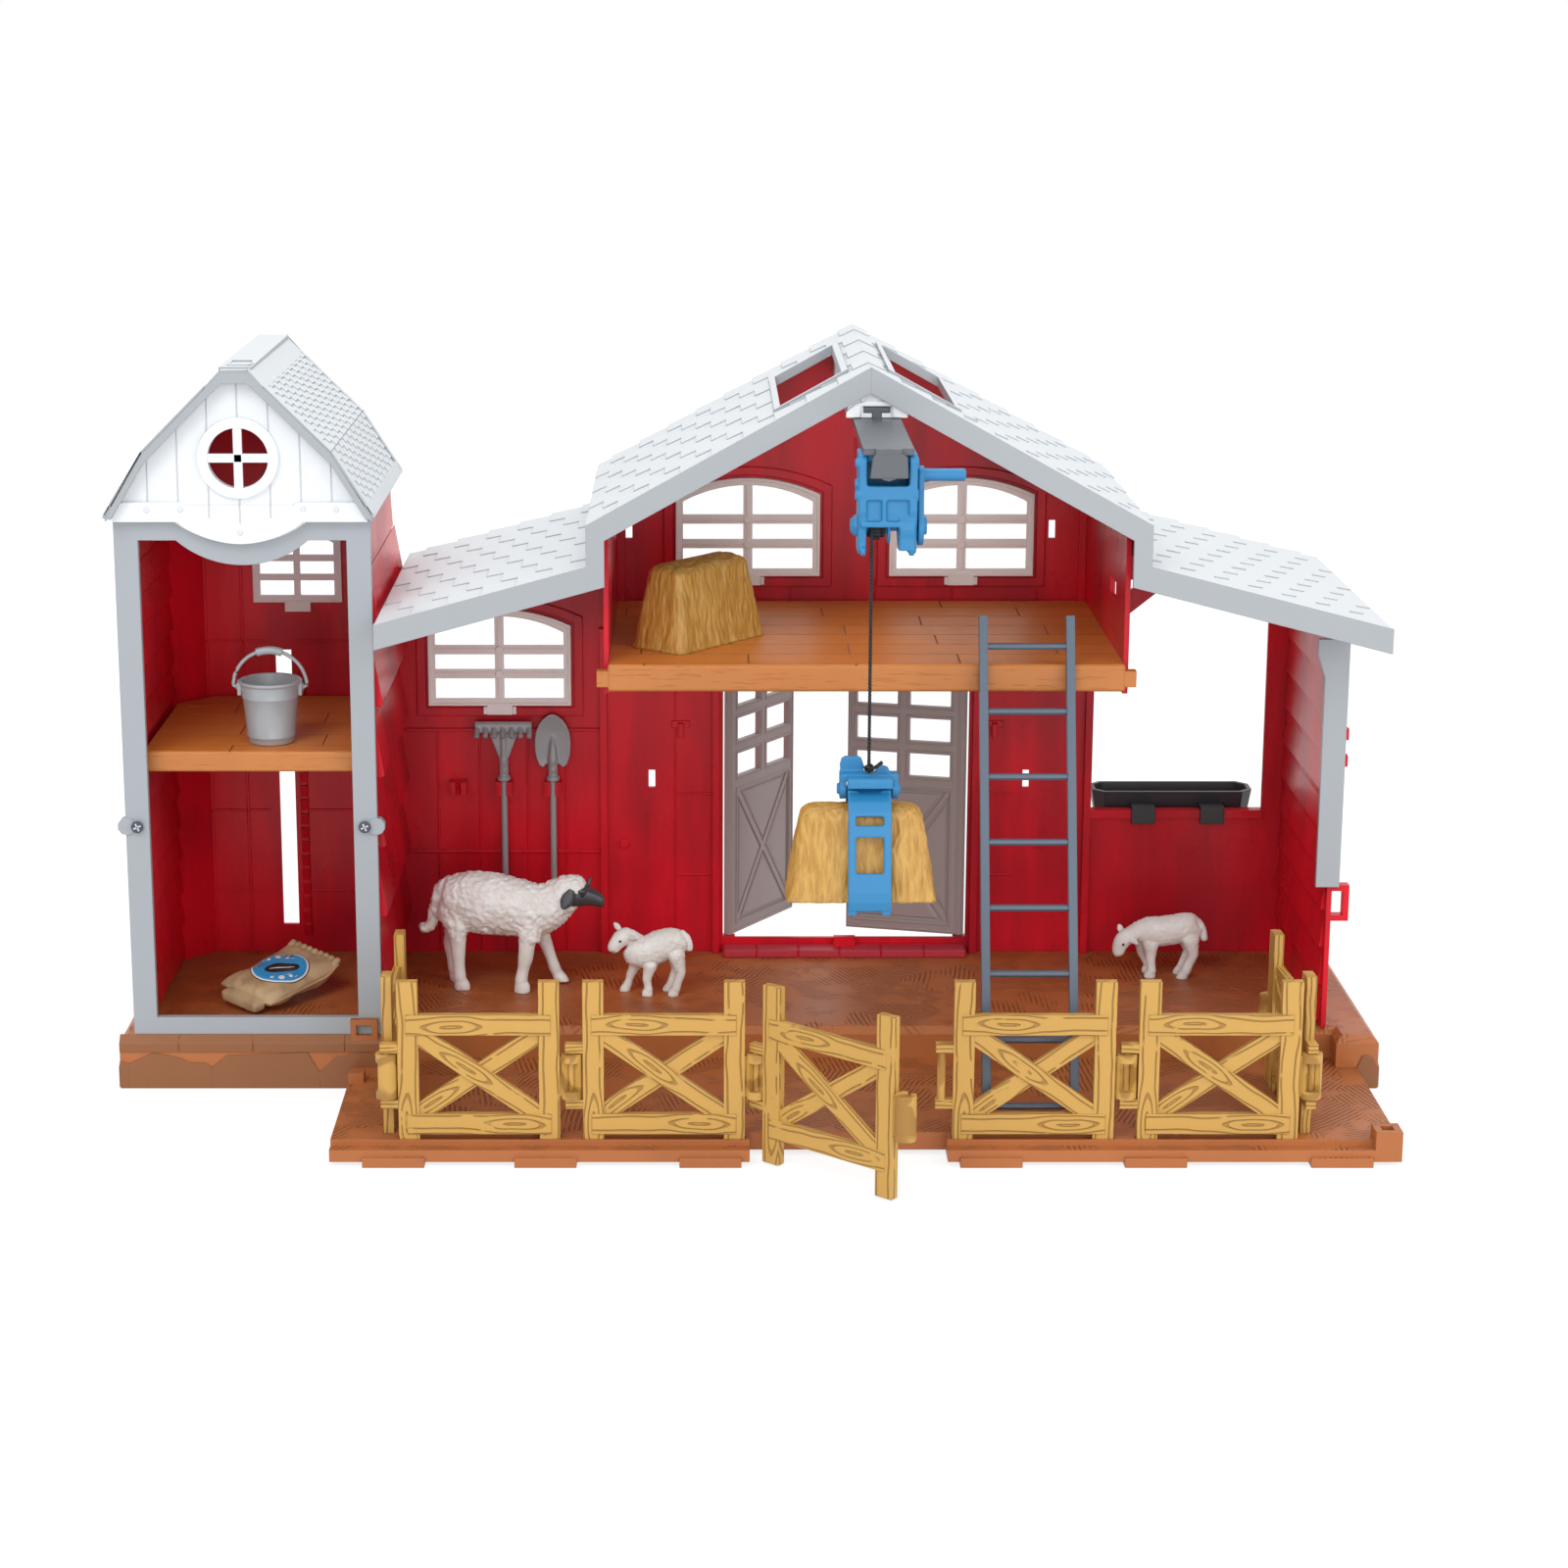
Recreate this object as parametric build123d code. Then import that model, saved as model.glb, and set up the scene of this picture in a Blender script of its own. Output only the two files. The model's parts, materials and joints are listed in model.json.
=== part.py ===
from build123d import *
from math import cos, hypot, pi, radians, sin, tan
import os

os.makedirs("parts", exist_ok=True)

# ---- driving dimensions, millimetres; X right, Y back, Z up, origin under the middle ----
# ground tray
BASE_HALF = 325.0        # half length along X
BASE_H = 28.0            # floor level of barn and silo
BASE_FRONT = -28.5       # front face at the two ends
BASE_MID_FRONT = -14.0   # front face between them
BASE_BACK = 130.0
BASE_BEVEL = 5.0
BASE_END = 22.0          # length of the forward step at the right end
SKIN = 2.6               # wall of every moulded shell
RIB = 2.0

# yard deck
YARD_X0 = -204.6
YARD_X1 = 314.0
YARD_Y0 = -138.5
YARD_TOP = 11.5
YARD_FOOT = 2.5          # height of the pads under the deck
RIM_DROP = 3.0           # rim in front of the fence groove lies lower
GROOVE_D = 3.5           # depth of the fence groove
CLEAR = 0.3              # running clearance between moving bodies
PIN_CLEAR = 0.06         # radial clearance of hinge pins

# fence
FENCE_Y = -128.5
FENCE_X0 = -171.3        # left edge of the first panel
PANEL_W = 78.2
PANEL_GAP = 11.2         # the hinge sits in the middle of it
POST_W = 10.1
POST_T = 5.0
POST_Z0 = 1.0
POST_Z1 = 91.0
RAIL_H = 11.0
RAIL_T = 4.0
RAIL_PROUD = 0.6         # rails stand in front of the posts
RAIL_Z = (13.7, 64.0)    # undersides of the two rails
FENCE_PIN_R = 2.0
BARREL_R = 5.2
BRACE_W = 9.0
BARREL_Z = (32.0, 54.5)
ARM_H = 4.5
GATE_OPEN = 40.0
SIDE_TOE = 3.0           # the right side panel leans in by this many degrees

# silo
SILO_X = -253.6
SILO_W = 128.0
SILO_FRONT = -24.5
FRAME_T = 4.0
FRAME_BAR = 12.0
FRAME_FOOT = 9.3
FRAME_TOP = 299.0
FRAME_OPEN_TOP = 287.0
DIP = 12.5               # drop of the curved middle of the lintel
DIP_HALF = 33.0
SHELL_INSET = 2.0        # shell stands this far inside the frame edge
SILO_CORNER = 18.0
BOSS_R = 4.6
BOSS_Z = 139.5
SCREW_HEAD_R = 2.7
SCREW_R = 1.2
GABLE_T = 3.0
GABLE_Z0 = 297.0
WIN_Z = 329.0            # round gable window
WIN_R = 15.0
WIN_RING = 5.0
SILO_RIDGE = (6.5, 372.0)
SILO_KNEE = (46.2, 332.4)
SILO_EAVE = (66.0, 300.0)
SILO_ROOF_Y0 = -34.5
ROOF_T = 3.2
FASCIA = 5.5
SLOT_X = -254.0
SLOT_W = 8.7
SLOT_Z = (44.0, 201.0)
RACK_PITCH = 8.0
SILO_WIN = (-267.0, -223.0, 230.0, 268.0)

# lift
LIFT_TOP = 176.0
LIFT_H = 10.0
LIFT_SIDE_GAP = 4.0
LIFT_FRONT = -15.0
TONGUE_H = 8.0

# barn walls and roof
BACK_Y = 120.0           # outer face of the back wall
RIDGE_X = 57.0
RIDGE_Z = 377.4
MAIN_HALF = 138.0
MAIN_EAVE_Z = 300.4
WING_Z = 280.0           # wings start here below the risers
WING_L = (104.4, 29.0)   # run and fall of the left wing
WING_R = (119.3, 31.0)
ROOF_Y0 = -62.5
ROOF_Y1 = 137.5
BARN_FASCIA = 12.0
FASCIA_T = 3.0
COURSE = 17.5
COURSE_STEP = 1.3
SKYLIGHT_X = (13.0, 43.0)   # distance from the ridge
SKYLIGHT_Y = (-30.0, 84.0)
RIGHT_X = 300.0          # outer face of the right wall
SIDING = 20.0
DOOR_X = (-12.6, 123.0)
DOOR_Z = (36.0, 208.0)
LOW_WALL = (191.0, 286.0, 111.0)
BARN_WINDOWS = ((-174.6, -96.2, 170.0), (-38.6, 39.8, 242.5), (77.5, 155.9, 242.5))
WINDOW_H = 54.0
WINDOW_RISE = 9.0
FRAME_W = 4.0
WINDOW_BAR = 5.0
BAR_HEIGHTS = (0.33, 0.58)   # cross bars, as shares of the window's height

# loft
LOFT_X = (RIDGE_X - MAIN_HALF + 10.5, RIDGE_X + MAIN_HALF - 10.4)
LOFT_Y0 = -51.0
LOFT_TOP = 229.0
LOFT_H = 13.0
CHEEK_Y0 = -45.0


def block(x0, x1, y0, y1, z0, z1):
    """Rectangular block between the given faces."""
    return Pos((x0 + x1) / 2, (y0 + y1) / 2, (z0 + z1) / 2) * Box(x1 - x0, y1 - y0, z1 - z0)


def slab_x(points, x0, x1):
    """Plate with a Y-Z outline between two X planes."""
    return extrude(Plane.YZ.offset(x0) * make_face(Polyline(*points, close=True)), x1 - x0)


def slab_y(points, y0, y1):
    """Plate with an X-Z outline between two Y planes."""
    return extrude(Plane.XZ.offset(-y1) * make_face(Polyline(*points, close=True)), y1 - y0)


def slab_z(points, z0, z1):
    """Plate with an X-Y outline between two levels."""
    return extrude(Plane.XY.offset(z0) * make_face(Polyline(*points, close=True)), z1 - z0)


def rod(start, end, radius):
    """Round bar between two points."""
    axis = Vector(*end) - Vector(*start)
    bar = Cylinder(radius, axis.length, align=(Align.CENTER, Align.CENTER, Align.MIN))
    return Plane(origin=start, z_dir=axis) * bar


def facet_bar(start, end, radius, sides=8):
    """Straight bar with a many-sided section, for small rounds that nothing turns in."""
    axis = Vector(*end) - Vector(*start)
    return Plane(origin=start, z_dir=axis) * extrude(RegularPolygon(radius, sides), axis.length)


def facet_hole(start, end, radius, sides=8):
    """Many-sided hole that a round of this radius passes through."""
    axis = Vector(*end) - Vector(*start)
    section = RegularPolygon(radius, sides, major_radius=False)
    return Plane(origin=start, z_dir=axis) * extrude(section, axis.length)


def ring_solid(rings):
    """Flat-faced solid through rings of equally many points, closed by the first and last ring."""
    faces = []
    for ring in (rings[0], rings[-1]):
        faces.append(make_face(Polyline(*ring, close=True)))
    count = len(rings[0])
    for low, high in zip(rings, rings[1:]):
        for k in range(count):
            m = (k + 1) % count
            faces.append(make_face(Polyline(low[k], low[m], high[m], close=True)))
            faces.append(make_face(Polyline(low[k], high[m], high[k], close=True)))
    return Solid(Shell(faces))


def ring(centre, across, along, tilt, sides):
    """Points of an oval in the plane whose normal leans up from +X by tilt degrees."""
    x, y, z = centre
    lean = radians(tilt)
    points = []
    for k in range(sides):
        turn = 2 * pi * (k + 0.5) / sides
        rise = along * sin(turn)
        points.append((x - rise * sin(lean), y + across * cos(turn), z + rise * cos(lean)))
    return points


def arch(x0, x1, z0, z1, rise, y0, y1):
    """Plate with a flat foot and a curved head."""
    mid = (x0 + x1) / 2
    outline = Polyline((x0, z1 - rise), (x0, z0), (x1, z0), (x1, z1 - rise))
    outline += ThreePointArc((x1, z1 - rise), (mid, z1), (x0, z1 - rise))
    return extrude(Plane.XZ.offset(-y1) * make_face(outline), y1 - y0)


def bar_xz(a, b, width, y0, y1):
    """Straight strip of the given width from a to b in the X-Z plane."""
    run = hypot(b[0] - a[0], b[1] - a[1])
    nx = -(b[1] - a[1]) / run * width / 2
    nz = (b[0] - a[0]) / run * width / 2
    corners = [(a[0] + nx, a[1] + nz), (b[0] + nx, b[1] + nz), (b[0] - nx, b[1] - nz),
               (a[0] - nx, a[1] - nz)]
    return slab_y(corners, y0, y1)


# ---- ground tray: an inverted tray, stiffened by ribs underneath ----
SILO_RIGHT = SILO_X + SILO_W / 2


def base_outline(inset):
    """Plan of the tray, drawn in by the given amount."""
    right_step = BASE_HALF - BASE_END
    return [
        (-BASE_HALF + inset, BASE_MID_FRONT + inset),
        (right_step + inset, BASE_MID_FRONT + inset),
        (right_step + inset, BASE_FRONT + inset),
        (BASE_HALF - inset, BASE_FRONT + inset),
        (BASE_HALF - inset, BASE_BACK - inset),
        (-BASE_HALF + inset, BASE_BACK - inset),
    ]


def make_base():
    """Tray under the barn, hollow below, with ribs that reach the ground."""
    bevel = BASE_BEVEL * 0.7
    body = slab_z(base_outline(0), 0, BASE_H)
    body = chamfer(body.faces().sort_by(Axis.Z)[-1].edges(), bevel)
    body -= slab_z(base_outline(SKIN), 0, BASE_H - SKIN - bevel)
    rib_top = BASE_H - SKIN
    ribs = []
    bays = 12
    for k in range(1, bays):
        x = -BASE_HALF + k * 2 * BASE_HALF / bays
        ribs.append(block(x - RIB / 2, x + RIB / 2, BASE_MID_FRONT + 1, BASE_BACK - 1, 0, rib_top))
    body += ribs
    seat_y = BASE_MID_FRONT + 2 * bevel
    return body + block(-BASE_HALF + bevel, SILO_RIGHT, BASE_MID_FRONT, seat_y, BASE_H - SKIN - bevel,
                        BASE_H)


def make_plinth():
    """Front plinth of the silo, with the loop for the yard's latch."""
    bevel = BASE_BEVEL * 0.7
    x0 = -BASE_HALF
    body = block(x0, SILO_RIGHT, BASE_FRONT, BASE_MID_FRONT, 0, BASE_H)
    body = chamfer(body.faces().sort_by(Axis.Z)[-1].edges().sort_by(Axis.Y)[:3], bevel)
    hollow_top = BASE_H - SKIN - bevel
    body -= block(x0 + SKIN, SILO_RIGHT - SKIN, BASE_FRONT + SKIN, BASE_MID_FRONT - SKIN, -1, hollow_top)
    hook_x = SILO_RIGHT - 9
    loop = block(hook_x - 7, hook_x + 7, BASE_FRONT + 0.5, SILO_FRONT - CLEAR, BASE_H - 5, BASE_H + 9)
    loop -= block(hook_x - 4, hook_x + 4, BASE_FRONT, BASE_FRONT + 12, BASE_H + 0.5, BASE_H + 6)
    return body + loop


# ---- fence panels: hinge pin on the left, barrel on the right ----
HALF_GAP = PANEL_GAP / 2
PITCH = PANEL_W + PANEL_GAP


def fence_panel(clip_open, round_pin=False):
    """Panel with its pin on the origin, running along +X; clip_open faces the barrel slot back or front."""
    x0 = HALF_GAP
    x1 = x0 + PANEL_W
    half = POST_T / 2
    mid = (BARREL_Z[0] + BARREL_Z[1]) / 2
    front = -half - RAIL_PROUD
    inset = POST_W * 0.42
    solids = []
    for x in (x0, x1 - POST_W):
        solids.append(block(x, x + POST_W, -half, half, POST_Z0, POST_Z1))
    for z in RAIL_Z:
        solids.append(block(x0 + inset, x1 - inset, front, front + RAIL_T, z, z + RAIL_H))
    low = RAIL_Z[0] + RAIL_H * 0.6
    high = RAIL_Z[1] + RAIL_H * 0.4
    left = x0 + POST_W * 0.7
    right = x1 - POST_W * 0.7
    solids.append(bar_xz((left, high), (right, low), BRACE_W, -half, front + RAIL_T))
    solids.append(bar_xz((left, low), (right, high), BRACE_W, -half + RAIL_PROUD, front + RAIL_T))
    for z in (BARREL_Z[0] - 0.6 - ARM_H, BARREL_Z[1] + 0.6):
        solids.append(block(-2.9, x0 + 2, -2.9, half, z, z + ARM_H))
    pin = rod if round_pin else facet_bar
    solids.append(pin((0, 0, BARREL_Z[0] - 1), (0, 0, BARREL_Z[1] + 1), FENCE_PIN_R))
    panel = solids[0] + solids[1:]
    bore = FENCE_PIN_R + PIN_CLEAR
    barrel = facet_bar((PITCH, 0, BARREL_Z[0]), (PITCH, 0, BARREL_Z[1]), BARREL_R)
    barrel += block(x1 - 2, PITCH - BARREL_R + 1.5, -half + 0.5, half - 0.5, *BARREL_Z)
    if clip_open:
        mouth = bore + CLEAR
        barrel -= facet_hole((PITCH, 0, BARREL_Z[0] - 1), (PITCH, 0, BARREL_Z[1] + 1), mouth)
        barrel -= block(PITCH - mouth, PITCH + mouth, 0, BARREL_R + 1, BARREL_Z[0] - 1, BARREL_Z[1] + 1)
    else:
        barrel -= facet_hole((PITCH, 0, BARREL_Z[0] - 1), (PITCH, 0, BARREL_Z[1] + 1), bore)
        barrel -= block(PITCH - bore, PITCH + bore, -BARREL_R - 1, 0, mid - 6, mid + 6)
    return panel + barrel


def panel_pin(i):
    """X of the hinge pin of the i-th panel of the front row."""
    return FENCE_X0 - HALF_GAP + i * PITCH


GATE = 2                 # index of the panel that opens
FRONT_PANELS = {0: "fence_panel_1", 1: "fence_panel_2", 3: "fence_panel_3", 4: "fence_panel_4"}
LEFT_CORNER = (panel_pin(0), FENCE_Y)
RIGHT_CORNER = (panel_pin(5), FENCE_Y)
LEFT_PLACE = Pos(LEFT_CORNER[0], FENCE_Y + PITCH, 0) * Rot(0, 0, -90)
RIGHT_PLACE = Pos(*RIGHT_CORNER, 0) * Rot(0, 0, 90 + SIDE_TOE)


def yard_slots():
    """Slots in the deck that the fence posts stand in, with a shallow groove between them."""
    cut = CLEAR
    half = POST_T / 2 + cut
    feet = []
    for x in (HALF_GAP, HALF_GAP + PANEL_W - POST_W):
        feet.append(block(x - cut, x + POST_W + cut, -half, half, -1, YARD_TOP + 1))
    groove = block(HALF_GAP, HALF_GAP + PANEL_W, -half, half, YARD_TOP - GROOVE_D, YARD_TOP + 1)
    tool = groove + feet
    places = [Pos(panel_pin(i), FENCE_Y, 0) for i in FRONT_PANELS]
    return [place * tool for place in places + [LEFT_PLACE, RIGHT_PLACE]]


def make_yard():
    """Yard deck with its rim, fence groove, post slots and pads."""
    notch = SILO_RIGHT
    plan = [
        (YARD_X0, YARD_Y0), (YARD_X1, YARD_Y0), (YARD_X1, BASE_FRONT),
        (BASE_HALF - BASE_END, BASE_FRONT), (BASE_HALF - BASE_END, BASE_MID_FRONT),
        (notch, BASE_MID_FRONT), (notch, BASE_FRONT), (YARD_X0, BASE_FRONT),
    ]
    deck = slab_z(plan, YARD_FOOT, YARD_TOP)
    rim_back = FENCE_Y - POST_T / 2 - 1
    deck -= block(YARD_X0 - 1, YARD_X1 + 1, YARD_Y0 - 1, rim_back, YARD_TOP - RIM_DROP, YARD_TOP + 1)
    gate_x0 = panel_pin(GATE) - 3.2
    gate_x1 = panel_pin(GATE + 1) + 3.2
    deck -= block(gate_x0, gate_x1, YARD_Y0 - 1, FENCE_Y + POST_T / 2 + 4, -1, YARD_TOP + 1)
    deck -= yard_slots()
    inner = FENCE_Y + 12
    bays = 8
    bay = (RIGHT_CORNER[0] - LEFT_CORNER[0] - 24) / bays
    hollows = []
    for k in range(bays):
        x = LEFT_CORNER[0] + 12 + k * bay
        hollows.append(block(x + RIB, x + bay - RIB, inner, BASE_MID_FRONT - 6, -1, YARD_TOP - SKIN))
    deck -= hollows
    pads = []
    for x in (YARD_X0 + 16, -115, gate_x0 - 34, gate_x1 + 6, 180, YARD_X1 - 44):
        pads.append(block(x, x + 30, YARD_Y0 - 1.5, rim_back - CLEAR, 0, YARD_FOOT + 2.5))
        pads.append(block(x, x + 30, BASE_MID_FRONT - 6, BASE_MID_FRONT, 0, YARD_FOOT + 1))
    deck += pads
    socket = block(YARD_X1 - 13, YARD_X1, YARD_Y0, YARD_Y0 + 13, YARD_FOOT, YARD_TOP + 6)
    socket -= block(YARD_X1 - 9.5, YARD_X1 - 3.5, YARD_Y0 + 3.5, YARD_Y0 + 9.5, YARD_FOOT + 4, YARD_TOP + 7)
    lug = block(YARD_X0, YARD_X0 + 8, BASE_FRONT - 24, BASE_FRONT - 16, YARD_TOP, YARD_TOP + 5)
    return deck + [socket, lug]


# ---- silo ----
SHELL_X0 = SILO_X - SILO_W / 2 + SHELL_INSET
SHELL_X1 = SILO_X + SILO_W / 2 - SHELL_INSET
SHELL_Y0 = SILO_FRONT + FRAME_T


def silo_profile(drop, side=1):
    """Half of the gambrel line, lowered by drop."""
    pts = [SILO_RIDGE, SILO_KNEE, (SILO_EAVE[0] - drop * 0.5, SILO_EAVE[1] + drop * 0.8)]
    return [(SILO_X + side * x, z - drop) for x, z in pts]


def gambrel(drop, foot):
    """Closed X-Z outline under the gambrel line, down to the level foot."""
    right = silo_profile(drop, 1)
    left = silo_profile(drop, -1)
    half = SHELL_X1 - SILO_X
    knee_x, knee_z = right[1]
    eave_x, eave_z = right[2]
    edge_z = knee_z + (eave_z - knee_z) * (half + SILO_X - knee_x) / (eave_x - knee_x)
    return [left[0], right[0], right[1], (SHELL_X1, edge_z), (SHELL_X1, foot), (SHELL_X0, foot),
            (SHELL_X0, edge_z), left[1]]


def dipped_top(half_width, z_side, dip, foot):
    """Outline with a straight foot and a head that sags in the middle."""
    x0 = SILO_X - half_width
    x1 = SILO_X + half_width
    head = Polyline((x0, z_side), (x0, foot), (x1, foot), (x1, z_side), (SILO_X + DIP_HALF, z_side))
    head += ThreePointArc((SILO_X + DIP_HALF, z_side), (SILO_X, z_side - dip), (SILO_X - DIP_HALF, z_side))
    head += Line((SILO_X - DIP_HALF, z_side), (x0, z_side))
    return make_face(head)


def slab_face_y(face, y0, y1):
    """Solid between two Y values from a face drawn in X and Z."""
    return extrude(Plane.XZ.offset(-y1) * face, y1 - y0)


def silo_plan(inset):
    """Plan of the silo: a rectangle with its two rear corners cut off."""
    corner = SILO_CORNER - inset * 0.6
    x0 = SHELL_X0 + inset
    x1 = SHELL_X1 - inset
    y1 = BACK_Y - inset
    return [(x0, SHELL_Y0), (x1, SHELL_Y0), (x1, y1 - corner), (x1 - corner, y1), (x0 + corner, y1),
            (x0, y1 - corner)]


SILO_WALL_TOP = 303.0    # the side walls end just under the eaves


def make_silo_shell():
    """Open-fronted red shell with the lift slot, the rack and the window opening."""
    wall = slab_z(silo_plan(0), BASE_H, SILO_WALL_TOP)
    wall -= slab_z([(x, y - (y < SHELL_Y0 + 1)) for x, y in silo_plan(SKIN)], BASE_H - 1, SILO_WALL_TOP + 1)
    wall += slab_y(gambrel(ROOF_T + 1.0, SILO_WALL_TOP - 5), BACK_Y - SKIN, BACK_Y)
    rows = int((SILO_WALL_TOP - BASE_H - 8) / SIDING)
    boards = []
    for k in range(rows):
        z = BASE_H + 5 + k * SIDING
        lap = [(0.2, z), (-1.0, z), (0.2, z + SIDING)]
        left = [(SHELL_X0 + x, zz) for x, zz in lap]
        right = [(SHELL_X1 - x, zz) for x, zz in lap]
        boards.append(slab_y(left, SHELL_Y0 + 4, BACK_Y - SILO_CORNER - 1))
        boards.append(slab_y(right, SHELL_Y0 + 4, BACK_Y - SILO_CORNER - 1))
    wall += boards
    x0, x1, z0, z1 = SILO_WIN
    wall -= arch(x0, x1, z0, z1, WINDOW_RISE * 0.6, BACK_Y - SKIN - 1, BACK_Y + 1)
    wall -= block(SLOT_X - SLOT_W / 2, SLOT_X + SLOT_W / 2, BACK_Y - SKIN - 1, BACK_Y + 1, *SLOT_Z)
    rack_y = BACK_Y - SKIN
    teeth = [(rack_y, SLOT_Z[0] - 6)]
    for k in range(int((SLOT_Z[1] - SLOT_Z[0]) / RACK_PITCH)):
        z = SLOT_Z[0] - 6 + k * RACK_PITCH
        teeth += [(rack_y - 1.2, z), (rack_y - 3.0, z + RACK_PITCH * 0.8),
                  (rack_y - 1.2, z + RACK_PITCH * 0.8)]
    teeth.append((rack_y, teeth[-1][1]))
    rack_x = SLOT_X + SLOT_W / 2 + 5
    wall += slab_x(teeth, rack_x - 2, rack_x + 2)
    for side in (SHELL_X0 + SKIN + 1.6, SHELL_X1 - SKIN - 1.6):
        bosses = facet_bar((side, SHELL_Y0, BOSS_Z), (side, SHELL_Y0 + 10, BOSS_Z), 3.0, 8)
        bosses -= facet_hole((side, SHELL_Y0 - 1, BOSS_Z), (side, SHELL_Y0 + 8, BOSS_Z), SCREW_R)
        wall += bosses
    return wall


def make_silo_frame():
    """Grey front frame with its two screw bosses."""
    half = SILO_W / 2
    frame = block(SILO_X - half, SILO_X + half, SILO_FRONT, SHELL_Y0, BASE_H, FRAME_TOP)
    for side in (-1, 1):
        x = SILO_X + side * (half - 0.5)
        frame += facet_bar((x, SILO_FRONT - 0.8, BOSS_Z), (x, SHELL_Y0, BOSS_Z), BOSS_R, 10)
    opening = dipped_top(half - FRAME_BAR, FRAME_OPEN_TOP, DIP, BASE_H + FRAME_FOOT)
    frame -= slab_face_y(opening, SILO_FRONT - 1, SHELL_Y0 + 1)
    for x in SCREW_X:
        frame -= facet_hole((x, SILO_FRONT - 2, BOSS_Z), (x, SHELL_Y0 + 1, BOSS_Z), SCREW_R)
    return frame


SCREW_X = (SHELL_X0 + SKIN + 1.6, SHELL_X1 - SKIN - 1.6)


def make_screws():
    """Two pan-head screws through the frame bosses."""
    screws = []
    y0 = SILO_FRONT - 0.8
    for x in SCREW_X:
        screw = facet_bar((x, y0 - 1.3, BOSS_Z), (x, y0, BOSS_Z), SCREW_HEAD_R, 12)
        screw += facet_bar((x, y0, BOSS_Z), (x, SHELL_Y0 + 7, BOSS_Z), SCREW_R - 0.05)
        screws.append(screw)
    return Compound(screws)


def make_silo_gable():
    """White gable with a dipped apron and a round window."""
    y1 = SILO_FRONT
    y0 = y1 - GABLE_T
    top = silo_profile(ROOF_T, 1)
    back = silo_profile(ROOF_T, -1)
    plate = slab_y([back[0], top[0], top[1], top[2], back[2], back[1]], y0, y1)
    plate &= block(SILO_X - 61, SILO_X + 61, y0, y1, GABLE_Z0 - DIP, SILO_RIDGE[1])
    half = 60.0
    apron = Polyline((SILO_X - half, GABLE_Z0), (SILO_X - half, GABLE_Z0 + 8.5),
                     (SILO_X + half, GABLE_Z0 + 8.5),
                     (SILO_X + half, GABLE_Z0), (SILO_X + DIP_HALF, GABLE_Z0))
    apron += ThreePointArc((SILO_X + DIP_HALF, GABLE_Z0), (SILO_X, GABLE_Z0 - 11),
                           (SILO_X - DIP_HALF, GABLE_Z0))
    apron += Line((SILO_X - DIP_HALF, GABLE_Z0), (SILO_X - half, GABLE_Z0))
    plate += slab_face_y(make_face(apron), y0 - 1.0, y1)
    ring = rod((SILO_X, y0 - 1.4, WIN_Z), (SILO_X, y1, WIN_Z), WIN_R + WIN_RING)
    plate += ring
    plate -= rod((SILO_X, y0 - 3, WIN_Z), (SILO_X, y1 + 1, WIN_Z), WIN_R)
    plate += block(SILO_X - WIN_R, SILO_X + WIN_R, y0, y1, WIN_Z - 1.4, WIN_Z + 1.4)
    plate += block(SILO_X - 1.4, SILO_X + 1.4, y0, y1, WIN_Z - WIN_R, WIN_Z + WIN_R)
    return plate


def make_silo_roof():
    """Gambrel roof with a deep front lip."""
    y1 = BACK_Y - 2
    upper = silo_profile(0, 1)
    upper_l = silo_profile(0, -1)
    lower = silo_profile(ROOF_T, 1)
    lower_l = silo_profile(ROOF_T, -1)
    eave_r = (upper[2][0], upper[2][1] - 2.0)
    eave_l = (upper_l[2][0], upper_l[2][1] - 2.0)
    outline = [upper_l[0]] + upper + [eave_r, lower[2], lower[1], lower[0], lower_l[0], lower_l[1],
                                      lower_l[2], eave_l, upper_l[2], upper_l[1]]
    roof = slab_y(outline, SILO_ROOF_Y0, y1)
    deep = silo_profile(FASCIA, 1)
    deep_l = silo_profile(FASCIA, -1)
    lip = [upper_l[0]] + upper + [deep[2], deep[1], deep[0], deep_l[0], deep_l[1], deep_l[2], upper_l[2],
                                  upper_l[1]]
    roof += slab_y(lip, SILO_ROOF_Y0, SILO_ROOF_Y0 + FASCIA_T)
    ridge_z = SILO_RIDGE[1]
    roof += block(SILO_X - 8, SILO_X + 8, SILO_ROOF_Y0 + 6, y1 - 4, ridge_z - 0.6, ridge_z + 2.0)
    roof -= block(SILO_X - 5, SILO_X + 5, -8, 0, ridge_z - 6, ridge_z + 4)
    mid_x = (upper[0][0] + upper[1][0]) / 2
    mid_z = (upper[0][1] + upper[1][1]) / 2
    roof -= block(mid_x - 1.6, mid_x + 1.6, 62, 84, mid_z - 8, mid_z + 8)
    return roof


def grille(x0, x1, z0, rise, y0, y1, bar, frame_w, height):
    """Arched window frame with one upright, two cross bars and a snap tab below."""
    z1 = z0 + height
    win = arch(x0, x1, z0, z1, rise, y0, y1)
    win -= arch(x0 + frame_w, x1 - frame_w, z0 + frame_w, z1 - frame_w, rise, y0 - 1, y1 + 1)
    mid = (x0 + x1) / 2
    bars = [block(mid - bar / 2, mid + bar / 2, y0, y1, z0 + 1, z1 - frame_w / 2)]
    for share in BAR_HEIGHTS:
        z = z0 + height * share
        bars.append(block(x0 + 1, x1 - 1, y0, y1, z - bar / 2, z + bar / 2))
    win += bars
    win += block(mid - 7, mid + 7, y0 - 0.8, y0 + 0.4, z0 - 5, z0 + 1)
    return win


WINDOW_LIP = 2.2         # window frames overlap the wall openings by this much


def make_barn_window(i):
    """Window of the barn wall, placed in its opening."""
    x0, x1, z0 = BARN_WINDOWS[i]
    wall_in = BACK_Y - SKIN
    return grille(x0, x1, z0, WINDOW_RISE, wall_in - 2.2, wall_in, WINDOW_BAR, FRAME_W, WINDOW_H)


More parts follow.
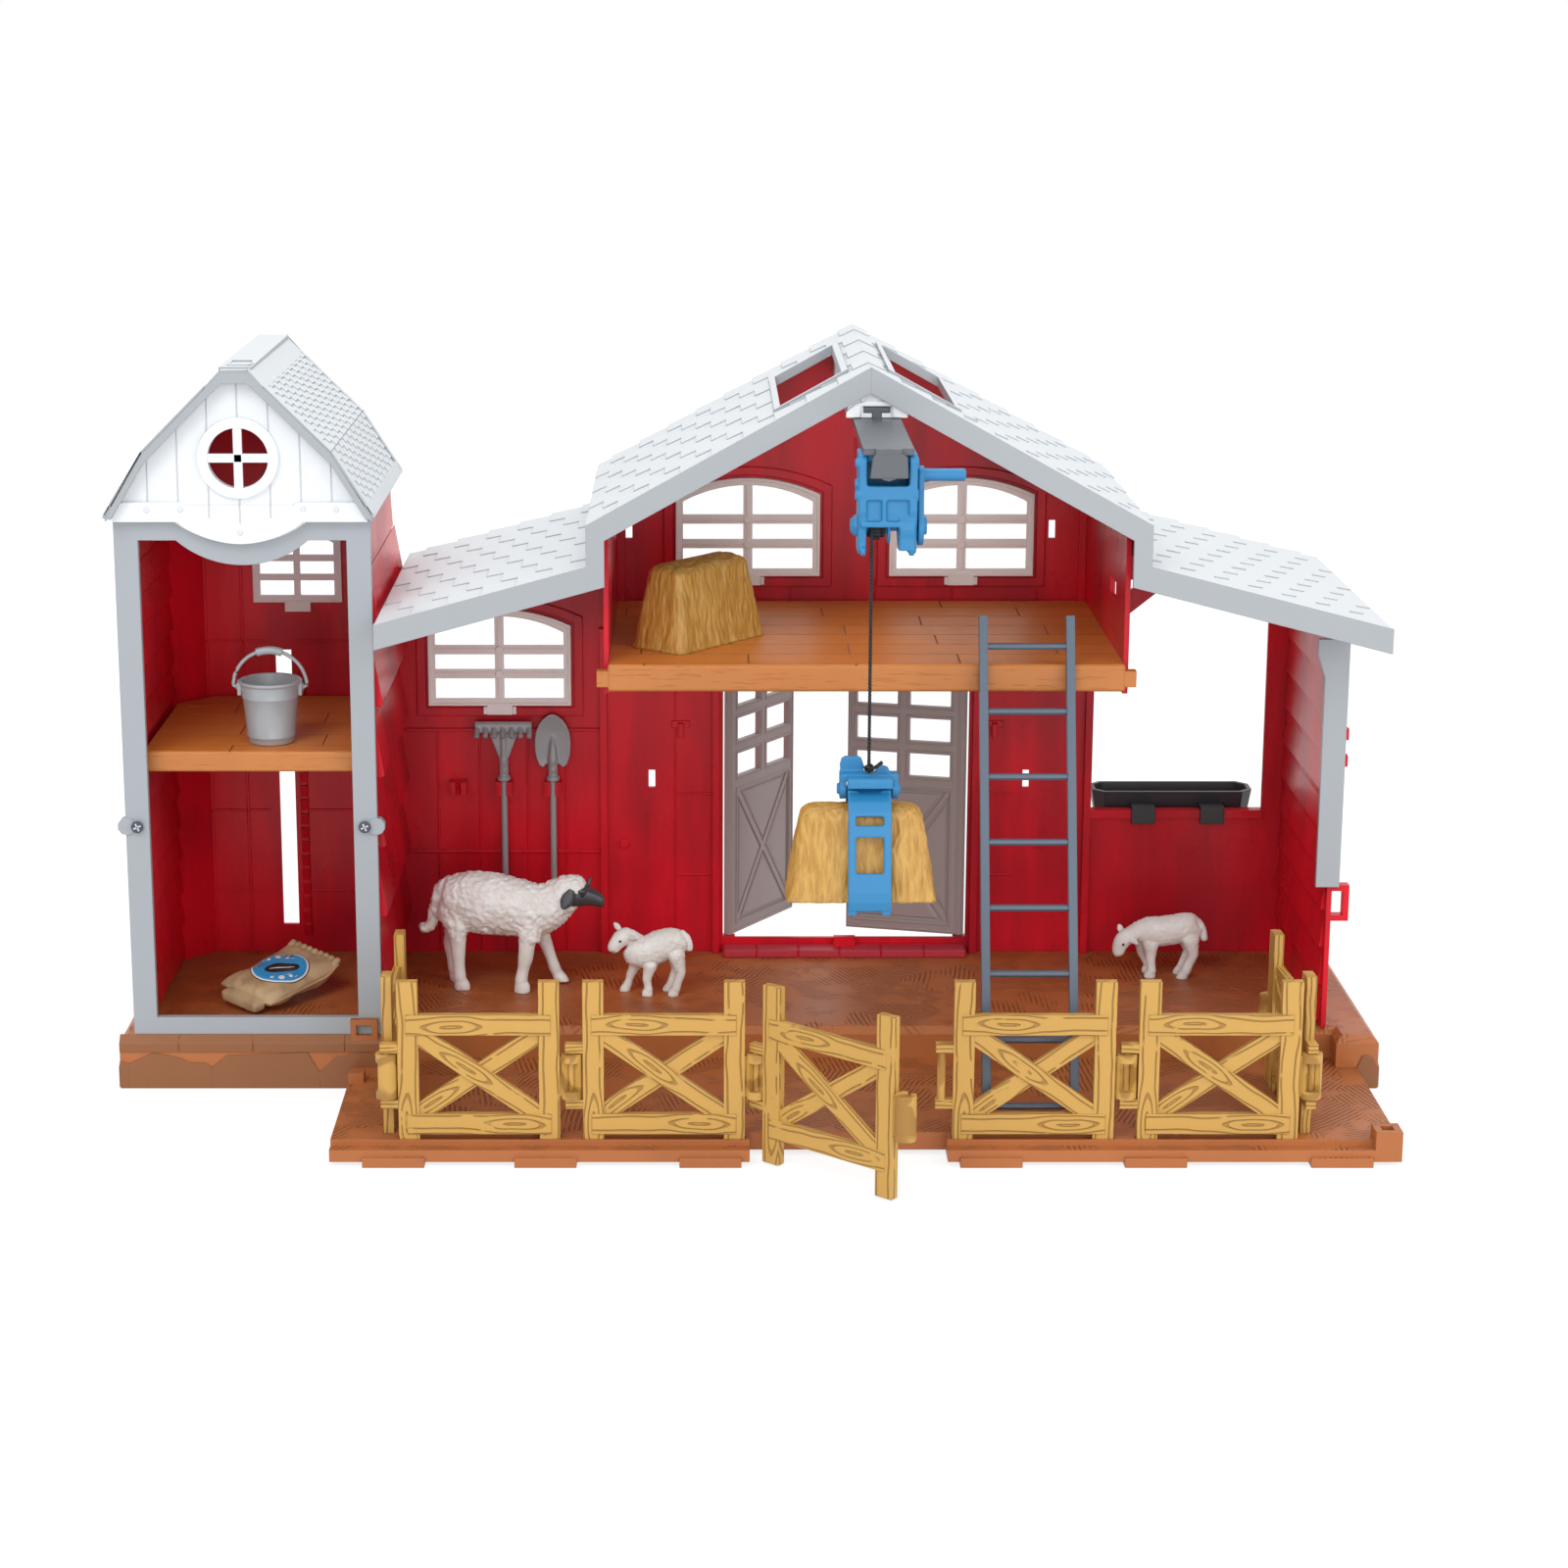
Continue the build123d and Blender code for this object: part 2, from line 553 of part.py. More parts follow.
def make_silo_window():
    """Window of the silo's rear wall, placed in its opening."""
    x0, x1, z0, z1 = SILO_WIN
    wall_in = BACK_Y - SKIN
    lip = WINDOW_LIP
    rise = WINDOW_RISE * 0.6
    height = z1 - z0 + 2 * lip
    return grille(x0 - lip, x1 + lip, z0 - lip, rise, wall_in - 2, wall_in, WINDOW_BAR * 0.7, FRAME_W,
                  height)


# ---- lift platform with its tongue through the back wall ----
def make_lift():
    """Lift platform with the tongue that runs in the shell's slot."""
    gap = LIFT_SIDE_GAP
    x0 = SHELL_X0 + SKIN + gap
    x1 = SHELL_X1 - SKIN - gap
    y1 = BACK_Y - SKIN - 4.2
    corner = SILO_CORNER
    plan = [(x0, LIFT_FRONT), (x1, LIFT_FRONT), (x1, y1 - corner), (x1 - corner, y1), (x0 + corner, y1),
            (x0, y1 - corner)]
    z0 = LIFT_TOP - LIFT_H
    deck = slab_z(plan, z0, LIFT_TOP)
    s = SKIN
    inner = [(x0 + s, LIFT_FRONT + s), (x1 - s, LIFT_FRONT + s), (x1 - s, y1 - corner - 1),
             (x1 - corner - 1, y1 - s),
             (x0 + corner + 1, y1 - s), (x0 + s, y1 - corner - 1)]
    deck -= slab_z(inner, z0 - 1, LIFT_TOP - SKIN)
    ribs = []
    for k in range(1, 4):
        y = LIFT_FRONT + k * (y1 - LIFT_FRONT) / 4
        ribs.append(block(x0 + 1, x1 - 1, y - RIB / 2, y + RIB / 2, z0 + 2, LIFT_TOP - 1))
    deck += ribs
    slots = []
    for x, y in ((x0 + 12, 70), (x0 + 12, 88), (x1 - 12, 70), (x1 - 12, 88)):
        slots.append(block(x - 5, x + 5, y - 1, y + 1, LIFT_TOP - SKIN - 1, LIFT_TOP + 1))
    deck -= slots
    half = SLOT_W / 2 - CLEAR
    tongue_z = LIFT_TOP - LIFT_H / 2
    deck += block(SLOT_X - half, SLOT_X + half, y1 - 3, BACK_Y + 2, tongue_z - TONGUE_H / 2,
                  tongue_z + TONGUE_H / 2)
    return deck


def make_lift_knob():
    """Knob that moves the platform from behind."""
    z = LIFT_TOP - LIFT_H / 2
    y0 = BACK_Y + 2
    knob = block(SLOT_X - 9, SLOT_X + 9, y0, y0 + 4, z - 7, z + 7)
    grip = block(SLOT_X - 3, SLOT_X + 3, y0 + 4, y0 + 12, z - 7, z + 7)
    return chamfer((knob + grip).edges().filter_by(Axis.Z).group_by(Axis.Y)[-1], 1.4)


# ---- barn walls ----
def half_line(side, drop, inset=0.0):
    """Roof line of one half from the ridge outwards; drop lowers it, inset draws the riser in."""
    run, fall = WING_R if side > 0 else WING_L
    slope = (RIDGE_Z - MAIN_EAVE_Z) / MAIN_HALF
    riser = MAIN_HALF - inset
    pts = [(0, RIDGE_Z), (riser, RIDGE_Z - slope * riser), (riser, WING_Z + inset * fall / run)]
    pts.append((MAIN_HALF + run, WING_Z - fall))
    return [(RIDGE_X + side * x, z - drop) for x, z in pts]


UNDER = ROOF_T * 1.1     # vertical depth of the roof sheet
BACK_X0 = SHELL_X1 - SILO_CORNER


def wall_line(side, x_end):
    """Underside of the roof from the ridge to the wall end x_end."""
    pts = half_line(side, UNDER, ROOF_T)
    (xa, za), (xb, zb) = pts[2], pts[3]
    z_end = za + (zb - za) * (x_end - xa) / (xb - xa)
    return pts[:3] + [(x_end, z_end)]


def make_back_wall():
    """Red rear wall with its doorway, windows, low wall and hinge sockets."""
    y0 = BACK_Y - SKIN
    right = wall_line(1, RIGHT_X - SKIN)
    left = wall_line(-1, SHELL_X1)
    outline = left[::-1] + right[1:] + [(RIGHT_X - SKIN, BASE_H), (BACK_X0, BASE_H), (BACK_X0, 200),
                                        (SHELL_X1, 200)]
    wall = slab_y(outline, y0, BACK_Y)
    ribs = []
    for x in (DOOR_X[0] - 66, DOOR_X[0] - 4, DOOR_X[1] + 4, DOOR_X[1] + 66):
        ribs.append(block(x - 2, x + 2, y0 - 4, y0, BASE_H, LOFT_TOP - LOFT_H - SKIN))
    for x in (LOFT_X[0] + 2, LOFT_X[1] - 2):
        ribs.append(block(x - 2, x + 2, y0 - 3, y0, LOFT_TOP, 296))
    ribs.append(block(DOOR_X[0], DOOR_X[1], y0 - 12, y0, BASE_H, DOOR_Z[0] - 4))
    low = LOW_WALL
    ribs.append(block(low[0], low[1], y0 - 4, y0, low[2] - 5, low[2]))
    wall += ribs
    for x0, x1, z0 in BARN_WINDOWS:
        lip = WINDOW_LIP
        z1 = z0 + WINDOW_H
        shoulder = z1 - lip - WINDOW_RISE
        hole = [(x0 + lip, z0 + lip), (x1 - lip, z0 + lip), (x1 - lip, shoulder), (x0 + lip, shoulder)]
        crown = [((x0 + 2 * x1) / 3, z1 - lip - 1), ((2 * x0 + x1) / 3, z1 - lip - 1)]
        wall -= slab_y(hole[:3] + crown + hole[3:], y0 - 1, BACK_Y + 1)
    wall -= block(DOOR_X[0], DOOR_X[1], y0 - 6, BACK_Y + 1, *DOOR_Z)
    x0, x1, z0 = low
    top = BRACE_TOP
    wall -= slab_y([(x0, z0), (x1, z0), (x1, top), (x0 + 42, top), (x0, top - 34)], y0 - 6, BACK_Y + 1)
    wall -= slab_y([(x0, top - 21), (x0 + 26, top), (x0, top)], y0 - 6, BACK_Y + 1)
    for x, z in ((-64, 268), (-52, 128), (166, 268), (155, 128)):
        wall -= block(x - 1.8, x + 1.8, y0 - 6, BACK_Y + 1, z - 5, z + 5)
    mid = (DOOR_X[0] + DOOR_X[1]) / 2
    wall += block(mid - 6, mid + 6, y0 - 5, y0 - 1.5, DOOR_Z[0] - 5, DOOR_Z[0] + 2)
    wall += hinge_lugs()
    return wall - slab_z(silo_plan(0), 0, SILO_WALL_TOP)


BRACE_TOP = 240.0

# ---- double door ----
LEAF_T = 3.5
LEAF_GAP = 0.5
DOOR_BAR = 7.0
CROSS_W = 2.8
HINGE_R = 2.6
DOOR_PIN_R = 1.5
DOOR_PIN_L = 5.0
LUG_R = 3.6
HINGE_INSET = 3.2        # hinge axis inside the opening edge
HINGE_Y = BACK_Y + 1.5
LEAF_Z = (DOOR_Z[0] + 1.0, DOOR_Z[1] - 1.0)
OPEN_ANGLE = {"door_left": 56.0, "door_right": 14.0}
HINGE_X = {"door_left": DOOR_X[0] + HINGE_INSET, "door_right": DOOR_X[1] - HINGE_INSET}


def hinge_lugs():
    """Lugs above and below each leaf that carry its pins."""
    lugs = []
    for x in HINGE_X.values():
        for z0, z1 in ((LEAF_Z[1] + CLEAR, LEAF_Z[1] + 6), (LEAF_Z[0] - 6, LEAF_Z[0] - CLEAR)):
            lug = facet_bar((x, HINGE_Y, z0), (x, HINGE_Y, z1), LUG_R)
            lug += block(x - LUG_R, x + LUG_R, BACK_Y - SKIN, HINGE_Y, z0, z1)
            lugs.append(lug - facet_hole((x, HINGE_Y, z0 - 1), (x, HINGE_Y, z1 + 1),
                                         DOOR_PIN_R + PIN_CLEAR))
    return lugs


def make_door(name):
    """Leaf with a glazed upper half and a crossed panel below, turned to its rest angle."""
    side = 1 if name == "door_left" else -1
    width = (DOOR_X[1] - DOOR_X[0]) / 2 - HINGE_INSET - LEAF_GAP
    z0, z1 = LEAF_Z
    half = LEAF_T / 2
    mid = z0 + (z1 - z0) * 0.5
    leaf = block(0, width, -half, half, z0, z1)
    leaf += facet_bar((0, 0, z0), (0, 0, z1), HINGE_R)
    stile = 6.5
    x0 = stile
    x1 = width - stile + 1.5
    panes = []
    columns, rows = 2, 4
    pane_w = (x1 - x0 + DOOR_BAR) / columns
    top = z1 - stile
    low = mid + 5
    pane_h = (top - low + DOOR_BAR) / rows
    for i in range(columns):
        for j in range(rows):
            px = x0 + i * pane_w
            pz = low + j * pane_h
            panes.append(block(px, px + pane_w - DOOR_BAR, -half - 1, half + 1, pz, pz + pane_h - DOOR_BAR))
    leaf -= panes
    panel_top = mid - 3
    panel_low = z0 + stile
    leaf -= block(x0, x1, -half - 1, -half + 1.1, panel_low, panel_top)
    leaf -= block(x0, x1, half - 1.1, half + 1, panel_low, panel_top)
    cross = bar_xz((x0, panel_low), (x1, panel_top), CROSS_W, -half + 0.3, half - 0.3)
    cross += bar_xz((x0, panel_top), (x1, panel_low), CROSS_W, -half + 0.3, half - 0.3)
    leaf += cross & block(x0 - 1, x1 + 1, -half, half, panel_low - 1, panel_top + 1)
    leaf += rod((0, 0, z1), (0, 0, z1 + DOOR_PIN_L), DOOR_PIN_R)
    leaf += rod((0, 0, z0 - DOOR_PIN_L), (0, 0, z0), DOOR_PIN_R)
    if side < 0:
        leaf = mirror(leaf, Plane.YZ)
    return Pos(HINGE_X[name], HINGE_Y, 0) * Rot(0, 0, side * OPEN_ANGLE[name]) * leaf


# ---- right wall: corrugated, with a grey post clipped on its front edge ----
WALL_FRONT = BASE_MID_FRONT
POST_RANGE = (105.0, 235.0)


def make_right_wall():
    """Right end wall that stands on the tray."""
    x0 = RIGHT_X - SKIN
    slope = WING_R[1] / WING_R[0]
    top = WING_Z - UNDER - slope * (RIGHT_X - RIDGE_X - MAIN_HALF)
    wall = slab_x([(WALL_FRONT, BASE_H), (BACK_Y, BASE_H), (BACK_Y, top), (WALL_FRONT, top)], x0, RIGHT_X)
    boards = []
    for k in range(int((top - BASE_H - 4) / SIDING)):
        z = BASE_H + 2 + k * SIDING
        lap = [(x0, z), (x0 - 1.6, z), (x0, z + SIDING * 0.75)]
        boards.append(slab_y(lap, WALL_FRONT + 6, BACK_Y - SKIN))
        lap = [(RIGHT_X, z), (RIGHT_X + 1.2, z), (RIGHT_X, z + SIDING * 0.75)]
        boards.append(slab_y(lap, WALL_FRONT + 12, BACK_Y - 4))
    wall += boards
    for z in (168.0, 182.0):
        wall += block(RIGHT_X, RIGHT_X + 5, WALL_FRONT, WALL_FRONT + 4, z, z + 2.4)
        wall += block(RIGHT_X + 3, RIGHT_X + 5, WALL_FRONT, WALL_FRONT + 4, z, z + 6)
    loop = block(RIGHT_X, RIGHT_X + 9, WALL_FRONT, WALL_FRONT + 6, 86, 105)
    loop -= block(RIGHT_X - 0.0, RIGHT_X + 6, WALL_FRONT - 1, WALL_FRONT + 7, 89, 102)
    wall += loop
    return wall


def make_right_post():
    """Grey trim that grips the front edge of the right wall."""
    z0, z1 = POST_RANGE
    y0 = WALL_FRONT - 3
    outline = [(RIGHT_X - 9, z0), (RIGHT_X + 3, z0), (RIGHT_X + 3, z1), (RIGHT_X - 13, z1),
               (RIGHT_X - 13, z1 - 8), (RIGHT_X - 9, z1 - 20)]
    post = slab_y(outline, y0, WALL_FRONT)
    post += block(RIGHT_X, RIGHT_X + 3, WALL_FRONT, WALL_FRONT + 8, z0 + 80, z1)
    post += block(RIGHT_X, RIGHT_X + 3, WALL_FRONT, WALL_FRONT + 8, z0 + 4, z0 + 60)
    post += block(RIGHT_X - SKIN - 1.6 - 2, RIGHT_X - SKIN - 1.6, WALL_FRONT, WALL_FRONT + 5, z0, z1 - 4)
    return post


# ---- roof halves with stepped courses of shingles ----
def stepped(a, b):
    """Points down the slope from a to b, rising by the step towards each butt edge."""
    run = hypot(b[0] - a[0], b[1] - a[1])
    n = max(2, round(run / COURSE))
    pts = []
    for k in range(n):
        for t, lift in ((k / n, 0.0), ((k + 1) / n, COURSE_STEP)):
            pts.append((a[0] + (b[0] - a[0]) * t, a[1] + (b[1] - a[1]) * t + lift))
    return pts


def make_roof_half(side):
    """One half of the shingled roof with its skylight."""
    top = half_line(side, COURSE_STEP)
    low = half_line(side, UNDER, ROOF_T)
    edge_z = top[3][1] - 2.4
    line = stepped(top[0], top[1]) + stepped(top[2], top[3])
    outline = line + [(top[3][0], edge_z), low[3], low[2], low[1], low[0]]
    roof = slab_y(outline, ROOF_Y0, ROOF_Y1)
    crown = half_line(side, -COURSE_STEP * 0.5)
    deep = half_line(side, BARN_FASCIA, BARN_FASCIA * 0.75)
    rim = crown + deep[::-1]
    roof += slab_y(rim, ROOF_Y0, ROOF_Y0 + FASCIA_T)
    lip = half_line(side, UNDER + 3.0, ROOF_T + 2)
    roof += slab_y(top + lip[::-1], ROOF_Y1 - FASCIA_T, ROOF_Y1)
    xa = RIDGE_X + side * SKYLIGHT_X[0]
    xb = RIDGE_X + side * SKYLIGHT_X[1]
    x0, x1 = min(xa, xb), max(xa, xb)
    y0, y1 = SKYLIGHT_Y
    slope = (RIDGE_Z - MAIN_EAVE_Z) / MAIN_HALF
    za = RIDGE_Z + 1.8 - slope * (SKYLIGHT_X[0] - 3)
    zb = RIDGE_Z + 1.8 - slope * (SKYLIGHT_X[1] + 3)
    sa = xa - side * 3
    sb = xb + side * 3
    curb = slab_y([(sa, za), (sb, zb), (sb, zb - 5), (sa, za - 5)], y0 - 3, y1 + 3)
    roof += curb
    roof -= block(x0, x1, y0, y1, MAIN_EAVE_Z, RIDGE_Z + 4)
    return roof


# ---- loft: a boarded deck between two cheek walls ----
def make_loft():
    """Loft deck with its front lip."""
    x0, x1 = LOFT_X
    z0 = LOFT_TOP - LOFT_H
    y1 = BACK_Y - SKIN - 3.2
    deck = block(x0, x1, LOFT_Y0, y1, z0, LOFT_TOP)
    deck -= block(x0 + SKIN, x1 - SKIN, LOFT_Y0 + SKIN, y1 - SKIN, z0 - 1, LOFT_TOP - SKIN)
    ribs = []
    for k in range(1, 6):
        x = x0 + k * (x1 - x0) / 6
        ribs.append(block(x - RIB / 2, x + RIB / 2, LOFT_Y0 + 1, y1 - 1, z0 + 3, LOFT_TOP - 1))
    for x in (x0 - 6, x1 - 1):
        ribs.append(block(x, x + 7, LOFT_Y0, CHEEK_Y0 - 0.2, z0 + 2, LOFT_TOP - 3))
    deck += ribs
    for x in (x0 + 40, x1 - 40):
        deck -= block(x - 8, x + 8, y1 - 9, y1 - 6.5, LOFT_TOP - SKIN - 1, LOFT_TOP + 1)
    return deck


def make_cheek(side):
    """Wall between the loft deck and the roof."""
    x = LOFT_X[1] if side > 0 else LOFT_X[0]
    outer = x + side * SKIN
    slope = (RIDGE_Z - MAIN_EAVE_Z) / MAIN_HALF
    top = RIDGE_Z - UNDER - slope * abs(outer - RIDGE_X)
    z0 = LOFT_TOP - LOFT_H
    y1 = BACK_Y - SKIN - 3.2
    outline = [(CHEEK_Y0, z0 - SKIN), (y1, z0 - SKIN), (y1, top), (CHEEK_Y0, top)]
    cheek = slab_x(outline, min(x, outer), max(x, outer))
    cheek -= block(min(x, outer) - 1, max(x, outer) + 1, -10, 12, LOFT_TOP + 24, LOFT_TOP + 34)
    inner = x - side * 5
    cheek += block(min(x, inner), max(x, inner), 20, y1, z0 - SKIN, z0)
    return cheek


# ---- hoist: a beam that slides in a channel under the ridge carries the winch ----
BEAM_W = 23.0
BEAM_T = 3.0
BEAM_TOP = RIDGE_Z - 24.4
BEAM_Y0 = -159.5
BEAM_Y1 = 30.0
HOIST_X = 60.0
NECK_W = 4.2
NECK_H = 2.8
HEAD_W = 12.4
HEAD_H = 2.6
CHANNEL_W = 28.4
CHANNEL_Y1 = BACK_Y - SKIN
WINCH_W = 26.8
WINCH_WALL = 1.8
WINCH_Z0 = BEAM_TOP - 48.4
AXLE_Z = BEAM_TOP - 37.0
AXLE_R = 2.5
DRUM_R = 5.5
CORD_R = 0.85
CORD_X = 53.0
CORD_Y = -155.0
AXLE_Y = CORD_Y + DRUM_R + CORD_R + 0.1
CRANK_ARM = 23.5
HANDLE_R = 2.9
HANDLE_X1 = 96.0
RATCHET_TEETH = 12


def make_channel():
    """Ridge channel with a T-shaped slot, open at the front."""
    half = CHANNEL_W / 2
    slope = (RIDGE_Z - MAIN_EAVE_Z) / MAIN_HALF
    left = RIDGE_Z - UNDER - slope * abs(HOIST_X - half - RIDGE_X)
    right = RIDGE_Z - UNDER - slope * abs(HOIST_X + half - RIDGE_X)
    z0 = BEAM_TOP + CLEAR
    outline = [(HOIST_X - half, z0), (HOIST_X + half, z0), (HOIST_X + half, right),
               (RIDGE_X, RIDGE_Z - UNDER), (HOIST_X - half, left)]
    body = slab_y(outline, ROOF_Y0 + FASCIA_T, CHANNEL_Y1)
    body -= block(HOIST_X - half + SKIN, HOIST_X + half - SKIN, ROOF_Y0 + 12, CHANNEL_Y1 - 3, z0 + 11,
                  RIDGE_Z)
    neck = NECK_W / 2 + CLEAR
    head = HEAD_W / 2 + CLEAR
    head_z = BEAM_TOP + NECK_H
    body -= block(HOIST_X - neck, HOIST_X + neck, ROOF_Y0 - 1, CHANNEL_Y1 - 4, z0 - 1, head_z)
    body -= block(HOIST_X - head, HOIST_X + head, ROOF_Y0 - 1, CHANNEL_Y1 - 4, head_z - CLEAR,
                  head_z + HEAD_H + CLEAR)
    return body


def make_beam():
    """Sliding beam: a flat bar with a neck and head that run in the channel."""
    x0 = HOIST_X - BEAM_W / 2
    x1 = HOIST_X + BEAM_W / 2
    beam = block(x0, x1, BEAM_Y0, BEAM_Y1, BEAM_TOP - BEAM_T, BEAM_TOP)
    neck = block(HOIST_X - NECK_W / 2, HOIST_X + NECK_W / 2, ROOF_Y0 + 3, BEAM_Y1, BEAM_TOP - 0.5,
                 BEAM_TOP + NECK_H + 0.3)
    head = block(HOIST_X - HEAD_W / 2, HOIST_X + HEAD_W / 2, ROOF_Y0 + 3, BEAM_Y1, BEAM_TOP + NECK_H,
                 BEAM_TOP + NECK_H + HEAD_H)
    stop = block(HOIST_X - 6, HOIST_X + 6, BEAM_Y0 - 2.5, BEAM_Y0, BEAM_TOP - 8.5, BEAM_TOP)
    stop += facet_bar((HOIST_X, BEAM_Y0 - 2.5, BEAM_TOP - 8.5), (HOIST_X, BEAM_Y0, BEAM_TOP - 8.5), 6.0, 12)
    return beam + [neck, head, stop]


def make_winch_frame():
    """Winch frame that hangs from the beam's front end."""
    half = WINCH_W / 2
    y = AXLE_Y
    top = BEAM_TOP - 1
    cheek = [(y - 7, WINCH_Z0 + 4), (y - 3, WINCH_Z0), (y + 9, WINCH_Z0), (y + 12, WINCH_Z0 + 6),
             (y + 8, AXLE_Z + 12),
             (y + 11, AXLE_Z + 22), (y + 11, top), (y - 9, top), (y - 9, AXLE_Z + 22),
             (y - 11, AXLE_Z + 10)]
    frame = slab_x(cheek, HOIST_X - half, HOIST_X - half + WINCH_WALL)
    frame += slab_x(cheek, HOIST_X + half - WINCH_WALL, HOIST_X + half)
    under = BEAM_TOP - BEAM_T
    frame += block(HOIST_X - half + 1, HOIST_X + half - 1, y - 8, y + 10, under - 3, under)
    frame += block(HOIST_X - half + 1, HOIST_X + half - 1, y + 4, y + 7, AXLE_Z + 15, under)
    for yy, zz in ((y + 8.5, WINCH_Z0 + 4), (y - 7, AXLE_Z + 14)):
        frame += facet_bar((HOIST_X - half - 2, yy, zz), (HOIST_X + half + 0.2, yy, zz), 2.2, 8)
    for x0 in (HOIST_X - half - 1.6, HOIST_X + half - WINCH_WALL):
        frame += facet_bar((x0, y, AXLE_Z), (x0 + WINCH_WALL + 1.6 * (x0 < HOIST_X), y, AXLE_Z), 6.2, 10)
    frame -= facet_hole((HOIST_X - half - 5, y, AXLE_Z), (HOIST_X + half + 5, y, AXLE_Z),
                        AXLE_R + PIN_CLEAR, 10)
    return frame


def make_winch_crank():
    """Drum, ratchet wheel, axle, arm and handle turn as one."""
    half = WINCH_W / 2
    y = AXLE_Y
    x_arm = HOIST_X + half + 0.7
    shaft = rod((HOIST_X - half - 3, y, AXLE_Z), (x_arm + 2.6, y, AXLE_Z), AXLE_R)
    for x in (CORD_X - 4.2, CORD_X + 7.2):
        shaft += facet_bar((x, y, AXLE_Z), (x + 1.2, y, AXLE_Z), 8.0, 10)
    inside = half - WINCH_WALL - CLEAR
    shaft += facet_bar((HOIST_X - inside, y, AXLE_Z), (HOIST_X + inside, y, AXLE_Z), DRUM_R - 1.7)
    teeth = []
    for k in range(RATCHET_TEETH):
        a = 2 * pi * k / RATCHET_TEETH
        b = 2 * pi * (k + 0.75) / RATCHET_TEETH
        teeth += [(y + 8.6 * cos(a), AXLE_Z + 8.6 * sin(a)), (y + 6.8 * cos(b), AXLE_Z + 6.8 * sin(b))]
    shaft += slab_x(teeth, HOIST_X + 5, HOIST_X + 8)
    arm = slab_x([(y - 4, AXLE_Z - 3), (y + 4, AXLE_Z - 3), (y + 3, AXLE_Z + CRANK_ARM),
                  (y - 3, AXLE_Z + CRANK_ARM)], x_arm, x_arm + 2.6)
    arm += facet_bar((x_arm, y, AXLE_Z + CRANK_ARM), (x_arm + 2.6, y, AXLE_Z + CRANK_ARM), 3.6)
    grip = facet_bar((x_arm + 2, y, AXLE_Z + CRANK_ARM), (HANDLE_X1, y, AXLE_Z + CRANK_ARM), HANDLE_R)
    return shaft + [arm, grip]


def make_wound_cord():
    """Turns of the hoist cord on the drum."""
    coil = facet_bar((CORD_X - 2.9, AXLE_Y, AXLE_Z), (CORD_X + 7.1, AXLE_Y, AXLE_Z), DRUM_R)
    return coil - facet_bar((CORD_X - 4, AXLE_Y, AXLE_Z), (CORD_X + 8, AXLE_Y, AXLE_Z), DRUM_R - 1.7)


GRAB_TOP = AXLE_Z - 110.0
GRAB_PIVOT = GRAB_TOP - 13.0
GRAB_PIN_R = 1.5
JAW_W = 20.0
JAW_T = 2.8
KNUCKLE_R = 3.4
YOKE_IN = 10.4
BALE = (70.0, 35.0, 43.0)
BALE_TAPER = 8.9         # lean of the sides, degrees
BALE_Z0 = GRAB_PIVOT - 50.0
BALE_X = 49.5


def make_hoist_cord():
    """Taut cord from the drum to the yoke."""
    return facet_bar((CORD_X, CORD_Y, GRAB_TOP), (CORD_X, CORD_Y, AXLE_Z), CORD_R)


def make_grab_yoke():
    """Block that hangs on the cord and carries the jaw pin."""
    body = block(CORD_X - 13, CORD_X + 13, CORD_Y - 4, CORD_Y + 4, GRAB_PIVOT + KNUCKLE_R + 1, GRAB_TOP - 5)
    for side in (-1, 1):
        a = CORD_X + side * YOKE_IN
        b = CORD_X + side * (YOKE_IN + 2.6)
        body += block(min(a, b), max(a, b), CORD_Y - 4, CORD_Y + 4, GRAB_PIVOT - 4, GRAB_TOP - 6)
    body += facet_bar((CORD_X, CORD_Y, GRAB_TOP - 6), (CORD_X, CORD_Y, GRAB_TOP), 3.2)
    pin = (CORD_X - YOKE_IN - 4, CORD_Y, GRAB_PIVOT), (CORD_X + YOKE_IN + 4, CORD_Y, GRAB_PIVOT)
    return body - rod(*pin, GRAB_PIN_R)


def make_grab_pin():
    """Pin on which both jaws turn."""
    return rod((CORD_X - YOKE_IN - 3.4, CORD_Y, GRAB_PIVOT), (CORD_X + YOKE_IN + 3.4, CORD_Y, GRAB_PIVOT),
               GRAB_PIN_R)


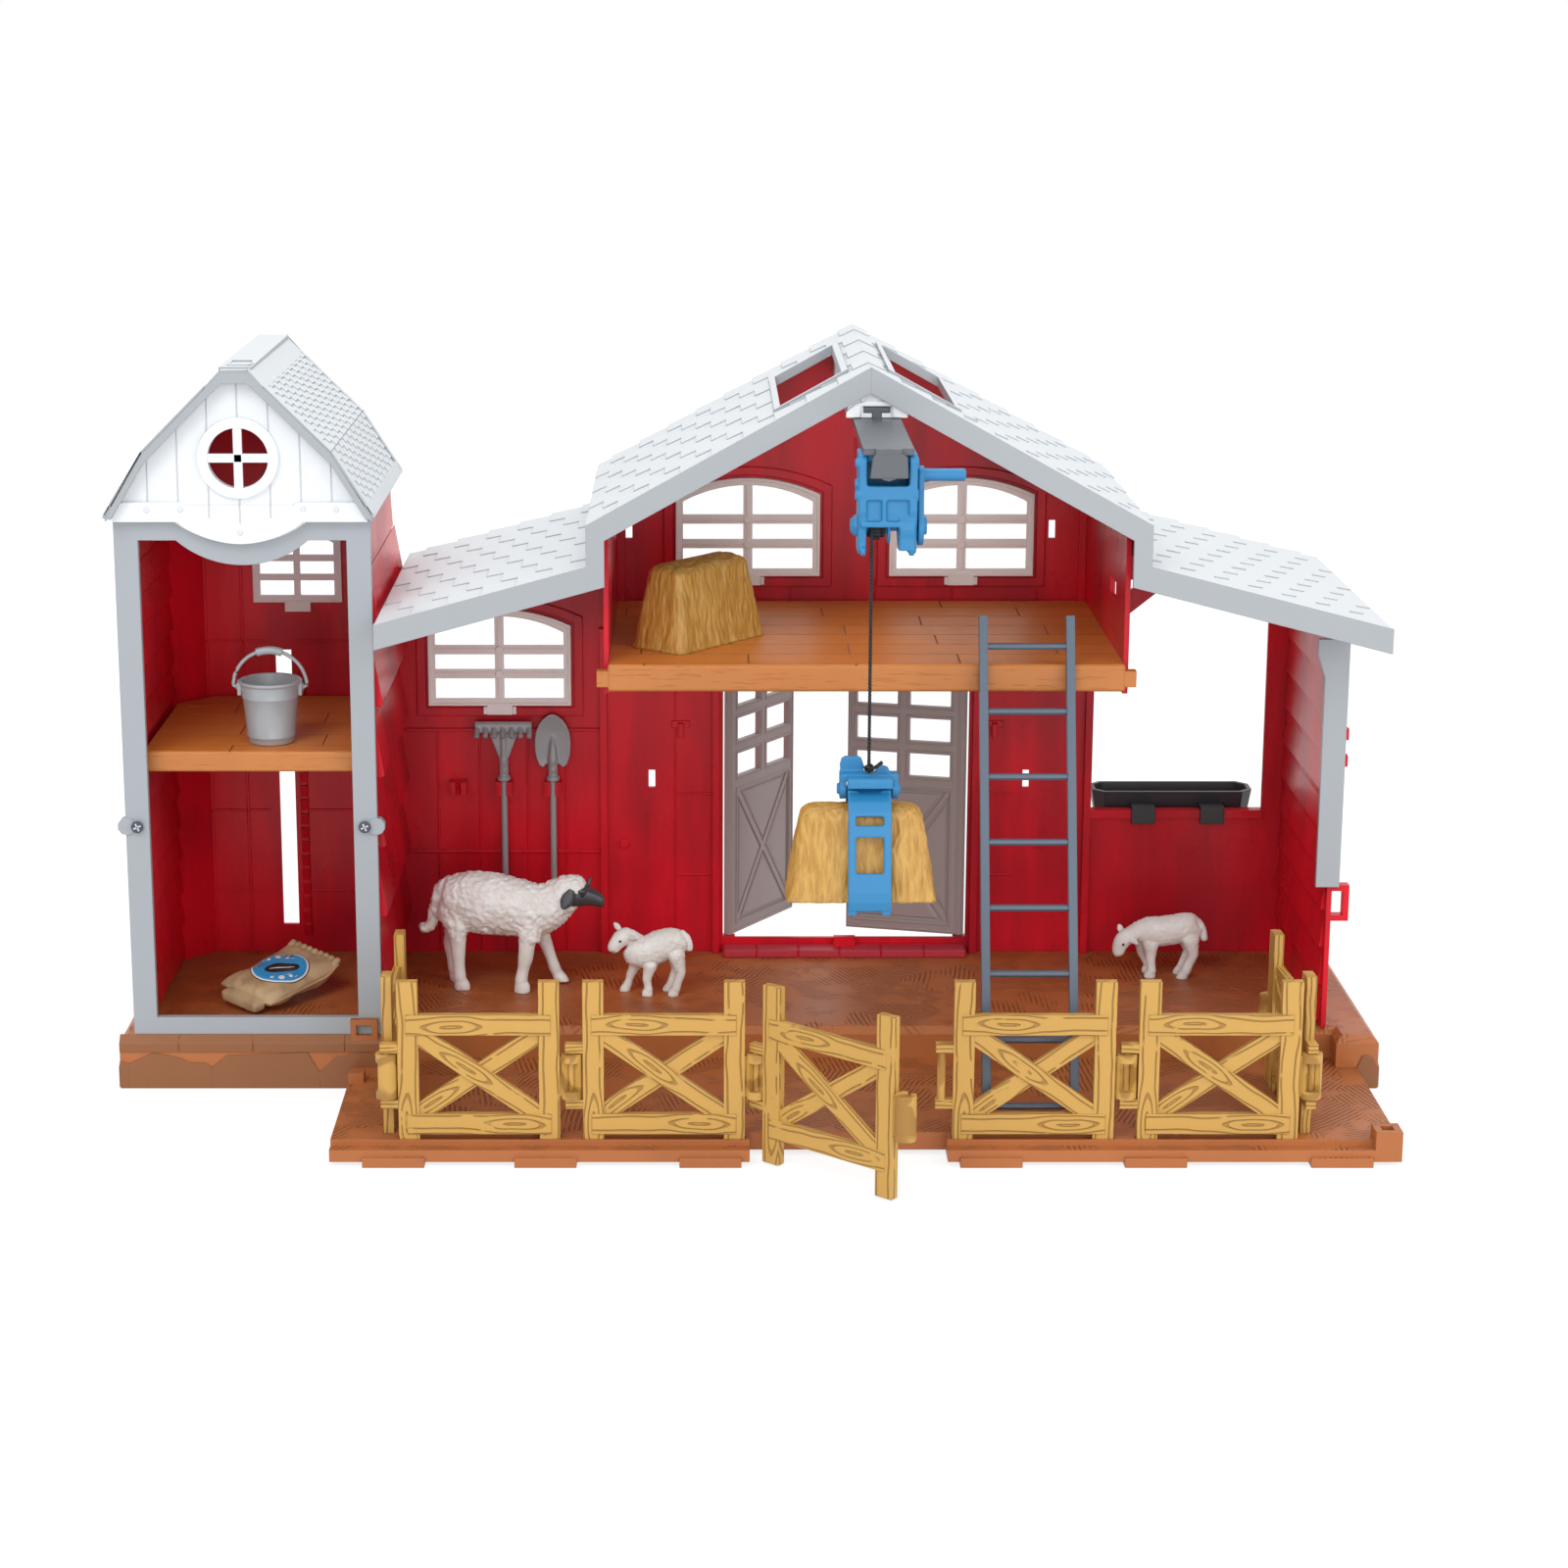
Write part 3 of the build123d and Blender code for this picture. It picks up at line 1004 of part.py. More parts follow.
def make_jaw(side):
    """Jaw of the grab: side -1 is the front one with outer knuckles, +1 the rear one."""
    face_top = BALE[1] / 2 - BALE[2] * tan(radians(BALE_TAPER)) + 1.0
    face_low = BALE[1] / 2 + 1.4
    low = BALE_Z0 - GRAB_PIVOT - 1.6
    t = JAW_T
    line = [(0, 1.6), (face_top + t, -3), (face_low + t + 0.6, low + 1), (face_low + t - 1, low - t),
            (face_low - 6, low - t),
            (face_low - 6, low), (face_low - 0.3, low), (face_top, -6.0), (2, -1.6)]
    pts = [(CORD_Y + side * y, GRAB_PIVOT + z) for y, z in line]
    jaw = slab_x(pts, CORD_X - JAW_W / 2, CORD_X + JAW_W / 2)
    foot_y = sorted((CORD_Y + side * (face_low - 6), CORD_Y + side * (face_low + t - 1)))
    jaw += block(CORD_X - JAW_W / 2 - 3.5, CORD_X + JAW_W / 2 + 3.5, *foot_y, GRAB_PIVOT + low - t,
                 GRAB_PIVOT + low)
    ys = sorted((CORD_Y + side * (face_top - 2), CORD_Y + side * (face_low + 8)))
    for z0, z1 in ((-22, -10), (-45, -26)):
        jaw -= block(CORD_X - 6.2, CORD_X + 6.2, *ys, GRAB_PIVOT + z0, GRAB_PIVOT + z1)
    clear_knuckle = KNUCKLE_R + CLEAR + 0.2
    a, b = ((5.4, JAW_W / 2) if side < 0 else (0, 5.0))
    jaw -= facet_hole((CORD_X - 20, CORD_Y, GRAB_PIVOT), (CORD_X + 20, CORD_Y, GRAB_PIVOT), clear_knuckle)
    spans = [(CORD_X - b, CORD_X - a), (CORD_X + a, CORD_X + b)] if side < 0 else [(CORD_X - b, CORD_X + b)]
    for x0, x1 in spans:
        jaw += facet_bar((x0, CORD_Y, GRAB_PIVOT), (x1, CORD_Y, GRAB_PIVOT), KNUCKLE_R)
        arm_y = sorted((CORD_Y + side * 2.6, CORD_Y + side * (clear_knuckle + 1)))
        jaw += block(x0, x1, *arm_y, GRAB_PIVOT - 1.8, GRAB_PIVOT + 0.6)
    jaw -= facet_hole((CORD_X - 20, CORD_Y, GRAB_PIVOT), (CORD_X + 20, CORD_Y, GRAB_PIVOT),
                      GRAB_PIN_R + PIN_CLEAR)
    return jaw


def make_bale(place):
    """Hay bale with sides that lean in."""
    length, width, height = BALE
    bale = extrude(Rectangle(length, width), height, taper=BALE_TAPER)
    return place * chamfer(bale.edges().group_by(Axis.Z)[-1], 2.0)


BALE_LOFT = Pos(-26.0, 9.0, LOFT_TOP) * Rot(0, 0, 50.0)
BALE_LIFT = Pos(BALE_X, CORD_Y, BALE_Z0)

# ---- ladder leaning on the loft edge ----
LADDER_X = 136.0
LADDER_HALF = 21.5
LADDER_RAIL = 4.2
LADDER_RUNG_R = 1.7
LADDER_FOOT_Y = -121.5
LADDER_TOP_Z = 253.0
LADDER_SINK = 4.0
FIRST_RUNG = 12.5
RUNG_PITCH = 32.2


def make_ladder():
    """Ladder that stands on the yard deck and leans on the loft's edge."""
    reach_y = LOFT_Y0 - CLEAR - LADDER_RAIL / 2 * 1.05 - LADDER_FOOT_Y
    rise = LOFT_TOP - YARD_TOP
    lean_cos = rise / hypot(rise, reach_y)
    length = (LADDER_TOP_Z - YARD_TOP) / lean_cos
    half = LADDER_RAIL / 2
    rails = []
    for side in (-1, 1):
        x = side * LADDER_HALF
        rails.append(block(x - half, x + half, -half, half, -LADDER_SINK, length))
    ladder = rails[0] + rails[1:]
    rungs = []
    rung_count = int((length - FIRST_RUNG - LADDER_RAIL) / RUNG_PITCH) + 1
    for k in range(rung_count):
        z = FIRST_RUNG + k * RUNG_PITCH
        rungs.append(facet_bar((-LADDER_HALF, 0, z), (LADDER_HALF, 0, z), LADDER_RUNG_R, 6))
    ladder += rungs
    upright = Vector(0, reach_y, rise)
    place = Plane(origin=(LADDER_X, LADDER_FOOT_Y, YARD_TOP), x_dir=(1, 0, 0), z_dir=upright)
    return place * ladder - block(LADDER_X - 40, LADDER_X + 40, -160, -90, YARD_TOP - 12, YARD_TOP)


# ---- trough hooked over the low wall ----
TROUGH_X = (193.0, 282.0)
TROUGH_Y = (BACK_Y + 1.0, BACK_Y + 25.0)
TROUGH_Z = (101.0, 119.5)


def tray_outline(grow, corner):
    """Plan of the trough with cut corners."""
    x0, x1 = TROUGH_X[0] - grow, TROUGH_X[1] + grow
    y0, y1 = TROUGH_Y[0] - grow, TROUGH_Y[1] + grow
    return [(x0 + corner, y0), (x1 - corner, y0), (x1, y0 + corner), (x1, y1 - corner),
            (x1 - corner, y1), (x0 + corner, y1), (x0, y1 - corner), (x0, y0 + corner)]


def make_trough():
    """Trough with two hooks over the low wall."""
    x0, x1 = TROUGH_X
    y0 = TROUGH_Y[0]
    z0, z1 = TROUGH_Z
    lean = 9.0
    rim = Plane.XY.offset(z1) * make_face(Polyline(*tray_outline(0, 6.0), close=True))
    trough = extrude(rim, z0 - z1, taper=lean)
    mouth = Plane.XY.offset(z1) * make_face(Polyline(*tray_outline(-2.2, 5.0), close=True))
    trough -= extrude(mouth, z0 + 2 - z1, taper=lean)
    wall_in = BACK_Y - SKIN - 4
    z_sill = LOW_WALL[2]
    for x in (x0 + 27, x1 - 24):
        outline = [(y0 + 2.1, z_sill + 2.4), (wall_in - 2.2, z_sill + 2.4), (wall_in - 2.2, z_sill - 7.5),
                   (wall_in, z_sill - 7.5), (wall_in, z_sill), (y0 + 2.1, z_sill)]
        trough += slab_x(outline, x - 6.5, x + 6.5)
    return trough


# ---- hand tools in clips on the back wall ----
TOOL_Y = BACK_Y - SKIN - 6.0
TOOL_R = 1.8
CLIP_Z = (120.0, 128.0)
CLIP_X = (-158.8, -133.5, -106.5)
TOOL_FOOT = 62.0


def tool_clips():
    """Pegs that hold a tool on the rear wall."""
    clips = []
    for x in CLIP_X:
        clip = block(x - 4.6, x + 4.6, TOOL_Y - 2.4, BACK_Y - SKIN, *CLIP_Z)
        clip -= facet_hole((x, TOOL_Y, CLIP_Z[0] - 1), (x, TOOL_Y, CLIP_Z[1] + 1), TOOL_R + 0.1)
        clips.append(clip - block(x - 1.4, x + 1.4, TOOL_Y - 4, TOOL_Y, CLIP_Z[0] - 1, CLIP_Z[1] + 1))
    return clips


def make_rake():
    """Hay rake on the rear wall."""
    x = CLIP_X[1]
    tool = facet_bar((x, TOOL_Y, TOOL_FOOT), (x, TOOL_Y, 140), TOOL_R)
    tool += facet_bar((x, TOOL_Y, 129), (x, TOOL_Y, 141), 2.6)
    head_z = 158.0
    tool += block(x - 15.6, x + 15.6, TOOL_Y - 1.6, TOOL_Y + 1.2, head_z - 1.6, head_z + 2)
    for k in range(7):
        tx = x - 14.4 + k * 28.8 / 6
        tool += block(tx - 0.8, tx + 0.8, TOOL_Y - 7.0, TOOL_Y - 1, head_z - 1, head_z + 0.8)
        tool += block(tx - 0.8, tx + 0.8, TOOL_Y - 7.0, TOOL_Y - 5.4, head_z - 6.5, head_z)
    for dx in (-9, -3.5, 3.5, 9):
        tool += bar_xz((x + dx * 0.2, 139), (x + dx, head_z), 1.8, TOOL_Y - 1, TOOL_Y + 1)
    return tool


def make_shovel():
    """Shovel on the rear wall."""
    x = CLIP_X[2]
    tool = facet_bar((x, TOOL_Y, TOOL_FOOT), (x, TOOL_Y, 141), TOOL_R)
    tool += facet_bar((x, TOOL_Y, 129), (x, TOOL_Y, 138), 2.6)
    blade = slab_y(spade_outline(x, 152.0, 9.8, 14.0), TOOL_Y - 1.4, TOOL_Y + 1.0)
    hollow = slab_y(spade_outline(x, 152.5, 7.6, 11.2), TOOL_Y - 3.0, TOOL_Y - 0.2)
    return tool + blade - hollow


def spade_outline(x, z, half_width, half_height, sides=16):
    """Oval in the X-Z plane."""
    turns = [2 * pi * k / sides for k in range(sides)]
    return [(x + half_width * cos(t), z + half_height * sin(t)) for t in turns]


# ---- bucket on the lift ----
BUCKET = (-246.4, 8.3)
BUCKET_H = 33.0
BUCKET_TOP_R = 15.6
BAIL_R = 19.0
BAIL_WIRE = 1.0
BAIL_Z = LIFT_TOP + 29.0
EAR_OUT = 17.6


BUCKET_SIDES = 16


def tapered_prism(sides, radius_low, radius_high, z0, z1):
    """Upright many-sided prism that widens upward."""
    return ring_solid([ring((0, 0, z0), radius_low, radius_low, 90, sides),
                       ring((0, 0, z1), radius_high, radius_high, 90, sides)])


def make_bucket():
    """Bucket with two ears for its bail."""
    wall = 1.4
    foot = BUCKET_TOP_R * 0.8
    pail = tapered_prism(BUCKET_SIDES, foot, BUCKET_TOP_R, 0, BUCKET_H)
    pail += extrude(Plane.XY.offset(BUCKET_H) * RegularPolygon(BUCKET_TOP_R + 0.9, BUCKET_SIDES), -2.4)
    ear_z = BAIL_Z - LIFT_TOP
    for side in (-1, 1):
        inner = side * (BUCKET_TOP_R - 1.2)
        outer = side * EAR_OUT
        pail += block(min(inner, outer), max(inner, outer), -3, 3, ear_z - 3.5, ear_z + 3)
    pail -= tapered_prism(BUCKET_SIDES, foot - wall + 0.4, BUCKET_TOP_R - wall, 2, BUCKET_H)
    for side in (-1, 1):
        pail -= facet_hole((side * 12, 0, ear_z), (side * 20, 0, ear_z), BAIL_WIRE + PIN_CLEAR)
    return Pos(*BUCKET, LIFT_TOP) * pail


def make_bail():
    """Half-round bow with two pins that sit in the ears and a sleeve at the top."""
    steps = 10
    turns = [pi * k / steps for k in range(steps + 1)]
    outer = BAIL_R + BAIL_WIRE
    inner = (BAIL_R - BAIL_WIRE) / cos(pi / (2 * steps))
    outline = [(outer * cos(t), outer * sin(t)) for t in turns]
    outline += [(inner * cos(t), inner * sin(t)) for t in reversed(turns)]
    bow = slab_y(outline, -BAIL_WIRE, BAIL_WIRE)
    for side in (-1, 1):
        bow += rod((side * (BUCKET_TOP_R + 0.2), 0, 0), (side * outer, 0, 0), BAIL_WIRE)
    bow += facet_bar((-6, 0, BAIL_R), (6, 0, BAIL_R), 2.1)
    return Pos(*BUCKET, BAIL_Z) * bow


SACK = (58.0, 42.0, 15.0)
SACK_PLACE = Pos(-250.0, 38.0, BASE_H) * Rot(0, 0, 50.0)


def make_sack():
    """Full feed sack that lies on the silo's floor."""
    length, width, height = SACK
    sack = Box(length, width, height, align=(Align.CENTER, Align.CENTER, Align.MIN))
    sack = chamfer(sack.edges().filter_by(Axis.X), height * 0.3)
    return SACK_PLACE * sack


# ---- animals: simple closed bodies on four legs ----
# Fractions of length, height, width and height, with the tilt of the ring.
TRUNK = (
    (-0.48, 0.68, 0.17, 0.09, 0), (-0.43, 0.69, 0.34, 0.19, 0), (-0.20, 0.68, 0.43, 0.235, 0),
    (0.10, 0.67, 0.42, 0.235, 0), (0.25, 0.69, 0.33, 0.19, 0), (0.31, 0.72, 0.20, 0.11, 0),
)
NECK_UP = ((0.16, 0.72, 0.24, 0.17, 48), (0.27, 0.84, 0.18, 0.12, 48), (0.33, 0.92, 0.13, 0.08, 48))
HEAD_UP = ((0.26, 0.90, 0.11, 0.06, -14), (0.34, 0.91, 0.15, 0.09, -14), (0.45, 0.84, 0.10, 0.065, -14),
           (0.50, 0.81, 0.07, 0.04, -14))
NECK_DOWN = ((0.18, 0.70, 0.24, 0.17, -40), (0.30, 0.52, 0.18, 0.13, -40), (0.36, 0.43, 0.13, 0.08, -40))
HEAD_DOWN = ((0.32, 0.48, 0.11, 0.06, -52), (0.36, 0.40, 0.15, 0.09, -52), (0.43, 0.22, 0.10, 0.065, -52),
             (0.46, 0.14, 0.07, 0.04, -52))


def make_animal(length, height, depth, place, head_low):
    """Trunk, neck and head on four legs; the head points along +X."""

    body = None
    for table in (TRUNK, NECK_DOWN if head_low else NECK_UP, HEAD_DOWN if head_low else HEAD_UP):
        rings = []
        for x, z, across, along, tilt in table:
            rings.append(ring((x * length, 0, z * height), across * depth, along * height, tilt, 8))
        body = ring_solid(rings) if body is None else body + ring_solid(rings)
    hip = height * 0.1
    for fx, sy in ((-0.35, -1), (-0.29, 1), (0.12, -1), (0.18, 1)):
        x = length * fx
        y = sy * depth * 0.23
        rings = []
        for z, wide, deep in ((0.56, 1.0, 1.3), (0.26, 0.45, 0.5), (0, 0.5, 0.62)):
            rings.append(ring((x, y, z * height), hip * wide, hip * deep, 90, 6))
        body += ring_solid(rings)
    return place * body


EWE = (100.0, 64.0, 30.0)
LAMB_A = (43.0, 39.5, 16.0)
LAMB_B = (50.0, 35.5, 16.0)
EWE_PLACE = Pos(-128.0, 54.0, BASE_H) * Rot(0, 0, -6)
LAMB_A_PLACE = Pos(-53.0, 43.0, BASE_H) * Rot(0, 0, 180)
LAMB_B_PLACE = Pos(226.0, 74.0, BASE_H) * Rot(0, 0, 176)


# ---- the set of parts ----
parts = {
    "base_tray": make_base(),
    "silo_plinth": make_plinth(),
    "yard_deck": make_yard(),
    "silo_shell": make_silo_shell(),
    "silo_frame": make_silo_frame(),
    "silo_frame_screws": make_screws(),
    "silo_gable": make_silo_gable(),
    "silo_roof": make_silo_roof(),
    "silo_window": make_silo_window(),
    "lift_platform": make_lift(),
    "lift_knob": make_lift_knob(),
    "back_wall": make_back_wall() + tool_clips(),
    "right_wall": make_right_wall(),
    "right_post": make_right_post(),
    "roof_left": make_roof_half(-1),
    "roof_right": make_roof_half(1),
    "loft_deck": make_loft(),
    "loft_cheek_left": make_cheek(-1),
    "loft_cheek_right": make_cheek(1),
    "window_lower_left": make_barn_window(0),
    "window_upper_left": make_barn_window(1),
    "window_upper_right": make_barn_window(2),
    "door_left": make_door("door_left"),
    "door_right": make_door("door_right"),
    "ridge_channel": make_channel(),
    "hoist_beam": make_beam(),
    "winch_frame": make_winch_frame(),
    "winch_crank": make_winch_crank(),
    "wound_cord": make_wound_cord(),
    "hoist_cord": make_hoist_cord(),
    "grab_yoke": make_grab_yoke(),
    "grab_pin": make_grab_pin(),
    "grab_jaw_front": make_jaw(-1),
    "grab_jaw_rear": make_jaw(1),
    "bale_lifted": make_bale(BALE_LIFT),
    "bale_on_loft": make_bale(BALE_LOFT),
    "ladder": make_ladder(),
    "trough": make_trough(),
    "rake": make_rake(),
    "shovel": make_shovel(),
    "bucket": make_bucket(),
    "bucket_bail": make_bail(),
    "feed_sack": make_sack(),
    "ewe": make_animal(*EWE, EWE_PLACE, False),
    "lamb_standing": make_animal(*LAMB_A, LAMB_A_PLACE, False),
    "lamb_grazing": make_animal(*LAMB_B, LAMB_B_PLACE, True),
    "gate": Pos(panel_pin(GATE), FENCE_Y, 0) * Rot(0, 0, -GATE_OPEN) * fence_panel(True, round_pin=True),
    "fence_side_left": LEFT_PLACE * fence_panel(False),
    "fence_side_right": RIGHT_PLACE * fence_panel(False),
}
for index, name in FRONT_PANELS.items():
    parts[name] = Pos(panel_pin(index), FENCE_Y, 0) * fence_panel(False)

for name, shape in parts.items():
    export_step(shape, f"parts/{name}.step")
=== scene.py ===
import json
from math import asin, cos, hypot, pi, radians, sin, tan
import bmesh
import bpy
from mathutils import Matrix, Vector, noise


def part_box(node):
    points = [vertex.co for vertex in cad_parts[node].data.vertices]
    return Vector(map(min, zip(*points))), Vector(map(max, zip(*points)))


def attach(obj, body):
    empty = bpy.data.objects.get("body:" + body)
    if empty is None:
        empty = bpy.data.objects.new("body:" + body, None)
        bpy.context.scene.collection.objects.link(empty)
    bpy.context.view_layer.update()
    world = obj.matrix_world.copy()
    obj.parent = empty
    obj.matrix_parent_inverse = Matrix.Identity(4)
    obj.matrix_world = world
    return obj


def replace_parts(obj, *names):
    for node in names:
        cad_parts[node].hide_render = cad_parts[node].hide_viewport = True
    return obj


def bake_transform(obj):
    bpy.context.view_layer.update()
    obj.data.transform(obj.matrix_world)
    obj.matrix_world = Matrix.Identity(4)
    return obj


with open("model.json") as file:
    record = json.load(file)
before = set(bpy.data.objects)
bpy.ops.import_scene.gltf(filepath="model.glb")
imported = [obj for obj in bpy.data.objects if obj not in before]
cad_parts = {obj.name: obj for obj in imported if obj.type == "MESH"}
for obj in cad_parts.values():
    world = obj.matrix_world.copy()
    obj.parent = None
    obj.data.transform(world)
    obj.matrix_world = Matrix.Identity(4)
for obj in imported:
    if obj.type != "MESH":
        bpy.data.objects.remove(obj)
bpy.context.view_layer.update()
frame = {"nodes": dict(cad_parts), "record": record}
nodes = frame["nodes"]

MM = 0.001
SILO_X = -253.6          # middle of the silo
WALL_FACE = 117.4        # inner face of the rear wall
FLOOR_Z = 28.0
GRAB_X, GRAB_Y, GRAB_Z = 53.0, -155.0, 193.0      # hinge line of the grab, under the cord


# ---------------------------------------------------------------- node tools
class Net:
    """Short calls for building one node tree."""

    def __init__(self, tree):
        self.tree = tree

    def feed(self, socket, value):
        """Links an output to the socket, or sets the socket's own value."""
        if isinstance(value, bpy.types.NodeSocket):
            self.tree.links.new(value, socket)
        elif value is not None:
            socket.default_value = value

    def node(self, kind, inputs=(), **settings):
        """New node with its settings and its inputs by name."""
        made = self.tree.nodes.new(kind)
        for name, value in settings.items():
            setattr(made, name, value)
        for key, value in dict(inputs).items():
            self.feed(made.inputs[key], value)
        return made

    def math(self, operation, a, b=None):
        """One sum."""
        made = self.node("ShaderNodeMath", operation=operation)
        self.feed(made.inputs[0], a)
        self.feed(made.inputs[1], b)
        return made.outputs[0]

    def plus(self, a, b):
        """a + b."""
        return self.math("ADD", a, b)

    def minus(self, a, b):
        """a - b."""
        return self.math("SUBTRACT", a, b)

    def times(self, a, b):
        """a * b."""
        return self.math("MULTIPLY", a, b)

    def mix(self, factor, a, b, blend="MIX"):
        """Colour between a and b."""
        made = self.node("ShaderNodeMix", data_type="RGBA", blend_type=blend)
        self.feed(made.inputs[0], factor)
        self.feed(made.inputs[6], a)
        self.feed(made.inputs[7], b)
        return made.outputs[2]

    def noise(self, vector, scale, detail=3.0, roughness=0.5):
        """Cloudy value from 0 to 1."""
        made = self.node("ShaderNodeTexNoise", {"Vector": vector, "Scale": scale, "Detail": detail,
                                                "Roughness": roughness})
        return made.outputs[0]

    def stretch(self, vector, factors):
        """Coordinates multiplied axis by axis."""
        made = self.node("ShaderNodeVectorMath", operation="MULTIPLY")
        self.feed(made.inputs[0], vector)
        self.feed(made.inputs[1], factors)
        return made.outputs[0]

    def ramp(self, value, low, high):
        """0 below low, 1 above high, smooth between."""
        made = self.node("ShaderNodeMapRange", {"Value": value, "From Min": low, "From Max": high},
                         interpolation_type="SMOOTHSTEP")
        return made.outputs[0]

    def axes(self, vector):
        """The three numbers of a vector."""
        made = self.node("ShaderNodeSeparateXYZ", {"Vector": vector})
        return made.outputs[0], made.outputs[1], made.outputs[2]

    def vector(self, x, y, z):
        """A vector from three numbers."""
        made = self.node("ShaderNodeCombineXYZ", {"X": x, "Y": y, "Z": z})
        return made.outputs[0]

    def bump(self, height, distance, normal=None):
        """Normal from a height, over another normal if one is given."""
        made = self.node("ShaderNodeBump", {"Height": height, "Distance": distance, "Strength": 1.0})
        if normal is not None:
            self.feed(made.inputs["Normal"], normal)
        return made.outputs[0]


def colour(red, green, blue):
    """Linear colour of an 8-bit display colour."""
    parts = []
    for value in (red, green, blue):
        c = value / 255
        parts.append(c / 12.92 if c <= 0.04045 else ((c + 0.055) / 1.055) ** 2.4)
    return (*parts, 1.0)


def new_group(name, inputs, outputs):
    """Empty node group; inputs and outputs are (name, socket type, default) and (name, socket type)."""
    group = bpy.data.node_groups.new(name, "ShaderNodeTree")
    for title, kind, default in inputs:
        socket = group.interface.new_socket(name=title, in_out="INPUT", socket_type=kind)
        if default is not None:
            socket.default_value = default
    for title, kind in outputs:
        group.interface.new_socket(name=title, in_out="OUTPUT", socket_type=kind)
    start = group.nodes.new("NodeGroupInput")
    end = group.nodes.new("NodeGroupOutput")
    return group, Net(group), start.outputs, end.inputs


FLOAT = "NodeSocketFloat"
COLOR = "NodeSocketColor"
VECTOR = "NodeSocketVector"


def make_skin_group():
    """Moulded plastic: cloudy colour, uneven gloss and a fine pebbled skin."""
    group, net, given, result = new_group(
        "moulded_skin",
        [("Vector", VECTOR, None), ("Color", COLOR, None), ("Roughness", FLOAT, 0.4), ("Cloud", FLOAT, 0.12),
         ("Pebble", FLOAT, 0.00004)],
        [("Color", COLOR), ("Roughness", FLOAT), ("Normal", VECTOR)])
    cloud = net.noise(given["Vector"], 16.0, 4.0, 0.6)
    streak = net.noise(net.stretch(given["Vector"], (60.0, 60.0, 8.0)), 1.0, 3.0)
    blotch = net.plus(net.times(cloud, 0.65), net.times(streak, 0.35))
    swing = net.times(net.minus(blotch, 0.5), given["Cloud"])
    gain = net.plus(net.times(swing, 2.0), 1.0)
    net.feed(result["Color"], net.mix(1.0, given["Color"], net.vector(gain, gain, gain), "MULTIPLY"))
    rough = net.plus(given["Roughness"], net.times(net.minus(cloud, 0.5), 0.22))
    net.feed(result["Roughness"], rough)
    grain = net.noise(given["Vector"], 1400.0, 2.0)
    rounded = net.node("ShaderNodeBevel", {"Radius": 0.0006}, samples=4).outputs[0]
    net.feed(result["Normal"], net.bump(grain, given["Pebble"], rounded))
    return group


def make_rows_group():
    """Rows of boards or tiles: a seam mask and one random value for each piece."""
    group, net, given, result = new_group(
        "laid_rows",
        [("Across", FLOAT, 0.0), ("Along", FLOAT, 0.0), ("Pitch", FLOAT, 0.02), ("Length", FLOAT, 0.1),
         ("Seam", FLOAT, 0.0006), ("Scatter", FLOAT, 1.0)],
        [("Seam", FLOAT), ("Tone", FLOAT), ("Rise", FLOAT)])
    row = net.math("DIVIDE", given["Across"], given["Pitch"])
    index = net.math("FLOOR", row)
    within = net.minus(row, index)
    lane = net.node("ShaderNodeTexWhiteNoise", {"W": index}, noise_dimensions="1D").outputs[0]
    shift = net.times(lane, given["Scatter"])
    half = net.times(net.math("MODULO", index, 2.0), 0.5)
    place = net.plus(net.math("DIVIDE", given["Along"], given["Length"]), net.plus(shift, half))
    piece = net.math("FLOOR", place)
    beyond = net.minus(place, piece)
    edge_row = net.times(net.math("MINIMUM", within, net.minus(1.0, within)), given["Pitch"])
    edge_end = net.times(net.math("MINIMUM", beyond, net.minus(1.0, beyond)), given["Length"])
    edge = net.math("MINIMUM", edge_row, edge_end)
    seam = net.node("ShaderNodeMapRange", {"Value": edge, "From Min": 0.0, "From Max": given["Seam"]},
                    interpolation_type="SMOOTHSTEP").outputs[0]
    net.feed(result["Seam"], seam)
    tone = net.node("ShaderNodeTexWhiteNoise", {"Vector": net.vector(index, piece, 0.0)}, noise_dimensions="3D")
    net.feed(result["Tone"], tone.outputs[0])
    net.feed(result["Rise"], within)
    return group


def make_grain_group():
    """Engraved wood grain along X of the vector; the lines close into rings round a knot at the origin."""
    group, net, given, result = new_group(
        "engraved_grain",
        [("Vector", VECTOR, None), ("Place", VECTOR, None), ("Pitch", FLOAT, 0.0021), ("Knot", FLOAT, 0.0034),
         ("Reach", FLOAT, 0.011)],
        [("Height", FLOAT), ("Line", FLOAT)])
    x, y, _ = net.axes(given["Vector"])
    drift = net.noise(net.stretch(given["Place"], (24.0, 24.0, 24.0)), 1.0, 2.0)
    shifted = net.plus(y, net.times(net.minus(drift, 0.5), 0.006))
    spread = net.math("DIVIDE", x, given["Reach"])
    fade = net.math("EXPONENT", net.times(net.times(spread, spread), -1.0))
    hold = net.times(net.minus(1.0, fade), given["Knot"])
    reach = net.math("SQRT", net.plus(net.times(shifted, shifted), net.times(hold, hold)))
    phase = net.math("DIVIDE", reach, given["Pitch"])
    wave = net.math("SINE", net.times(phase, 2 * pi))
    line = net.ramp(wave, 0.55, 0.97)
    gaps = net.ramp(net.noise(net.stretch(given["Place"], (75.0, 75.0, 75.0)), 1.0, 2.0), 0.34, 0.42)
    mark = net.times(line, gaps)
    net.feed(result["Line"], mark)
    net.feed(result["Height"], net.minus(1.0, mark))
    return group


SKIN = make_skin_group()
ROWS = make_rows_group()
GRAIN = make_grain_group()


def use_group(net, group, **inputs):
    """Places a group with its inputs by name; returns its outputs."""
    made = net.node("ShaderNodeGroup")
    made.node_tree = group
    for name, value in inputs.items():
        net.feed(made.inputs[name], value)
    return made.outputs


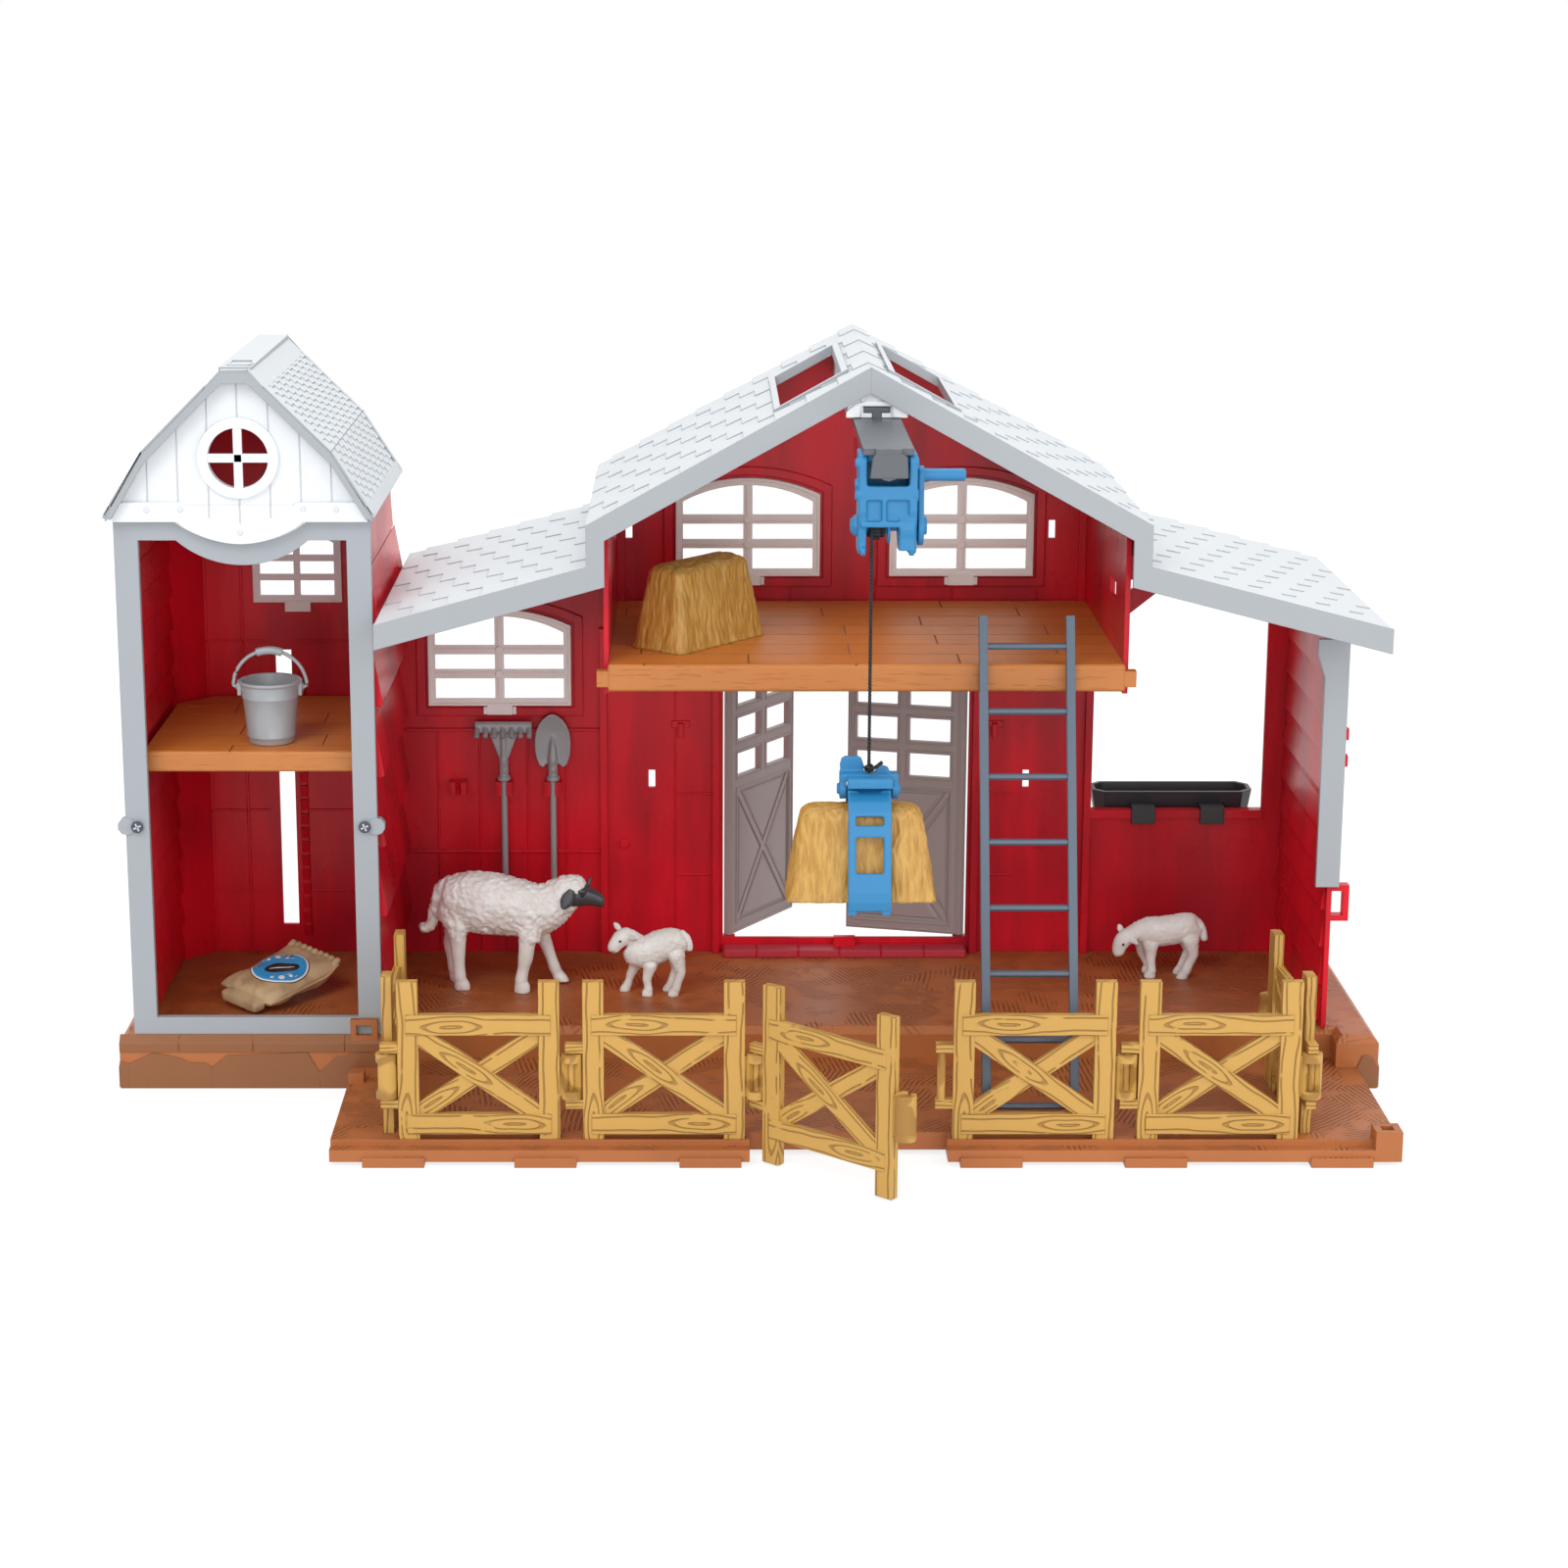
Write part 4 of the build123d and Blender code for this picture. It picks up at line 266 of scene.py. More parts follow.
def new_material(name):
    """Material with one principled shader; returns it with its net, shader and coordinates."""
    material = bpy.data.materials.new(name)
    material.use_nodes = True
    tree = material.node_tree
    tree.nodes.clear()
    net = Net(tree)
    shader = net.node("ShaderNodeBsdfPrincipled")
    net.node("ShaderNodeOutputMaterial", {"Surface": shader.outputs[0]})
    place = net.node("ShaderNodeTexCoord").outputs["Object"]
    return material, net, shader, place


def clothe(net, shader, place, body, rough, cloud, pebble, relief=None, depth=0.0):
    """Lays the moulded skin over a body colour, with an optional relief of the given depth."""
    skin = use_group(net, SKIN, Vector=place, Color=body, Roughness=rough, Cloud=cloud, Pebble=pebble)
    net.feed(shader.inputs["Base Color"], skin["Color"])
    net.feed(shader.inputs["Roughness"], skin["Roughness"])
    normal = skin["Normal"]
    if relief is not None:
        normal = net.bump(relief, depth, normal)
    net.feed(shader.inputs["Normal"], normal)


def plastic(name, tint, rough, cloud=0.1, pebble=0.00003, coat=0.0):
    """Plain moulded plastic."""
    material, net, shader, place = new_material(name)
    clothe(net, shader, place, tint, rough, cloud, pebble)
    shader.inputs["Coat Weight"].default_value = coat
    return material


# ---------------------------------------------------------------- finishes
def red_walls():
    """Clear red moulding: glossy, with faint flow marks, its colour blended in random patches between a deep
    red and a lighter red of painted backlight.
    """
    material, net, shader, place = new_material("red_plastic")
    # painted backlight: the lighter of these two reds stands for light shining through the clear plastic; faint
    # flow marks and random patches blend between them
    deep = colour(172, 20, 38)
    painted_backlight_red = colour(226, 22, 42)
    flow = net.noise(net.stretch(place, (40.0, 40.0, 6.0)), 1.0, 4.0, 0.6)
    patch = net.noise(place, 11.0, 2.0)
    blend = net.plus(net.times(flow, 0.5), net.times(patch, 0.5))
    body = net.mix(net.ramp(blend, 0.36, 0.64), deep, painted_backlight_red)
    swell = net.noise(net.stretch(place, (30.0, 30.0, 12.0)), 1.0, 3.0)
    clothe(net, shader, place, body, 0.3, 0.1, 0.00002, swell, 0.0006)
    shader.inputs["Specular IOR Level"].default_value = 0.25
    return material


def plank_floor(name, tint, dark):
    """Moulded floor boards along X with engraved seams and short scratches of grain; upward faces get a painted
    highlight in a brighter orange.
    """
    material, net, shader, place = new_material(name)
    run, across, z = net.axes(place)
    rows = use_group(net, ROWS, Across=across, Along=run, Pitch=0.0238, Length=0.105, Seam=0.0006, Scatter=0.15)
    geometry = net.node("ShaderNodeNewGeometry")
    flat = net.ramp(net.axes(geometry.outputs["Normal"])[2], 0.6, 0.85)
    seam = net.times(net.minus(1.0, rows["Seam"]), flat)
    grain_place = net.vector(run, across, z)
    scratch = net.noise(net.stretch(grain_place, (70.0, 900.0, 900.0)), 1.0, 3.0)
    lines = net.ramp(scratch, 0.60, 0.70)
    board = net.plus(net.times(net.minus(rows["Tone"], 0.5), flat), 0.5)
    tone = net.plus(net.times(board, 0.4), net.times(net.noise(place, 14.0), 0.6))
    body = net.mix(net.ramp(tone, 0.2, 0.8), dark, tint)
    # painted highlight: upward faces are drawn half way to a brighter orange
    body = net.mix(net.times(flat, 0.5), body, colour(236, 140, 56))
    body = net.mix(net.times(lines, 0.18), body, dark)
    body = net.mix(net.times(seam, 0.7), body, colour(120, 62, 24))
    height = net.minus(net.minus(1.0, seam), net.times(lines, 0.25))
    clothe(net, shader, place, body, 0.42, 0.14, 0.00003, height, 0.0007)
    return material


def earth_base():
    """Brown base: bunches of engraved straw strokes on its flat tops, with painted shade darkening the strokes.
    """
    material, net, shader, place = new_material("base_brown")
    geometry = net.node("ShaderNodeNewGeometry")
    flat = net.ramp(net.axes(geometry.outputs["Normal"])[2], 0.6, 0.8)
    cells = net.node("ShaderNodeTexVoronoi", {"Scale": 26.0}, feature="F1")
    net.feed(cells.inputs["Vector"], place)
    turn = net.times(net.axes(cells.outputs["Color"])[0], pi)
    x, y, _ = net.axes(place)
    turned = net.plus(net.times(x, net.math("COSINE", turn)), net.times(y, net.math("SINE", turn)))
    wobble = net.times(net.noise(place, 60.0), 5.0)
    strokes = net.math("SINE", net.plus(net.times(turned, 2400.0), wobble))
    marks = net.times(net.ramp(strokes, 0.3, 0.95), net.ramp(net.noise(place, 55.0), 0.42, 0.56))
    height = net.minus(1.0, net.times(marks, flat))
    body = net.mix(net.noise(place, 9.0, 4.0), colour(154, 88, 44), colour(190, 114, 60))
    # painted shade: the engraved strokes darken towards deep brown with their depth
    stroke_shaded = net.mix(net.times(net.minus(1.0, height), 0.55), body, colour(112, 60, 28))
    clothe(net, shader, place, stroke_shaded, 0.45, 0.12, 0.00005, height, 0.0009)
    return material


def carved_wood(name, tint, dark):
    """Tan moulding with deep engraved grain along each board, whose own axes are kept in a UV layer."""
    material, net, shader, place = new_material(name)
    along = net.node("ShaderNodeUVMap", uv_map="board").outputs[0]
    grain = use_group(net, GRAIN, Vector=along, Place=place)
    body = net.mix(net.times(grain["Line"], 0.8), tint, dark)
    clothe(net, shader, place, body, 0.46, 0.1, 0.00003, grain["Height"], 0.0006)
    return material


def cord_weave():
    """Black twisted cord, with painted shade in the grooves of its twist."""
    material, net, shader, place = new_material("cord_black")
    x, y, z = net.axes(place)
    turn = net.node("ShaderNodeMath", operation="ARCTAN2")
    net.feed(turn.inputs[0], net.minus(y, GRAB_Y * MM))
    net.feed(turn.inputs[1], net.minus(x, GRAB_X * MM))
    lay = net.math("SINE", net.plus(net.times(z, 3600.0), net.times(turn.outputs[0], 2.0)))
    # painted shade: the colour follows the twist's relief, darker in its grooves
    tint = net.mix(net.ramp(lay, -0.6, 0.8), colour(14, 14, 16), colour(44, 44, 48))
    net.feed(shader.inputs["Base Color"], tint)
    net.feed(shader.inputs["Normal"], net.bump(lay, 0.0002))
    shader.inputs["Roughness"].default_value = 0.7
    return material


def straw(name):
    """Gold straw: long wavy strands that run down the sides, darker in the hollows between strands, partly the
    straw's own tone and partly painted shade.
    """
    material, net, shader, place = new_material(name)
    strands = net.noise(net.stretch(place, (520.0, 520.0, 50.0)), 1.0, 3.0, 0.55)
    # partly painted shade: the colour follows the strand relief, darker in its hollows, over the straw's own
    # tone from strand to strand
    body = net.mix(net.ramp(strands, 0.3, 0.66), colour(170, 123, 48), colour(196, 152, 76))
    clothe(net, shader, place, body, 0.42, 0.14, 0.00003, strands, 0.0006)
    return material


def sawn_gable():
    """White front board with thin engraved joints between upright planks."""
    material, net, shader, place = new_material("gable_white")
    x, _, z = net.axes(place)
    rows = use_group(net, ROWS, Across=net.minus(x, SILO_X * MM), Along=z, Pitch=0.01527, Length=5.0,
                     Seam=0.0006, Scatter=0.0)
    body = net.mix(net.times(net.minus(1.0, rows["Seam"]), 0.35), colour(226, 230, 234), colour(170, 174, 180))
    clothe(net, shader, place, body, 0.4, 0.03, 0.00002, rows["Seam"], 0.0004)
    return material


def roof_skin():
    """Pale grey roof with painted light: whiter on the upward faces, and a cooler grey of painted shade on the
    upright fascia.
    """
    material, net, shader, place = new_material("roof_white")
    geometry = net.node("ShaderNodeNewGeometry")
    # painted light: upward faces take the whiter grey and upright faces the cooler grey of painted shade
    top = net.ramp(net.axes(geometry.outputs["Normal"])[2], 0.15, 0.6)
    body = net.mix(top, colour(160, 165, 170), colour(209, 214, 218))
    clothe(net, shader, place, body, 0.42, 0.04, 0.00003)
    return material


def fleece(name):
    """White moulded fleece with small curls."""
    material, net, shader, place = new_material(name)
    curl = net.noise(place, 420.0, 2.0)
    body = net.mix(net.ramp(net.noise(place, 90.0), 0.35, 0.7), colour(236, 236, 234), colour(224, 222, 216))
    clothe(net, shader, place, body, 0.5, 0.05, 0.00003, curl, 0.0003)
    return material


FINISH = {
    "red_plastic": red_walls(),
    "roof_white": roof_skin(),
    "silo_grey": plastic("silo_grey", colour(160, 166, 172), 0.42, 0.05),
    "gable_white": sawn_gable(),
    "base_brown": earth_base(),
    "loft_orange": plank_floor("loft_orange", colour(196, 124, 60), colour(172, 102, 44)),
    "fence_tan": plastic("fence_tan", colour(194, 150, 76), 0.46),
    "taupe": plastic("taupe", colour(166, 156, 155), 0.42, 0.06),
    "window_pale": plastic("window_pale", colour(244, 240, 238), 0.4, 0.04),
    "ladder_slate": plastic("ladder_slate", colour(84, 98, 114), 0.42, 0.08),
    "beam_grey": plastic("beam_grey", colour(84, 88, 94), 0.34, 0.12),
    "winch_blue": plastic("winch_blue", colour(34, 122, 174), 0.42, 0.08),
    "cord_black": cord_weave(),
    "bale_gold": straw("bale_gold"),
    "trough_black": plastic("trough_black", colour(46, 48, 52), 0.42, 0.12),
    "tool_grey": plastic("tool_grey", colour(156, 160, 164), 0.32, 0.1, 0.00003, 0.2),
    "sack_tan": plastic("sack_tan", colour(158, 134, 100), 0.6, 0.14),
    "sheep_white": fleece("sheep_white"),
    "screw_steel": plastic("screw_steel", colour(120, 122, 126), 0.3, 0.1),
}

for part in frame["record"]["subparts"]:
    shown = nodes[part["node"]]
    shown.data.materials.clear()
    shown.data.materials.append(FINISH[part["material_slot"]])


# ---------------------------------------------------------------- mesh tools, sizes in millimetres
class Shape:
    """Gathers simple solids into one mesh, in millimetres; a solid may carry its own board axes."""

    def __init__(self):
        self.mesh = bmesh.new()
        self.layer = self.mesh.loops.layers.uv.new("board")

    def loft(self, rings, board=None, caps=True):
        """Closed solid through rings of equally many points; board is (origin, along, across) of its grain."""
        rows = [[self.mesh.verts.new(Vector(p)) for p in ring] for ring in rings]
        faces = []
        count = len(rows[0])
        for low, high in zip(rows, rows[1:]):
            for k in range(count):
                m = (k + 1) % count
                faces.append(self.mesh.faces.new((low[k], low[m], high[m], high[k])))
        if caps:
            faces.append(self.mesh.faces.new(rows[0][::-1]))
            faces.append(self.mesh.faces.new(rows[-1]))
        if board:
            origin, along, across = (Vector(v) for v in board)
            for face in faces:
                for loop in face.loops:
                    arm = loop.vert.co - origin
                    depth = (arm - along * arm.dot(along) - across * arm.dot(across)).length
                    loop[self.layer].uv = (arm.dot(along) * MM, (arm.dot(across) + depth) * MM)
        return rows

    def box(self, x0, x1, y0, y1, z0, z1, board=None):
        """Block between two corners."""
        self.loft([[(x0, y0, z), (x1, y0, z), (x1, y1, z), (x0, y1, z)] for z in (z0, z1)], board)

    def plank(self, start, end, width, y0, y1, knot):
        """Board in the X-Z plane from start to end; knot is how far along it its knot sits."""
        ax, az = start
        along = Vector((end[0] - ax, 0, end[1] - az))
        length = along.length
        along.normalize()
        across = Vector((-along.z, 0, along.x))
        half = width / 2
        base = Vector((ax, y0, az))
        rings = []
        for t in (0, length):
            centre = base + along * t
            back = Vector((0, y1 - y0, 0))
            rings.append([centre - across * half, centre - across * half + back, centre + across * half + back,
                          centre + across * half])
        self.loft(rings, (base + along * knot, along, across))

    def tube(self, a, b, radius, sides=20, hollow=0.0):
        """Round bar or tube from a to b."""
        a, b = Vector(a), Vector(b)
        turn = (b - a).to_track_quat("Z", "Y").to_matrix()
        wheel = [turn @ Vector((cos(2 * pi * k / sides), sin(2 * pi * k / sides), 0)) for k in range(sides)]
        if hollow:
            corners = ((a, hollow), (a, radius), (b, radius), (b, hollow), (a, hollow))
            self.loft([[end + w * reach for w in wheel] for end, reach in corners], caps=False)
        else:
            self.loft([[a + w * radius for w in wheel], [b + w * radius for w in wheel]])

    def move(self, matrix):
        """Turns and shifts everything gathered so far."""
        bmesh.ops.transform(self.mesh, matrix=matrix, verts=self.mesh.verts)
        return self

    def finish(self, name, material, body, bevel=0.0, smooth=35.0, segments=2):
        """Makes the object: cleaned, in metres, with its edges rounded, riding on its body."""
        bmesh.ops.remove_doubles(self.mesh, verts=self.mesh.verts, dist=0.0005)
        bmesh.ops.recalc_face_normals(self.mesh, faces=self.mesh.faces)
        self.move(Matrix.Scale(MM, 4))
        data = bpy.data.meshes.new(name)
        self.mesh.to_mesh(data)
        self.mesh.free()
        data.materials.append(material)
        for face in data.polygons:
            face.use_smooth = True
        data.set_sharp_from_angle(angle=radians(smooth))
        made = bpy.data.objects.new(name, data)
        bpy.context.scene.collection.objects.link(made)
        if bevel:
            edge = made.modifiers.new("edges", "BEVEL")
            edge.width = bevel * MM
            edge.segments = segments
            edge.limit_method = "ANGLE"
            edge.angle_limit = radians(40)
            edge.harden_normals = True
        if body:
            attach(made, body)
        return made


# ---------------------------------------------------------------- fence
PANEL_W = 78.2
HALF_GAP = 5.6
PITCH = PANEL_W + 2 * HALF_GAP
POST_W = 10.1
POST_HALF = 2.5
POST_Z = (1.0, 91.0)
RAIL_Z = (13.7, 64.0)
RAIL_H = 11.0
BARREL_Z = (32.0, 54.5)
BARREL_R = 5.2
PIN_R = 2.0
ARM_H = 4.5
ARM_PLAY = 0.6           # height left between an arm and the barrel
BARREL_PLAY = 0.35       # room round the pin
BARREL_END = 4.0         # closed rings above and below the barrel's slit
FENCE_Y = -128.5
FENCE_START = -171.3 - HALF_GAP
GATE_OPEN = 40.0
SIDE_TOE = 3.0
CARVED = carved_wood("fence_carved", colour(198, 154, 76), colour(150, 106, 42))


def arc_outline(centre, outer, inner, start, end, steps=22):
    """Plan of a bent strip between two radii, from start to end in degrees."""
    turns = [radians(start + (end - start) * k / steps) for k in range(steps + 1)]
    points = [(centre[0] + outer * cos(t), centre[1] + outer * sin(t)) for t in turns]
    return points + [(centre[0] + inner * cos(t), centre[1] + inner * sin(t)) for t in reversed(turns)]


def fence_shape(open_back):
    """One panel: two posts, two rails, a cross, hinge arms with their pin, and the barrel for the next pin."""
    shape = Shape()
    x0, x1 = HALF_GAP, HALF_GAP + PANEL_W
    front, back = -POST_HALF, POST_HALF
    for k, x in enumerate((x0 + POST_W / 2, x1 - POST_W / 2)):
        shape.plank((x, POST_Z[0]), (x, POST_Z[1]), POST_W, front, back, 19.0 if k == 0 else -90.0)
    inset = POST_W * 0.42
    low, high = (z + RAIL_H / 2 for z in RAIL_Z)
    for z, knot in ((high, 22.0), (low, 52.0)):
        shape.plank((x0 + inset, z), (x1 - inset, z), RAIL_H - 0.8, front - 0.55, back - 1.6, knot)
    left, right = x0 + POST_W * 0.55, x1 - POST_W * 0.55
    shape.plank((left, low + 2), (right, high - 2), 9.0, front + 1.2, back - 0.9, 14.0)
    shape.plank((left, high - 2), (right, low + 1), 9.4, front + 0.1, back - 1.8, 34.0)
    for z in (BARREL_Z[0] - ARM_PLAY - ARM_H, BARREL_Z[1] + ARM_PLAY):
        shape.box(-2.9, x0 + 2, -2.4, 2.4, z, z + ARM_H, ((0, 0, z - 9), (1, 0, 0), (0, 0, 1)))
    shape.tube((0, 0, BARREL_Z[0] - 1), (0, 0, BARREL_Z[1] + 1), PIN_R)
    z0, z1 = BARREL_Z
    low_ring, high_ring = z0 + BARREL_END, z1 - BARREL_END
    bore = PIN_R + BARREL_PLAY
    for a, b, sweep_of in ((z0, low_ring, None), (high_ring, z1, None), (low_ring, high_ring, (-48.0, 228.0))):
        if open_back:
            sweep_of = (112.0, 428.0)
        if sweep_of:
            plan = arc_outline((PITCH, 0), BARREL_R, bore, *sweep_of)
            shape.loft([[(x, y, z) for x, y in plan] for z in (a, b)])
        else:
            shape.tube((PITCH, 0, a), (PITCH, 0, b), BARREL_R, 32, bore)
    shape.box(x1 - 1.5, PITCH - PIN_R - 1.6, -1.9, 1.9, z0 + 1, z1 - 1, ((PITCH, 9, 0), (0, 0, 1), (1, 0, 0)))
    return shape


def place_panel(name, node, body, x, y, turn, open_back=False):
    """Stands one panel with its pin at x, y, turned by the given degrees."""
    shape = fence_shape(open_back)
    shape.move(Matrix.Translation((x, y, 0)) @ Matrix.Rotation(radians(turn), 4, "Z"))
    piece = shape.finish(name, CARVED, body, 0.55)
    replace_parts(piece, node)


def make_fences():
    """Four fixed panels, the gate between them and the two side panels."""
    for index, node in ((0, "fence_panel_1"), (1, "fence_panel_2"), (3, "fence_panel_3"), (4, "fence_panel_4")):
        place_panel("carved_" + node, node, "barn", FENCE_START + index * PITCH, FENCE_Y, 0)
    place_panel("carved_gate", "gate", "gate", FENCE_START + 2 * PITCH, FENCE_Y, -GATE_OPEN, True)
    place_panel("carved_side_left", "fence_side_left", "barn", FENCE_START, FENCE_Y + PITCH, -90)
    place_panel("carved_side_right", "fence_side_right", "barn", FENCE_START + 5 * PITCH, FENCE_Y,
                90 + SIDE_TOE)


make_fences()


# ---------------------------------------------------------------- roof tiles
RIDGE = (57.0, 377.4)
MAIN_RUN, MAIN_FALL = 138.0, 77.0
WING_Z = 280.0
WINGS = {-1: (104.4, 29.0), 1: (119.3, 31.0)}
ROOF_Y = (-62.5, 137.5)
COURSE = 17.5
TILE_ROWS = 8
TILE_LOW, TILE_RISE = -0.62, 1.25      # heights above and below the plain slope
TILE_GAP = 0.12
TILE_DEPTH = 1.6
VERGE = 3.2                            # plain border in front of the first tiles
SKYLIGHT_RUN = (10.0, 46.0)
SKYLIGHT_Y = (-33.5, 87.5)


def outward(start, end):
    """Upward normal of a slope between two (x, z) points."""
    down = Vector((end[0] - start[0], 0, end[1] - start[1])).normalized()
    normal = Vector((-down.z, 0, down.x))
    return -normal if normal.z < 0 else normal


def tile_spans(t0, t1, y0, y1, hole):
    """What is left of one tile where it meets the skylight's frame, as (from, to, y from, y to)."""
    spans = [(t0, t1, y0 + TILE_GAP, y1 - TILE_GAP)]
    if hole:
        a, b = hole[0]
        ya, yb = hole[1]
        if t0 < b and t1 > a and y0 < yb and y1 > ya:
            spans = []
            if y0 < ya:
                spans.append((t0, t1, y0 + TILE_GAP, ya))
            if y1 > yb:
                spans.append((t0, t1, yb, y1 - TILE_GAP))
            inner0, inner1 = max(y0 + TILE_GAP, ya), min(y1 - TILE_GAP, yb)
            if t0 < a:
                spans.append((t0, a, inner0, inner1))
            if t1 > b:
                spans.append((b, t1, inner0, inner1))
    return spans


def add_tile(shape, start, end, normal, head, step, span):
    """One wedge over a span; it rises from its head down the slope."""
    u0, u1, ya, yb = span
    if u1 - u0 < 0.08 * step or yb - ya < 0.6:
        return
    rings = []
    for u in (u0, u1):
        lift = TILE_LOW + TILE_RISE * (u - head) / step
        x = start[0] + (end[0] - start[0]) * u
        z = start[1] + (end[1] - start[1]) * u
        top = Vector((x, 0, z)) + normal * lift
        low = Vector((x, 0, z)) - normal * TILE_DEPTH
        rings.append([(low.x, ya, low.z), (low.x, yb, low.z), (top.x, yb, top.z), (top.x, ya, top.z)])
    shape.loft(rings)


def tile_slope(shape, start, end, hole):
    """Wedge tiles in half-bond from start to end, in (x, z); hole is (share of the run, y span) left free."""
    run = hypot(end[0] - start[0], end[1] - start[1])
    count = max(2, round(run / COURSE))
    step = 1.0 / count
    width = (ROOF_Y[1] - ROOF_Y[0] - VERGE - 0.2) / TILE_ROWS
    normal = outward(start, end)
    for row in range(TILE_ROWS):
        y0 = ROOF_Y[0] + VERGE + row * width
        y1 = y0 + width
        shift = -0.5 * step * (row % 2)
        for k in range(count + 1):
            t0 = max(0.0, k * step + shift)
            t1 = min(1.0, (k + 1) * step + shift)
            if t1 - t0 < 0.05 * step:
                continue
            for span in tile_spans(t0, t1, y0, y1, hole):
                add_tile(shape, start, end, normal, k * step + shift, step, span)


def make_roof_tiles():
    """Tiles on the main slope and the lower wing of each roof half."""
    for side, node in ((-1, "roof_left"), (1, "roof_right")):
        shape = Shape()
        eave = (RIDGE[0] + side * MAIN_RUN, RIDGE[1] - MAIN_FALL)
        skylight = ((SKYLIGHT_RUN[0] / MAIN_RUN, SKYLIGHT_RUN[1] / MAIN_RUN), SKYLIGHT_Y)
        tile_slope(shape, RIDGE, eave, skylight)
        reach, fall = WINGS[side]
        riser = (eave[0], WING_Z)
        tile_slope(shape, riser, (riser[0] + side * (reach - 1.0), WING_Z - fall + 0.3), None)
        piece = shape.finish(node + "_tiles", FINISH["roof_white"], "barn", 0.3, 30.0, 1)


make_roof_tiles()


# ---------------------------------------------------------------- animals
def smooth_path(points, steps):
    """Catmull-Rom points through the given rows of numbers."""
    rows = [points[0], *points, points[-1]]
    made = []
    for k in range(1, len(rows) - 2):
        a, b, c, d = rows[k - 1], rows[k], rows[k + 1], rows[k + 2]
        for s in range(steps):
            t = s / steps
            row = []
            for p, q, r, w in zip(a, b, c, d):
                row.append(0.5 * (2 * q + (r - p) * t + (2 * p - 5 * q + 4 * r - w) * t * t
                                  + (3 * q - p - 3 * r + w) * t ** 3))
            made.append(row)
    made.append(list(points[-1]))
    return made


def add_flesh(shape, rows, sides=18, steps=4):
    """Closed form along x, y, z rows; each row also gives its half width (along Y) and half height."""
    path = smooth_path(rows, steps)
    rings = []
    for k, (x, y, z, wide, tall) in enumerate(path):
        ahead = path[min(k + 1, len(path) - 1)]
        behind = path[max(k - 1, 0)]
        run = Vector((ahead[0] - behind[0], ahead[1] - behind[1], ahead[2] - behind[2])).normalized()
        side = Vector((0, 1, 0)) - run * run.y
        if side.length < 0.3:
            side = Vector((1, 0, 0)) - run * run.x
        side.normalize()
        rise = run.cross(side)
        centre = Vector((x, y, z))
        rings.append([centre + side * wide * cos(2 * pi * j / sides) + rise * tall * sin(2 * pi * j / sides)
                      for j in range(sides)])
    shape.loft(rings)


def add_limb(shape, rows):
    """Round form along x, y, z rows, each with its radius; its ends are domed."""
    full = [(x, y, z, r, r) for x, y, z, r in rows]
    for end, inner in ((0, 1), (-1, -2)):
        x, y, z, r, _ = full[end]
        away = Vector((x, y, z)) - Vector(full[inner][:3])
        tip = Vector((x, y, z)) + away.normalized() * r * 0.45
        cap = (*tip, r * 0.62, r * 0.62)
        full = [cap, *full] if end == 0 else [*full, cap]
    add_flesh(shape, full, 14, 3)


def melt(shape, voxel, rounds):
    """Joins the overlapping forms of a shape into one skin; returns its points and faces."""
    bmesh.ops.recalc_face_normals(shape.mesh, faces=shape.mesh.faces)
    data = bpy.data.meshes.new("melt")
    shape.mesh.to_mesh(data)
    shape.mesh.free()
    rough = bpy.data.objects.new("melt", data)
    bpy.context.scene.collection.objects.link(rough)
    skin = rough.modifiers.new("skin", "REMESH")
    skin.mode = "VOXEL"
    skin.voxel_size = voxel
    soft = rough.modifiers.new("soft", "SMOOTH")
    soft.factor = 0.5
    soft.iterations = rounds
    seen = rough.evaluated_get(bpy.context.evaluated_depsgraph_get())
    made = bpy.data.meshes.new_from_object(seen)
    bpy.data.objects.remove(rough)
    bpy.data.meshes.remove(data)
    return made


def show_skin(name, data, material, body):
    """Smooth object from melted points and faces in metres, riding on its body."""
    data.materials.clear()
    data.materials.append(material)
    for face in data.polygons:
        face.use_smooth = True
    made = bpy.data.objects.new(name, data)
    bpy.context.scene.collection.objects.link(made)
    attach(made, body)
    return made


def carve_fleece(data, depth, pitch, wool):
    """Raises curls of the given depth and pitch along the normals, as far as wool allows at each point."""
    normals = [vert.normal.copy() for vert in data.vertices]
    for vert, normal in zip(data.vertices, normals):
        amount = wool(vert.co)
        if amount > 0:
            point = vert.co / pitch
            swirl = noise.noise(point * 0.6) * 1.6
            curls = noise.noise(Vector((point.x + swirl, point.y, point.z * 0.75 - swirl)))
            fine = noise.noise(point * 2.3)
            vert.co += normal * depth * amount * (curls * 1.2 + fine * 0.4)


def place_creature(name, data, material, spot, curl=None):
    """Carves the fleece where curl is given, then stands the figure in its place."""
    if curl:
        carve_fleece(data, *curl)
    place, turn = spot
    data.transform(Matrix.Translation(Vector(place) * MM) @ Matrix.Rotation(radians(turn), 4, "Z")
                   @ Matrix.Scale(MM, 4))
    return show_skin(name, data, material, "barn")


def wool_above(height, fade, bare=None):
    """Share of fleece at a point: none below height, full after fade above it, none where bare says so."""

    def share(p):
        if p.z < height or (bare and bare(p)):
            return 0.0
        return min(1.0, (p.z - height) / fade)

    return share


FLEECE = fleece("fleece")
EWE_SPOT = ((-128, 54, FLOOR_Z), -6)
LAMB_SPOT = ((-53, 43, FLOOR_Z), 180)
GRAZING_SPOT = ((226, 74, FLOOR_Z), 176)
EWE_FACE = plastic("ewe_face", colour(62, 64, 70), 0.34, 0.2, 0.00006, 0.2)
EYE = plastic("eye", colour(12, 12, 14), 0.2, 0.05)


